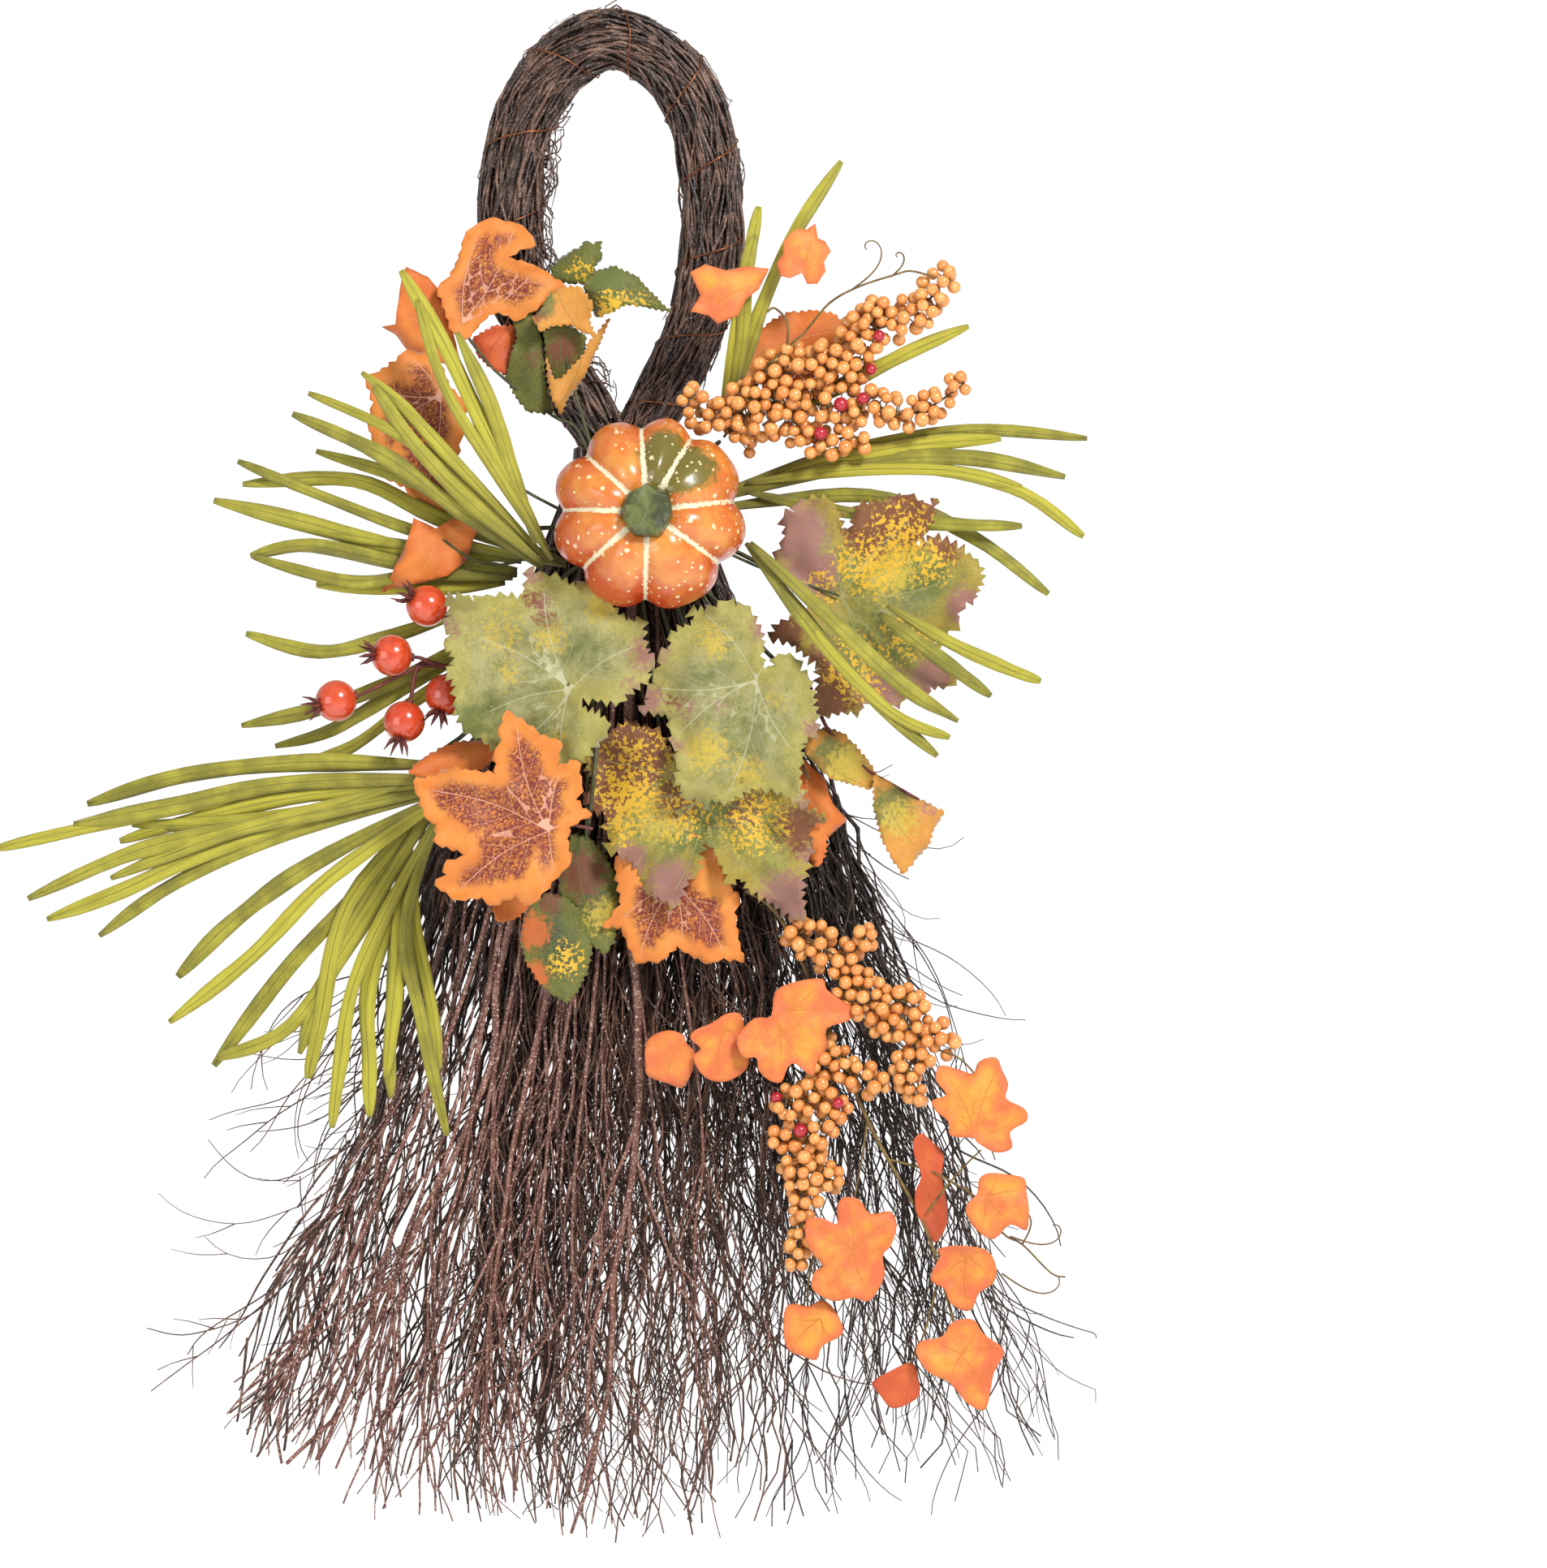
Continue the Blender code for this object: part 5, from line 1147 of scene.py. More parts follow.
# outlines of size one, the tip up
OVATE = [(0, -0.5), (0.16, -0.42), (0.25, -0.28), (0.31, -0.1), (0.29, 0.08), (0.22, 0.26), (0.12, 0.4),
         (0, 0.5), (-0.12, 0.4), (-0.22, 0.26), (-0.29, 0.08), (-0.31, -0.1), (-0.25, -0.28),
         (-0.16, -0.42)]
ROUND_LOBES = [(0.04, 0.0), (0.2, -0.14), (0.4, -0.1), (0.5, 0.1), (0.42, 0.22), (0.5, 0.4), (0.34, 0.52),
               (0.18, 0.54), (0.06, 0.74), (-0.08, 0.62), (-0.26, 0.6), (-0.38, 0.5), (-0.48, 0.36),
               (-0.42, 0.2), (-0.5, 0.04), (-0.36, -0.12), (-0.16, -0.12)]


def from_hub(outline, hub):
    """An outline given in the wreath's own millimetres, as places from the leaf's hub."""
    return [(x - hub[0], z - hub[1]) for x, z in outline]


def turned(outline, heading, length, width):
    """A unit outline (y up) scaled in mm and turned so that up points along the heading."""
    a = math.radians(heading - 90.0)
    made = []
    for x, y in outline:
        x *= width
        y *= length
        made.append((x * math.cos(a) - y * math.sin(a), x * math.sin(a) + y * math.cos(a)))
    return made


def ovate(name, middle, heading, length, width, finish, nodes, slot, depth, lean_z=0.0, dabs=None):
    """A toothed oval leaf folded a little along its middle; dabs are placed from that middle."""
    outline = turned(OVATE, heading, length, width / 0.62)
    way = Vector((math.cos(math.radians(heading)), math.sin(math.radians(heading))))
    base = -way * length * 0.48
    shifted = [(x - base.x, y - base.y) for x, y in outline]
    hub = (middle[0] + base.x, middle[1] + base.y)
    form = (depth, 0.0, lean_z, -1.5, 3.0, -3.0, 2.0)
    marks = {}
    for blot, places in (dabs or {}).items():
        marks[blot] = [(x - base.x, z - base.y, radius, strength) for x, z, radius, strength in places]
    return leaf(name, shifted, hub, [(heading, length * 0.94)], form, finish, CORE, nodes, slot, marks,
                1.0, 3.4, 2.4)


# name, CAD node, hub, shape, finish, veins, dabs and outline, in mm
CLUSTER_LEAVES = [
    ("variegated_leaf_up", "variegated_leaf_1", (-26, -106), (-24, 0.0, 0.1, 1.0, 5.0, -3.0, 3.0), VARIEGATED,
     [(50, 24)], {"bright": [(6, 6, 10, 0.5)]},
     [(-34, -100), (-29, -94), (-24, -91), (-20, -90), (-17, -86), (-13, -88), (-9, -86), (-10, -91),
      (-9, -95), (-13, -99), (-13, -103), (-17, -107), (-24, -107), (-32, -105)]),
    ("variegated_leaf_out", "variegated_leaf_2", (-17, -110), (-28, -0.1, 0.25, 1.0, 4.0, -4.0, 3.0),
     VARIEGATED,
     [(-12, 42)], {"bright": [(14, -10, 14, 0.8), (26, -10, 12, 0.6)], "green": [(12, 4, 16, 0.9)],
                   "mauve": [(8, -14, 9, 0.6)]},
     [(-17, -107), (-11, -101), (-3, -99), (8, -104), (17, -114), (25, -122), (13, -119), (3, -118),
      (-4, -122), (-11, -124), (-15, -118), (-17, -111)]),
    ("variegated_leaf_turned", "variegated_leaf_3", (-30, -112), (-33, 0.15, -0.1, -3.0, 4.0, 1.0, 3.0),
     OLIVE_ORANGE,
     [(-60, 22)], {"green": [(-8, -4, 14, 1.0)], "brown": [(-10, -12, 12, 0.6)]},
     [(-37, -119), (-34, -114), (-28, -110), (-19, -110), (-13, -119), (-15, -126), (-12, -134), (-17, -132),
      (-24, -128), (-34, -129), (-38, -132), (-42, -126)]),
    ("variegated_leaf_dark", "variegated_leaf_4", (-46, -124), (-26, 0.1, 0.0, 1.0, 4.0, -2.0, 3.0),
     VARIEGATED,
     [(-75, 44)], {"brown": [(4, -20, 12, 0.5)]},
     [(-52, -127), (-44, -120), (-41, -128), (-38, -136), (-37, -155), (-33, -171), (-45, -170), (-50, -164),
      (-56, -154), (-53, -142), (-50, -134)]),
    ("variegated_leaf_hollow", "", (-28, -130), (-27, 0.2, 0.0, 2.0, 2.0, -1.0, 0.0), VARIEGATED,
     [(-90, 22)], {"brown": [(0, -10, 16, 0.8)]},
     [(-37, -131), (-26, -128), (-17, -133), (-18, -142), (-25, -154), (-32, -155), (-36, -144)]),
    ("variegated_leaf_rim", "", (-29, -166), (-32, 0.3, 0.1, 0.0, 3.0, -2.0, 3.0), OLIVE_ORANGE,
     [(70, 40)], {"mauve": [(-4, 16, 8, 0.6)]},
     [(-36, -144), (-32, -155), (-28, -154), (-17, -142), (-15, -136), (-5, -124), (-11, -138), (-17, -152),
      (-25, -163), (-29, -172), (-33, -163), (-35, -154)]),
    ("maple_leaf_scrap_upper", "", (-56, -130), (-21, 0.2, 0.0, 1.0, 3.0, 1.0, 3.0), MAPLE_DARK,
     [(-120, 20)], None,
     [(-72, -134), (-61, -128), (-52, -128), (-50, -136), (-53, -143), (-56, -152), (-64, -148),
      (-70, -142)])]


# tooth, pitch of the teeth and spacing of the points inside the leaf (mm)
NO_TEETH = (0.0, 2.6, 2.6)
SMALL_TEETH = (0.8, 3.2, 2.2)
GRAPE_TEETH = (2.5, 4.4, 2.3)
# CAD node, outline, hub, shape, finish, slot, (tooth, pitch, spacing), veins and dabs, in mm; the piece is
# named after its node
BIG_LEAVES = [
    ("grape_leaf_left", GRAPE_LEFT, (-23, -307), (-72, 0.03, 0.03, 5.0, 10.0, 4.0, -5.0), VINE_LIGHT,
     "grape_fabric", GRAPE_TEETH, [(150, 50), (105, 50), (135, 26), (35, 36), (195, 40), (225, 38),
                                   (262, 30)],
     {"yellow": [(-34, 26, 26, 0.5), (-10, 26, 18, 0.6), (14, 40, 16, 0.6), (-30, 8, 14, 0.5),
                 (-4, -24, 14, 0.5)],
      "mauve": [(38, 18, 20, 0.7), (-20, 56, 14, 0.7), (-58, 30, 14, 0.55), (-14, 42, 12, 0.6),
                (30, 2, 12, 0.5)],
      "brown": [(-18, 44, 12, 0.6), (-12, 34, 12, 0.6)], "green": [(-44, -14, 26, 0.7), (6, 20, 20, 0.5)]}),
    ("grape_leaf_right", GRAPE_RIGHT, (67, -302), (-65, 0.02, -0.02, 5.0, 10.0, 4.0, -5.0), VINE_LIGHT,
     "grape_fabric", GRAPE_TEETH, [(128, 40), (185, 46), (215, 46), (256, 56), (296, 36), (60, 10)],
     {"yellow": [(-24, -34, 22, 0.7), (-20, 18, 18, 0.6), (-4, -44, 18, 0.6), (10, -10, 12, 0.5)],
      "mauve": [(-54, -10, 18, 0.75), (28, -24, 14, 0.6), (22, -60, 12, 0.6), (-44, 12, 14, 0.5),
                (6, 26, 16, 0.9), (-34, -14, 16, 0.5), (-40, -32, 14, 0.55), (-18, -12, 12, 0.42)],
      "brown": [(-40, -10, 10, 0.5)], "green": [(-10, -24, 20, 0.5), (-26, 2, 16, 0.45)]}),
    ("grape_leaf_bottom", GRAPE_BOTTOM, (42, -359), (-47, 0.0, 0.03, 3.0, 6.0, 4.0, -4.0), VINE_MIXED,
     "grape_mixed_fabric", GRAPE_TEETH, [(160, 52), (195, 46), (225, 50), (252, 48), (305, 60), (335, 46)],
     {"brown": [(-36, 22, 34, 1.2), (-50, 2, 26, 1.1), (-12, 0, 24, 0.8), (20, -6, 20, 0.7),
                (46, -14, 22, 0.9)],
      "bright": [(-36, 2, 26, 0.75), (-34, 22, 26, 0.42), (-10, -8, 22, 0.5), (24, -12, 24, 0.62),
                 (-40, -14, 14, 0.6)],
      "mauve": [(-16, -42, 22, 1.0), (40, -50, 26, 1.0), (-36, -30, 16, 0.9), (50, -26, 14, 0.7)],
      "green": [(-6, -16, 26, 0.9), (10, -4, 20, 0.8)], "yellow": [(-20, -10, 26, 0.8)]}),
    ("grape_leaf_upper_right", GRAPE_UPPER, (108, -262), (-52, 0.0, 0.0, 3.0, 7.0, 3.6, -4.0), VINE_MIXED,
     "grape_mixed_fabric", GRAPE_TEETH, [(10, 56), (48, 50), (105, 40), (155, 26), (-40, 48), (-75, 46)],
     {"mauve": [(-22, 32, 30, 1.0), (-14, 12, 24, 1.0), (60, -4, 18, 0.9), (20, -46, 24, 0.9),
                (44, -38, 18, 0.9)],
      "brown": [(34, 40, 26, 1.2), (14, 34, 26, 1.1), (52, 26, 16, 0.8), (-6, -48, 26, 1.0),
                (-28, -18, 18, 1.0), (-8, -30, 18, 0.8)],
      "bright": [(12, 16, 24, 0.66), (30, 30, 24, 0.58), (8, -34, 24, 0.66), (-8, 6, 14, 0.5),
                 (44, 16, 16, 0.55), (30, -20, 18, 0.5)],
      "green": [(38, 8, 24, 0.9), (30, -20, 18, 0.7)], "yellow": [(24, 14, 26, 0.8)]}),
    ("maple_leaf_low_centre", MAPLE_LOW_CENTRE, (27, -401), (-43, 0.0, 0.03, 3.0, 6.0, 3.0, -3.0), MAPLE,
     "maple_fabric", (1.0, 6.0, 2.6), [(245, 40), (275, 34), (215, 34), (305, 44), (90, 18)], None),
    ("maple_leaf_upper", MAPLE_UPPER, (-77, -127), (-27, -0.04, 0.02, 2.0, 4.0, 1.8, -3.0), MAPLE,
     "maple_fabric", (0.9, 6.0, 2.6), [(62, 55), (80, 44), (36, 46), (12, 26)], None),
    ("maple_leaf_upper_back", MAPLE_UPPER_BACK, (-88, -128), (-23, 0.0, 0.0, 2.0, 3.0, 1.0, 5.0), MAPLE_PLAIN,
     "maple_fabric", NO_TEETH, [(110, 28), (160, 22), (290, 18)], None),
    ("maple_leaf_side", MAPLE_SIDE, (-87, -163), (-32, 0.05, 0.0, 2.0, 5.0, 1.8, 4.0), MAPLE,
     "maple_fabric", (1.0, 6.0, 2.6), [(130, 28), (175, 28), (215, 40), (258, 56), (60, 12)], None),
    ("maple_leaf_side_low", MAPLE_SIDE_LOW, (-89, -230), (-42, 0.10, 0.0, 1.0, 5.0, 1.6, 6.0), MAPLE_PLAIN,
     "maple_fabric", NO_TEETH, [(210, 34), (250, 20), (20, 20)], None),
    ("maple_leaf_right", MAPLE_RIGHT, (92, -358), (-42, 0.0, 0.0, 1.0, 4.0, 1.6, 4.0), MAPLE_PLAIN,
     "maple_fabric", NO_TEETH, [(100, 14), (290, 26), (240, 20)], None),
    ("maple_leaf_low_left", MAPLE_LOW_LEFT, (-33, -375), (-84, 0.0, 0.02, 3.0, 7.0, 3.4, -4.0), MAPLE,
     "maple_fabric", (1.1, 6.0, 2.6), [(161, 60), (107, 52), (213, 50), (75, 42), (285, 30), (20, 16)], None)]
# name, CAD node, middle, heading, length, width, depth, lean in z, finish, slot and dabs, in mm
OVATE_LEAVES = [
    ("variegated_leaf_low_near", "variegated_leaf_low_1", (-14, -406), -75, 60, 28, -38, 0.0, VARIEGATED,
     "variegated_fabric", {"yellow": [(6, -10, 18, 0.7)], "brown": [(-4, 10, 22, 0.9)]}),
    ("variegated_leaf_low_far", "variegated_leaf_low_2", (-30, -432), -80, 54, 34, -42, 0.0, VARIEGATED,
     "variegated_fabric", {"orange": [(-12, 8, 16, 1.0), (-12, -14, 14, 1.0), (-4, -30, 10, 0.8)],
                           "bright": [(4, -6, 14, 0.5)], "brown": [(-4, 22, 12, 0.8)]}),
    ("maple_leaf_fold_left", "", (-79, -341), 195, 46, 16, -58, 0.2, MAPLE_PLAIN, "maple_fabric", None),
    ("maple_leaf_scrap_low", "", (-52, -408), 240, 26, 18, -44, 0.0, MAPLE_PLAIN, "maple_fabric", None),
    ("maple_leaf_scrap_right", "", (94, -376), 280, 34, 14, -39, 0.0, MAPLE_PLAIN, "maple_fabric", None),
    ("maple_leaf_scrap_berries", "", (84, -140), 200, 60, 34, -34, 0.0, MAPLE_PLAIN, "maple_fabric", None)]


def make_leaves():
    """The big leaves bound to the neck, and the maple leaf on its own bendable stem."""
    for node, outline, hub, shape, finish, slot, cut, veins, dabs in BIG_LEAVES:
        body = "maple_low_left_pick" if node == "maple_leaf_low_left" else CORE
        leaf(node + "_fabric", outline, hub, veins, shape, finish, body, (node,), slot, dabs, *cut)
    for name, node, hub, shape, finish, veins, dabs, outline in CLUSTER_LEAVES:
        leaf(name, from_hub(outline, hub), hub, veins, shape, finish, CORE, (node,) if node else (),
             "variegated_fabric", dabs, *SMALL_TEETH)
    for name, node, middle, heading, length, width, depth, lean, finish, slot, dabs in OVATE_LEAVES:
        ovate(name, middle, heading, length, width, finish, (node,) if node else (), slot, depth, lean, dabs)


# ---------------------------------------------------------------- grass
BLADE_FOLD = 0.08                               # the fold lies just off the middle of the blade
BLADE_PLACES = (-1.0, -0.45, BLADE_FOLD, 0.55, 1.0)   # points across a blade, as shares of its half width


def blade(points, width, tone, fold, twist, number):
    """Points, faces and values of one folded, crinkled blade along a line in millimetres."""
    line = smooth_line([Vector(p) * MM for p in points], 6)
    count = len(line)
    rows = []
    values = []
    for index, point in enumerate(line):
        share = index / (count - 1.0)
        along = (line[min(index + 1, count - 1)] - line[max(index - 1, 0)]).normalized()
        flat = along.cross(FRONT).normalized()
        turn = twist * math.sin(share * 2.4 + number) + 0.35 * sway(number * 2.1, share * 20.0, 7.0)
        flat = flat * math.cos(turn) + FRONT * math.sin(turn)
        up = along.cross(flat).normalized()
        if up.y > 0.0:
            up = -up
        spread = min(1.0, 0.30 + share * 2.6) * min(1.0, 0.34 + (1.0 - share) * 3.4)
        spread *= 1.0 + 0.16 * sway(number * 1.3, share * 30.0, 6.0)
        half = width * 0.5 * MM * spread
        for step, across in enumerate(BLADE_PLACES):
            lift = fold * MM * (1.0 - abs(across)) * spread
            lift += 0.5 * MM * sway(number * 3.7 + step * 9.0, share * 40.0, 7.0)
            place = point + flat * half * across + up * lift
            rows.append(place)
            values.append((tone, share, abs(across - BLADE_FOLD)))
    faces = []
    wide = len(BLADE_PLACES)
    for index in range(count - 1):
        for step in range(wide - 1):
            a = index * wide + step
            faces.append((a, a + 1, a + wide + 1, a + wide))
    return rows, faces, values


def grass(name, blades, base_y, lift, body, nodes, width=7.5):
    """A spray of grass blades joined in one mesh; each blade is a list of (x, z) in mm from root to tip."""
    points = []
    faces = []
    values = []
    for number, corners in enumerate(blades):
        rise = lift * chance.uniform(0.5, 1.3)
        depth = base_y + chance.uniform(-4.0, 4.0)
        line = []
        for index, (x, z) in enumerate(corners):
            share = index / (len(corners) - 1.0)
            line.append((x, depth - rise * math.sin(share * 2.2), z))
        rows, quads, marks = blade(line, width * chance.uniform(0.78, 1.12), chance.random(), 1.3,
                                   chance.uniform(-0.5, 0.5), number + 3.0)
        start = len(points)
        points += rows
        faces += [tuple(start + corner for corner in quad) for quad in quads]
        values += marks
    thing = piece_from(name, points, faces)
    for index, key in enumerate(("tone", "run", "across")):
        put_values(thing, key, [mark[index] for mark in values])
    all_smooth(thing)
    thicken(thing)
    return dress(thing, GRASS, body, nodes)


def make_grass():
    """All the grass sprays."""
    grass("grass_left_blades",
          [[(-26, -244), (-70, -226), (-98, -206), (-148, -190)],
           [(-26, -246), (-90, -232), (-140, -214), (-186, -195)],
           [(-50, -248), (-98, -240), (-150, -226), (-198, -214)],
           [(-50, -250), (-100, -246), (-150, -236), (-180, -241)],
           [(-52, -252), (-96, -250), (-130, -254), (-178, -242)], [(-56, -254), (-100, -256), (-148, -255)],
           [(-50, -238), (-90, -222), (-130, -204), (-184, -206)],
           [(-60, -262), (-110, -280), (-146, -288), (-182, -279)],
           [(-50, -270), (-96, -296), (-140, -314), (-184, -324)],
           [(-60, -280), (-106, -306), (-140, -326), (-168, -334)],
           [(-56, -284), (-100, -312), (-130, -334), (-154, -342)],
           [(-48, -244), (-86, -238), (-130, -232), (-166, -224)]],
          -32, 5, CORE, ("grass_left",))
    grass("grass_low_centre_blades",
          [[(-84, -352), (-122, -400), (-160, -440), (-198, -490)],
           [(-86, -354), (-126, -420), (-160, -470), (-196, -486)],
           [(-84, -356), (-130, -420), (-148, -462), (-156, -484)],
           [(-86, -358), (-132, -410), (-146, -470), (-152, -496)],
           [(-84, -360), (-126, -440), (-136, -490), (-140, -520)],
           [(-84, -362), (-120, -440), (-122, -490), (-122, -515)],
           [(-106, -376), (-110, -430), (-112, -480), (-112, -506)],
           [(-86, -362), (-104, -420), (-96, -470), (-84, -524)],
           [(-104, -374), (-100, -420), (-92, -460), (-88, -492)], [(-106, -378), (-108, -440), (-114, -496)],
           [(-104, -370), (-118, -410), (-144, -450), (-158, -470)]],
          -28, 8, CORE, ("grass_low_centre",))
    grass("grass_right_blades",
          [[(44, -212), (112, -190), (170, -180), (228, -184)],
           [(46, -210), (130, -198), (190, -208), (226, -232)],
           [(44, -214), (120, -196), (172, -194), (217, -203)],
           [(46, -218), (122, -212), (172, -232), (209, -260)],
           [(62, -210), (108, -220), (160, -226), (196, -227)],
           [(70, -178), (110, -158), (142, -142), (170, -130)],
           [(62, -206), (110, -200), (160, -200), (196, -208)],
           [(64, -206), (100, -196), (140, -188), (186, -184)]],
          -36, 10, CORE, ("grass_right",))
    grass("grass_top_right_blades",
          [[(56, -166), (66, -130), (84, -88), (108, -50)], [(50, -176), (56, -140), (62, -104), (68, -72)],
           [(54, -170), (60, -136), (62, -104), (66, -86)]],
          -34, 26, CORE, ("grass_top_right",))
    grass("grass_low_left_blades",
          [[(-78, -344), (-150, -342), (-210, -348), (-258, -362)],
           [(-80, -348), (-180, -358), (-250, -372), (-303, -384)],
           [(-80, -350), (-160, -352), (-220, -364), (-264, -372)],
           [(-82, -352), (-150, -358), (-200, -368), (-242, -380)],
           [(-82, -354), (-164, -370), (-230, -384), (-286, -408)],
           [(-82, -354), (-180, -378), (-240, -404), (-277, -418)],
           [(-84, -356), (-160, -376), (-214, -400), (-252, -426)],
           [(-86, -358), (-150, -392), (-188, -420), (-214, -446)],
           [(-86, -360), (-140, -398), (-178, -436), (-218, -468)],
           [(-104, -352), (-150, -366), (-196, -372), (-236, -372)],
           [(-106, -358), (-150, -366), (-200, -380), (-246, -398)]],
          -46, 12, "grass_low_left_pick", ("grass_low_left",))
    grass("grass_lower_right_blades",
          [[(62, -236), (94, -278), (126, -314), (154, -339)],
           [(66, -238), (98, -284), (132, -318), (160, -330)],
           [(64, -236), (104, -274), (136, -304), (164, -322)],
           [(130, -266), (160, -284), (186, -296), (204, -303)],
           [(126, -270), (150, -288), (180, -310)]],
          -72, 12, "grass_lower_right_pick", ("grass_lower_right",))
    grass("grass_upper_left_blades",
          [[(-34, -240), (-62, -186), (-84, -140), (-105, -104)],
           [(-32, -244), (-60, -200), (-84, -160), (-97, -118)],
           [(-40, -236), (-52, -198), (-62, -168), (-78, -134)],
           [(-38, -244), (-80, -202), (-112, -180), (-150, -163)],
           [(-36, -248), (-82, -216), (-116, -192), (-158, -173)],
           [(-34, -244), (-80, -196), (-104, -170), (-124, -153)],
           [(-36, -246), (-74, -214), (-100, -186), (-118, -160)]],
          -58, 5, "grass_upper_left_pick", ("grass_upper_left",), 7.0)


# ---------------------------------------------------------------- pumpkin
GROOVES = (95, 60, 8, -35, -92, -140, 178, 137)   # degrees round the stem, seen from the front
PUMPKIN_RADIUS = 0.0475
PUMPKIN_DEPTH = 0.036     # from its middle to the front, metres
STEM_RADIUS = 0.0118
STEM_HEIGHT = 0.016
GREEN_TURN = 62.0         # where the green shoulder lies, degrees as for the grooves
FACET_ANGLE = 18.0        # edges of the stem sharper than this stay crisp


def make_pumpkin():
    """The lacquered foam pumpkin with its cream grooves, and its carved stem."""
    clear_choice()
    bpy.ops.mesh.primitive_uv_sphere_add(segments=160, ring_count=72, radius=1.0)
    ball = bpy.context.active_object
    ball.name = "pumpkin_painted"
    low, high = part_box("pumpkin_shell")
    centre = (Vector(low) + Vector(high)) / 2.0
    grooves = []
    rim_red_and_shade = []
    greens = []
    for vertex in ball.data.vertices:
        x, z, deep = vertex.co.x, vertex.co.y, vertex.co.z
        flat = math.hypot(x, z)
        turn = math.degrees(math.atan2(z, x))
        near = min(abs((turn - groove + 180.0) % 360.0 - 180.0) for groove in GROOVES)
        gap = math.radians(near) * flat
        crease = math.exp(-(math.radians(near) / 0.11) ** 2)
        lobe = math.sin(min(1.0, math.radians(near) / 0.39) * math.pi / 2.0)
        size = 1.0 - 0.10 * (1.0 - lobe) * min(1.0, flat * 1.6) - 0.03 * crease * min(1.0, flat * 2.0)
        dimple = 1.0 - 0.30 * math.exp(-(flat / 0.30) ** 2)
        swell = 1.0 - 0.20 * (1.0 - lobe) * min(1.0, flat * 1.5) * max(0.0, 1.0 - flat * 0.6)
        bump = 1.0 + 0.012 * noise.noise(Vector((x * 3.0, z * 3.0, deep * 3.0)))
        vertex.co = (centre.x + x * size * bump * PUMPKIN_RADIUS,
                     centre.y - deep * dimple * swell * PUMPKIN_DEPTH,
                     centre.z + z * size * bump * PUMPKIN_RADIUS)
        stroke = max(0.0, 1.0 - gap / (0.068 - 0.030 * flat)) * min(1.0, (flat - 0.16) * 8.0)
        grooves.append(max(0.0, stroke) if deep > -0.2 else 0.0)
        # the rim value is partly the red-orange paint of the rim and partly painted shade, heavier on the
        # lower left (below) and between the lobes (1 - lobe)
        below = 0.5 - 0.5 * math.sin(math.radians(turn) + 0.5)
        rim_red_and_shade.append(max(0.0, flat - 0.5) * 2.0 * (0.45 + 0.55 * below) + 0.25 * (1.0 - lobe) * flat)
        away = abs((turn - GREEN_TURN + 180.0) % 360.0 - 180.0)
        around = max(0.0, 1.0 - (away / 46.0) ** 2)
        greens.append(around * max(0.0, 1.0 - (abs(flat - 0.56) / 0.40) ** 2) * 1.2)
    put_values(ball, "groove", grooves)
    put_values(ball, "rim", rim_red_and_shade)
    put_values(ball, "green", greens)
    all_smooth(ball)
    face_outward(ball)
    dress(ball, PUMPKIN, CORE, ("pumpkin_shell",))

    clear_choice()
    bpy.ops.mesh.primitive_cylinder_add(vertices=7, radius=STEM_RADIUS, depth=STEM_HEIGHT,
                                        end_fill_type="TRIFAN")
    stalk = bpy.context.active_object
    stalk.name = "pumpkin_stalk"
    bpy.ops.object.mode_set(mode="EDIT")
    bpy.ops.mesh.select_all(action="SELECT")
    bpy.ops.mesh.subdivide(number_cuts=1)
    bpy.ops.object.mode_set(mode="OBJECT")
    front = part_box("pumpkin_stem")[0][1]
    for vertex in stalk.data.vertices:
        x, z, up = vertex.co.x, vertex.co.y, vertex.co.z / STEM_HEIGHT + 0.5
        turn = math.atan2(z, x)
        flare = 1.22 - 0.22 * up
        flare += 0.22 * noise.noise(Vector((math.cos(turn) * 1.7, math.sin(turn) * 1.7, up * 2.0)))
        hollow = 0.0
        if up > 0.95:
            hollow = 0.0052 * max(0.0, 0.45 + noise.noise(Vector((x * 170.0, z * 170.0, 3.0))))
        vertex.co = (centre.x + x * flare, front + 0.0165 * (1.0 - up) + hollow, centre.z + z * flare)
    edge = stalk.modifiers.new("edge", "BEVEL")
    edge.width = 0.0008
    edge.segments = 2
    edge.limit_method = "ANGLE"
    apply_step(stalk, edge)
    face_outward(stalk)
    bpy.ops.object.shade_smooth_by_angle(angle=math.radians(FACET_ANGLE))
    dress(stalk, PUMPKIN_STEM, CORE, ("pumpkin_stem",))


# ---------------------------------------------------------------- berries, hips and stems
BERRY_RADIUS = 0.0033
BERRY_GAP = 0.0060      # between the middles of two beads of the common size, metres
HIP_RADIUS = 0.0101


def bead_mesh(centres, radius):
    """Points, faces and tones of many beads; each centre comes with a size and a tone."""
    clear_choice()
    bpy.ops.mesh.primitive_ico_sphere_add(subdivisions=2, radius=1.0)
    model = bpy.context.active_object
    ball = [vertex.co.copy() for vertex in model.data.vertices]
    quads = [tuple(face.vertices) for face in model.data.polygons]
    bpy.data.objects.remove(model)
    points = []
    faces = []
    tones = []
    for centre, size, tone in centres:
        turn = Matrix.Rotation(chance.uniform(0.0, 6.0), 3, "X") @ Matrix.Rotation(chance.uniform(0.0, 6.0),
                                                                                   3, "Z")
        start = len(points)
        points += [centre + turn @ corner * size * radius for corner in ball]
        faces += [tuple(start + corner for corner in quad) for quad in quads]
        tones += [tone] * len(ball)
    return points, faces, tones


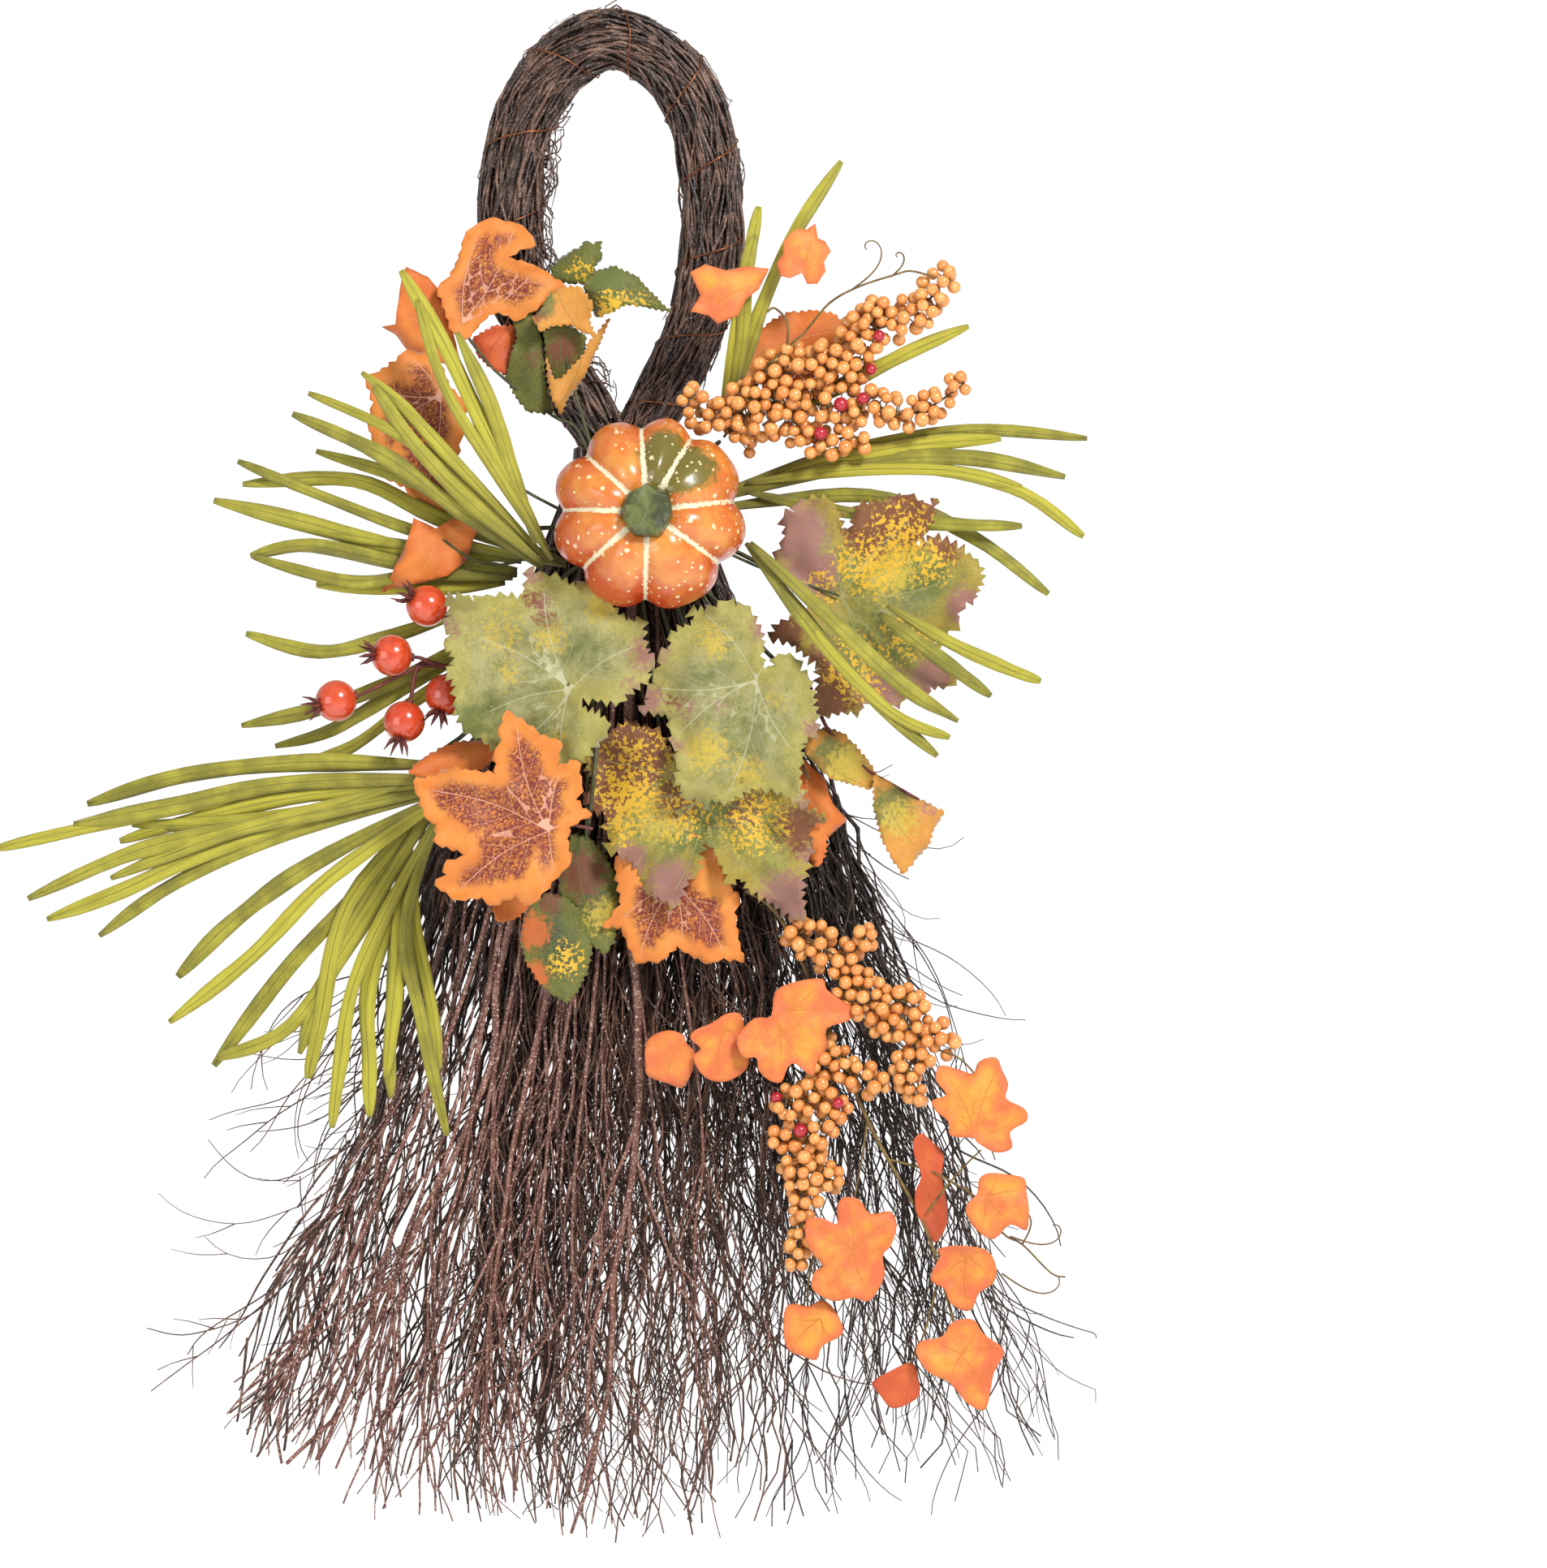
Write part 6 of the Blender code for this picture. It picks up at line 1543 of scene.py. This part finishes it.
def berry_cluster(name, branches, body, node, reds):
    """Beads crowded round branches of (corners, beads per cm, spread); the ones nearest to reds are red.
    Gives back the short stalks the beads sit on."""
    centres = []
    stalks = []
    for corners, per_cm, spread in branches:
        line = smooth_line([Vector(corner) * MM for corner in corners], 6)
        length = sum((b - a).length for a, b in zip(line[:-1], line[1:]))
        wanted = int(length * 100.0 * per_cm)
        tries = 0
        made = 0
        while made < wanted and tries < wanted * 30:
            tries += 1
            share = chance.random()
            index = min(len(line) - 2, int(share * (len(line) - 1)))
            root = line[index].lerp(line[index + 1], share * (len(line) - 1) - index)
            turn = chance.uniform(0.0, math.tau)
            along = (line[index + 1] - line[index]).normalized()
            side = along.cross(FRONT).normalized()
            taper = 1.0 - 0.55 * share ** 3
            reach = spread * MM * taper * math.sqrt(chance.random()) + 0.0022
            out = side * math.cos(turn) + FRONT * math.sin(turn) * 0.8
            centre = root + out * reach + along * chance.uniform(-0.002, 0.002)
            size = chance.uniform(0.86, 1.12)
            if any((centre - other).length < BERRY_GAP * 0.5 * (size + other_size)
                   for other, other_size, _ in centres):
                continue
            made += 1
            centres.append((centre, size, chance.uniform(0.0, 0.75)))
            middle = root.lerp(centre, 0.5) + along * 0.0008
            stalks.append(([root, middle, centre], [0.0004, 0.00035, 0.0003], 0.5))
    for x, y, z in reds:
        spot = Vector((x, y, z)) * MM
        nearest = min(range(len(centres)), key=lambda i: (centres[i][0] - spot).length)
        centres[nearest] = (centres[nearest][0], centres[nearest][1], 1.0)
    points, faces, tones = bead_mesh(centres, BERRY_RADIUS)
    thing = piece_from(name, points, faces)
    put_values(thing, "tone", tones)
    all_smooth(thing)
    dress(thing, BERRY, body, (node,))
    return stalks


def wires_of(paths, thick, tone=0.5, thin=0.8):
    """Strands of wire along smooth lines of millimetre corners."""
    made = []
    for corners in paths:
        line = smooth_line([Vector(corner) * MM for corner in corners], 5)
        count = len(line)
        radii = [thick * MM * (1.0 - (1.0 - thin) * i / (count - 1.0)) for i in range(count)]
        made.append((line, radii, tone))
    return made


def coil(start, heading, length, turns):
    """A tendril (mm) that runs out, a little forwards, and winds up into a loose coil."""
    x, y, z = start
    points = [start]
    steps = 26
    for index in range(1, steps + 1):
        share = index / steps
        heading += (turns * 360.0 / steps) * share ** 1.6 * 1.7
        stride = length / steps * (1.25 - 0.75 * share)
        x += math.cos(math.radians(heading)) * stride
        z += math.sin(math.radians(heading)) * stride
        y -= 3.0 / steps
        points.append((x, y, z))
    return points


def make_upper_spray():
    """The upper berry spray with its small leaves and tendrils."""
    body = "upper_spray"
    branches = [([(54, -50, -182), (64, -52, -172), (92, -54, -168), (120, -54, -172)], 14.0, 13.0),
                ([(66, -52, -168), (84, -54, -152), (106, -54, -150), (120, -54, -146)], 14.0, 11.0),
                ([(108, -52, -152), (118, -54, -134), (130, -54, -122)], 15.0, 10.0),
                ([(124, -53, -132), (140, -54, -126), (152, -54, -116), (160, -54, -104)], 14.0, 7.0),
                ([(112, -52, -166), (128, -54, -170), (146, -54, -172), (168, -54, -158)], 13.0, 6.5),
                ([(44, -52, -180), (38, -54, -168), (33, -54, -162)], 12.0, 5.0),
                ([(80, -52, -172), (96, -54, -184), (118, -54, -184)], 11.0, 8.0)]
    reds = [(128, -60, -134), (124, -60, -150), (120, -60, -168), (108, -60, -170), (98, -60, -182)]
    stalks = berry_cluster("upper_spray_berries", branches, body, "upper_berry_spray", reds)
    wires = wires_of([branch[0] for branch in branches], 0.8)
    wires += wires_of([[(51, -49, -184), (62, -50, -168), (74, -56, -148), (90, -62, -134), (102, -64, -120),
                        (116, -64, -112), (134, -63, -106), (142, -60, -104), (154, -58, -107)],
                       [(62, -50, -168), (70, -56, -150), (80, -60, -146), (82, -60, -130), (76, -60, -122),
                        (72, -60, -124)]], 0.75, 0.5, 0.7)
    wires += wires_of([coil((112, -64, -114), 35, 46, 1.1), coil((132, -62, -107), 40, 22, 1.2)], 0.5,
                      0.4, 0.6)
    thing = strands("upper_spray_wires", wires + stalks)
    dress(thing, TENDRIL, body, ())
    leaf("upper_spray_leaf_left", [(-15, 13), (-8, 17), (2, 14), (12, 16), (23, 15), (18, 5), (12, 0),
                                   (8, -8), (-2, -12), (-6, -8), (-15, -6), (-10, 2)], (50, -118),
                                   [(180, 12), (20, 20), (250, 12)],
         (-66, 0.0, 0.0, 1.0, 3.0, 1.0, 2.0), MAPLE_SMALL, body, ("upper_small_leaf_1",), "maple_fabric")
    heading, length, width = 76, 25, 24
    veins = [(heading + side, length * share)
             for side, share in ((0, 0.92), (42, 0.6), (-42, 0.6), (84, 0.42), (-84, 0.42))]
    leaf("upper_spray_leaf_tip", turned(ROUND_LOBES, heading, length / 0.74, width), (88, -105), veins,
         (-68, 0.0, 0.0, 1.0, 4.0, 1.0, 3.0), MAPLE_SMALL, body, ("upper_small_leaf_2",), spacing=2.4)


# name, CAD node, hub, depth, lean, finish, veins (heading, length) and outline, in mm
SPRAY_LEAVES = [
    ("leaf_broad", "lower_small_leaf_1", (76, -464), -56, (0.05, 0.1), MAPLE_SMALL,
     [(32, 24), (1, 33), (-59, 30), (-86, 28), (-126, 20)],
     [(58, -474), (66, -466), (74, -465), (76, -453), (87, -448), (99, -447), (101, -452), (109, -458),
      (114, -461), (112, -467), (101, -471), (101, -480), (96, -488), (94, -494), (86, -488), (82, -490),
      (79, -497), (73, -496), (68, -491), (67, -485), (61, -485), (58, -480)]),
    ("leaf_pink_edged", "lower_small_leaf_2", (173, -524), -56, (0.05, -0.05), MAPLE_SMALL,
     [(115, 34), (72, 34), (26, 24), (-16, 14), (139, 22)],
     [(152, -506), (159, -503), (154, -496), (156, -489), (165, -491), (172, -493), (175, -487), (183, -485),
      (186, -491), (189, -498), (188, -505), (197, -510), (198, -516), (190, -521), (191, -529), (183, -531),
      (174, -526), (172, -524), (161, -523), (160, -516), (154, -511)]),
    ("leaf_right", "lower_small_leaf_3", (178, -553), -56, (0.0, 0.0), MAPLE_SMALL,
     [(60, 12), (10, 20), (-40, 22), (-100, 16), (160, 8)],
     [(169, -556), (174, -551), (175, -544), (180, -541), (190, -542), (197, -544), (198, -551), (199, -559),
      (198, -569), (190, -566), (182, -573), (174, -569), (169, -562)]),
    ("leaf_right_low", "lower_small_leaf_4", (169, -582), -57, (0.0, 0.1), MAPLE_SMALL,
     [(-90, 24), (-40, 14), (-140, 14), (20, 12), (160, 12)],
     [(152, -589), (156, -581), (155, -578), (164, -576), (178, -578), (183, -586), (182, -594), (175, -599),
      (172, -606), (168, -608), (161, -604), (158, -597), (152, -594)]),
    ("leaf_golden", "lower_small_leaf_5", (114, -579), -57, (0.05, 0.05), MAPLE_SMALL,
     [(100, 24), (40, 22), (-70, 22), (-125, 22), (150, 24)],
     [(91, -564), (99, -563), (106, -566), (106, -558), (109, -553), (117, -554), (122, -561), (132, -560),
      (135, -567), (132, -576), (128, -581), (129, -591), (122, -603), (114, -601), (104, -603), (94, -597),
      (95, -589), (99, -586), (92, -577)]),
    ("leaf_lowest", "lower_small_leaf_6", (166, -629), -59, (0.1, 0.1), MAPLE_SMALL,
     [(60, 16), (-60, 26), (160, 20), (10, 18), (-110, 14)],
     [(144, -627), (147, -622), (157, -620), (162, -613), (172, -612), (177, -619), (187, -627), (182, -637),
      (180, -649), (177, -656), (169, -652), (160, -642), (150, -637)]),
    ("leaf_left_low", "", (98, -612), -51, (0.0, 0.1), MAPLE_SMALL,
     [(-135, 18), (-90, 18), (-60, 14), (180, 14)],
     [(81, -607), (86, -605), (92, -606), (99, -603), (105, -608), (109, -619), (99, -625), (96, -632),
      (89, -630), (82, -627), (80, -617)]),
    ("leaf_scrap_low", "", (142, -636), -54, (0.3, 0.0), MAPLE_DARK, [(-150, 18), (-100, 16)],
     [(123, -643), (132, -637), (142, -633), (145, -639), (146, -649), (139, -654), (132, -655),
      (127, -649)]),
    ("leaf_far_left", "", (30, -477), -50, (0.1, 0.0), MAPLE_SMALL, [(-110, 20), (-60, 16), (180, 14)],
     [(13, -480), (16, -475), (24, -472), (31, -474), (33, -478), (37, -483), (36, -491), (31, -500),
      (24, -498), (14, -494), (13, -488)]),
    ("leaf_left", "", (52, -470), -52, (0.1, 0.0), MAPLE_SMALL, [(-100, 24), (-60, 20), (-140, 16), (60, 8)],
     [(35, -476), (37, -472), (46, -468), (52, -464), (59, -464), (61, -471), (60, -478), (63, -483),
      (62, -491), (52, -497), (42, -495), (36, -485), (40, -481)]),
    ("leaf_edge_on", "", (148, -524), -50, (0.7, 0.0), MAPLE_DARK, [(-80, 44)],
     [(143, -526), (147, -522), (152, -526), (158, -533), (157, -543), (160, -559), (159, -569), (154, -576),
      (150, -569), (145, -561), (144, -551), (147, -543), (144, -534)])]


def make_lower_spray():
    """The lower berry spray: two berried branches, small leaves and tendrils."""
    body = "lower_spray"
    branches = [([(84, -44, -424), (96, -46, -430), (110, -47, -440), (118, -48, -452)], 9.0, 8.0),
                ([(112, -47, -436), (118, -48, -430), (120, -48, -424)], 9.0, 5.0),
                ([(112, -48, -448), (126, -48, -462), (134, -48, -474)], 10.0, 8.0),
                ([(124, -48, -454), (138, -48, -458), (148, -48, -458)], 9.0, 5.5),
                ([(134, -48, -462), (146, -48, -478), (140, -48, -494), (146, -48, -506)], 9.0, 6.0),
                ([(142, -48, -474), (154, -48, -474), (162, -48, -480)], 9.0, 5.5),
                ([(98, -46, -482), (108, -48, -490), (128, -48, -500)], 9.0, 7.0),
                ([(108, -46, -494), (92, -48, -506), (76, -48, -508)], 9.0, 8.0),
                ([(104, -46, -506), (94, -48, -520), (76, -48, -524)], 9.0, 7.0),
                ([(94, -46, -520), (90, -48, -538), (106, -48, -546)], 9.0, 8.0),
                ([(84, -46, -538), (90, -48, -556), (88, -48, -572), (86, -48, -586)], 8.0, 5.0)]
    reds = [(113, -54, -512), (88, -54, -524), (78, -54, -504)]
    stalks = berry_cluster("lower_spray_berries", branches, body, "lower_berry_spray", reds)
    wires = wires_of([branch[0] for branch in branches], 0.8)
    wires += wires_of([[(62, -41, -404), (80, -41, -420), (104, -43, -476), (121, -44, -516),
                        (131, -46, -535), (148, -49, -566), (156, -51, -590), (164, -54, -618)]], 1.3, 0.6,
                        0.6)
    wires += wires_of([[(134, -46, -474), (150, -48, -480), (166, -52, -486), (178, -54, -500)],
                       [(131, -46, -535), (150, -48, -540), (166, -52, -548), (178, -54, -556)],
                       [(121, -44, -516), (118, -48, -535), (114, -53, -556)],
                       [(104, -43, -476), (96, -48, -470), (80, -53, -466)],
                       [(152, -50, -578), (160, -52, -584), (168, -54, -590)],
                       [(86, -50, -468), (66, -48, -476), (44, -48, -482), (26, -48, -484)],
                       [(156, -51, -590), (148, -52, -620), (140, -53, -636)],
                       [(96, -46, -575), (92, -48, -596), (92, -50, -612)],
                       [(168, -53, -548), (186, -52, -570), (196, -50, -576), (210, -48, -590),
                        (217, -47, -592)],
                       [(150, -50, -560), (164, -52, -542), (176, -52, -530)]], 0.7, 0.5, 0.6)
    wires += wires_of([coil((190, -51, -572), -20, 40, 0.9), coil((186, -52, -590), -35, 44, 0.8),
                       coil((196, -50, -576), 60, 26, 1.0)], 0.5, 0.5, 0.6)
    thing = strands("lower_spray_wires", keep_inside(wires + stalks))
    dress(thing, TENDRIL, body, ())
    for name, node, hub, depth, lean, finish, veins, outline in SPRAY_LEAVES:
        leaf("lower_spray_" + name, rounded(from_hub(outline, hub)), hub, veins,
             (depth, lean[0], lean[1], 2.0, 3.5, 1.4, -2.5), finish, body, (node,) if node else (),
             spacing=2.2)


# middle (mm) and heading of the crown, which points away from the stem
HIPS = [((-93, -51, -266), 150), ((-110, -51, -290), 175), ((-137, -51, -312), 195), ((-104, -51, -322), 255),
        ((-84, -50, -309), 250)]


def make_rosehips():
    """Rose hips: round lacquered fruits with a spiky dry crown, on forked stems."""
    stems = []
    for index, (centre, heading) in enumerate(HIPS):
        clear_choice()
        bpy.ops.mesh.primitive_uv_sphere_add(segments=40, ring_count=22, radius=HIP_RADIUS)
        fruit = bpy.context.active_object
        fruit.name = "rosehip_fruit_%d" % (index + 1)
        for vertex in fruit.data.vertices:
            up = vertex.co.z / HIP_RADIUS
            vertex.co.z *= 1.0 + 0.03 * up
            if up > 0.86:
                vertex.co.z -= 0.0010 * (up - 0.86) / 0.14
        turn = Matrix.Rotation(math.radians(90.0 - heading), 4, "Y")
        lean = Matrix.Rotation(math.radians(24.0), 4, "X")
        place = Matrix.Translation(Vector(centre) * MM) @ turn @ lean
        fruit.matrix_world = place
        settle(fruit)
        all_smooth(fruit)
        put_values(fruit, "tone", [0.2 + 0.12 * index] * len(fruit.data.vertices))
        dress(fruit, HIP, "rosehips_pick", ("rosehip_%d" % (index + 1),))
        for spike in range(7):
            angle = math.tau * spike / 7.0 + index
            out = Vector((math.cos(angle), math.sin(angle), 0.0))
            top = chance.uniform(0.0145, 0.0175)
            corners = [Vector((0.0, 0.0, 0.0088)) + out * 0.0010, Vector((0.0, 0.0, 0.0108)) + out * 0.0028,
                       Vector((0.0, 0.0, 0.0128)) + out * 0.0046, Vector((0.0, 0.0, top)) + out * 0.0062]
            stems.append(([place @ corner for corner in corners], [0.0009, 0.0011, 0.0008, 0.0002], 0.3))
        away = Vector((math.cos(math.radians(heading)), 0.0, math.sin(math.radians(heading))))
        end = Vector(centre) * MM - away * 0.0098
        start = Vector((-76, -46, -298)) * MM
        middle = start.lerp(end, 0.5) + Vector((0.0, 0.001, 0.0))
        if index in (2, 3):
            middle = Vector((-93 - index, -47, -298 + 1.5 * index)) * MM
        line = smooth_line([start, middle, end - away * 0.004, end], 5)
        stems.append((line, [0.0013 - 0.0004 * i / (len(line) - 1.0) for i in range(len(line))], 0.5))
        knob = [end - away * 0.001, end + away * 0.001]
        stems.append((knob, [0.0022, 0.0026], 0.4))
    root = ((-52, -44, -286), (-64, -45, -292), (-76, -46, -298))
    line = smooth_line([Vector(corner) * MM for corner in root], 4)
    stems.append((line, [0.0014] * len(line), 0.5))
    thing = strands("rosehip_stems", stems)
    dress(thing, HIP_STEM, "rosehips_pick", ("rosehip_stem",))


def make_sprig():
    """The thin sprig with two leaves on the right."""
    body = "leaf_sprig_pick"
    wires = wires_of([[(91, -49, -300), (100, -50, -323), (108, -51, -333), (120, -51, -345),
                       (132, -51, -352), (146, -51, -360)]], 1.1, 0.5, 0.6)
    dress(strands("sprig_wire", wires), HIP_STEM, body, ("sprig_stem",))
    near = [(89, -332), (93, -327), (101, -325), (109, -328), (114, -333), (120, -340), (126, -349),
            (122, -355), (112, -352), (104, -350), (98, -345), (92, -339)]
    far = [(124, -348), (131, -351), (140, -357), (150, -362), (158, -366), (153, -374), (150, -382),
           (143, -390), (138, -396), (133, -389), (128, -379), (124, -364)]
    for name, node, hub, outline, heading, dabs in (
            ("sprig_leaf_near", "sprig_leaf_1", (91, -333), near, -35,
             {"green": [(14, -6, 22, 0.8)], "yellow": [(20, -12, 20, 0.9)]}),
            ("sprig_leaf_far", "sprig_leaf_2", (126, -350), far, -62,
             {"green": [(6, -14, 20, 0.9)], "yellow": [(10, -20, 20, 0.7)], "mauve": [(24, -14, 12, 0.5)]})):
        leaf(name, from_hub(outline, hub), hub, [(heading, 36)], (-54, 0.05, 0.1, 1.0, 4.0, 1.5, 4.0),
             OLIVE_ORANGE, body, (node,), "variegated_fabric", dabs, *SMALL_TEETH)


def make_stalks():
    """Leaf stalks and pick wires that run from the taped block to the leaves."""
    paths = [[(-14, -34, -220), (-22, -50, -270), (-24, -68, -305)],
             [(20, -34, -226), (48, -52, -272), (66, -60, -300)],
             [(22, -34, -224), (66, -46, -246), (107, -53, -261)],
             [(10, -34, -230), (30, -44, -300), (42, -50, -356)],
             [(-6, -30, -215), (-20, -24, -180), (-33, -22, -172), (-61, -21, -150), (-77, -25, -130)],
             [(8, -33, -236), (20, -38, -330), (27, -41, -398)],
             [(-10, -30, -200), (-22, -24, -160), (-30, -24, -130)],
             [(-14, -32, -226), (-60, -36, -200), (-86, -31, -165)],
             [(-14, -34, -230), (-60, -40, -246), (-88, -41, -232)],
             [(-6, -36, -244), (-14, -44, -330), (-16, -46, -380)],
             [(24, -36, -240), (70, -44, -300), (92, -45, -350)]]
    dress(strands("leaf_stalks", wires_of(paths, 0.9)), GREEN_TAPE, CORE, ())
    stem = [[(-12, -78, -374), (-24, -80, -372), (-34, -83, -374)]]
    dress(strands("maple_leaf_low_left_stalk", wires_of(stem, 1.0)), HIP_STEM, "maple_low_left_pick", ())


def refinish(node, finish):
    """A better finish for a CAD node that stays."""
    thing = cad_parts[node]
    for place in thing.material_slots:
        place.material = finish


# ---------------------------------------------------------------- the room
SKY_LIGHT = 0.65       # strength of the white surroundings as light
SKY_SEEN = 0.43        # added to it where the camera looks at them, so that they look plain white
FLOOR_HEIGHT = -1.25   # metres, well below the hanging wreath
FLOOR_GLOW = 0.45
LAMP_AIM = Vector((0.0, 0.0, -0.35))   # the middle of the wreath
LAMPS = (("key", (1.0, -1.8, 1.0), 66.0, 0.5), ("fill", (-1.5, -1.6, -0.2), 14.0, 1.2))
EYE = (0.0752, -3.435, -0.3524)


def make_room():
    """Pale floor, even studio light and the camera."""
    bpy.context.scene.view_settings.view_transform = "Standard"
    world = bpy.data.worlds.new("pale_room")
    bpy.context.scene.world = world
    world.use_nodes = True
    world.node_tree.nodes["Background"].inputs["Color"].default_value = (1.0, 1.0, 1.0, 1.0)
    seen = add(world.node_tree, "ShaderNodeLightPath").outputs["Is Camera Ray"]
    strength = figure(world.node_tree, "MULTIPLY_ADD", seen, SKY_SEEN, SKY_LIGHT)
    world.node_tree.links.new(strength, world.node_tree.nodes["Background"].inputs["Strength"])
    clear_choice()
    bpy.ops.mesh.primitive_plane_add(size=30.0, location=(0.0, 0.0, FLOOR_HEIGHT))
    floor = settle(bpy.context.active_object)
    floor.name = "floor"
    finish, tree, shader = finish_of("matt_white_floor", 0.9)
    grain = add(tree, "ShaderNodeValToRGB", links={0: spots(tree, 900.0, 2.0)})
    grain.color_ramp.elements[0].color = (0.94, 0.94, 0.94, 1.0)
    grain.color_ramp.elements[1].color = (0.96, 0.96, 0.96, 1.0)
    tree.links.new(grain.outputs[0], shader.inputs["Base Color"])
    shader.inputs["Emission Color"].default_value = (1.0, 1.0, 1.0, 1.0)
    shader.inputs["Emission Strength"].default_value = FLOOR_GLOW
    floor.data.materials.append(finish)
    for name, place, power, size in LAMPS:
        lamp = bpy.data.lights.new(name, "AREA")
        lamp.energy = power
        lamp.size = size
        holder = bpy.data.objects.new(name, lamp)
        bpy.context.scene.collection.objects.link(holder)
        holder.location = place
        holder.rotation_euler = (LAMP_AIM - Vector(place)).to_track_quat("-Z", "Y").to_euler()
    eye = bpy.data.cameras.new("camera")
    eye.lens = 160.0
    eye.sensor_width = 36.0
    eye.sensor_fit = "AUTO"
    eye.dof.use_dof = False
    holder = bpy.data.objects.new("camera", eye)
    bpy.context.scene.collection.objects.link(holder)
    holder.location = EYE
    holder.rotation_euler = (math.radians(90.0), 0.0, 0.0)
    bpy.context.scene.camera = holder


make_loop()
make_bindings()
make_skirt()
make_red_branches()
make_leaves()
make_grass()
make_pumpkin()
make_upper_spray()
make_lower_spray()
make_rosehips()
make_sprig()
make_stalks()
refinish("loop_core_wire", COPPER)
refinish("pumpkin_pick", GREEN_TAPE)
refinish("pick_stem_bundle", GREEN_TAPE)
make_room()
bpy.context.view_layer.update()
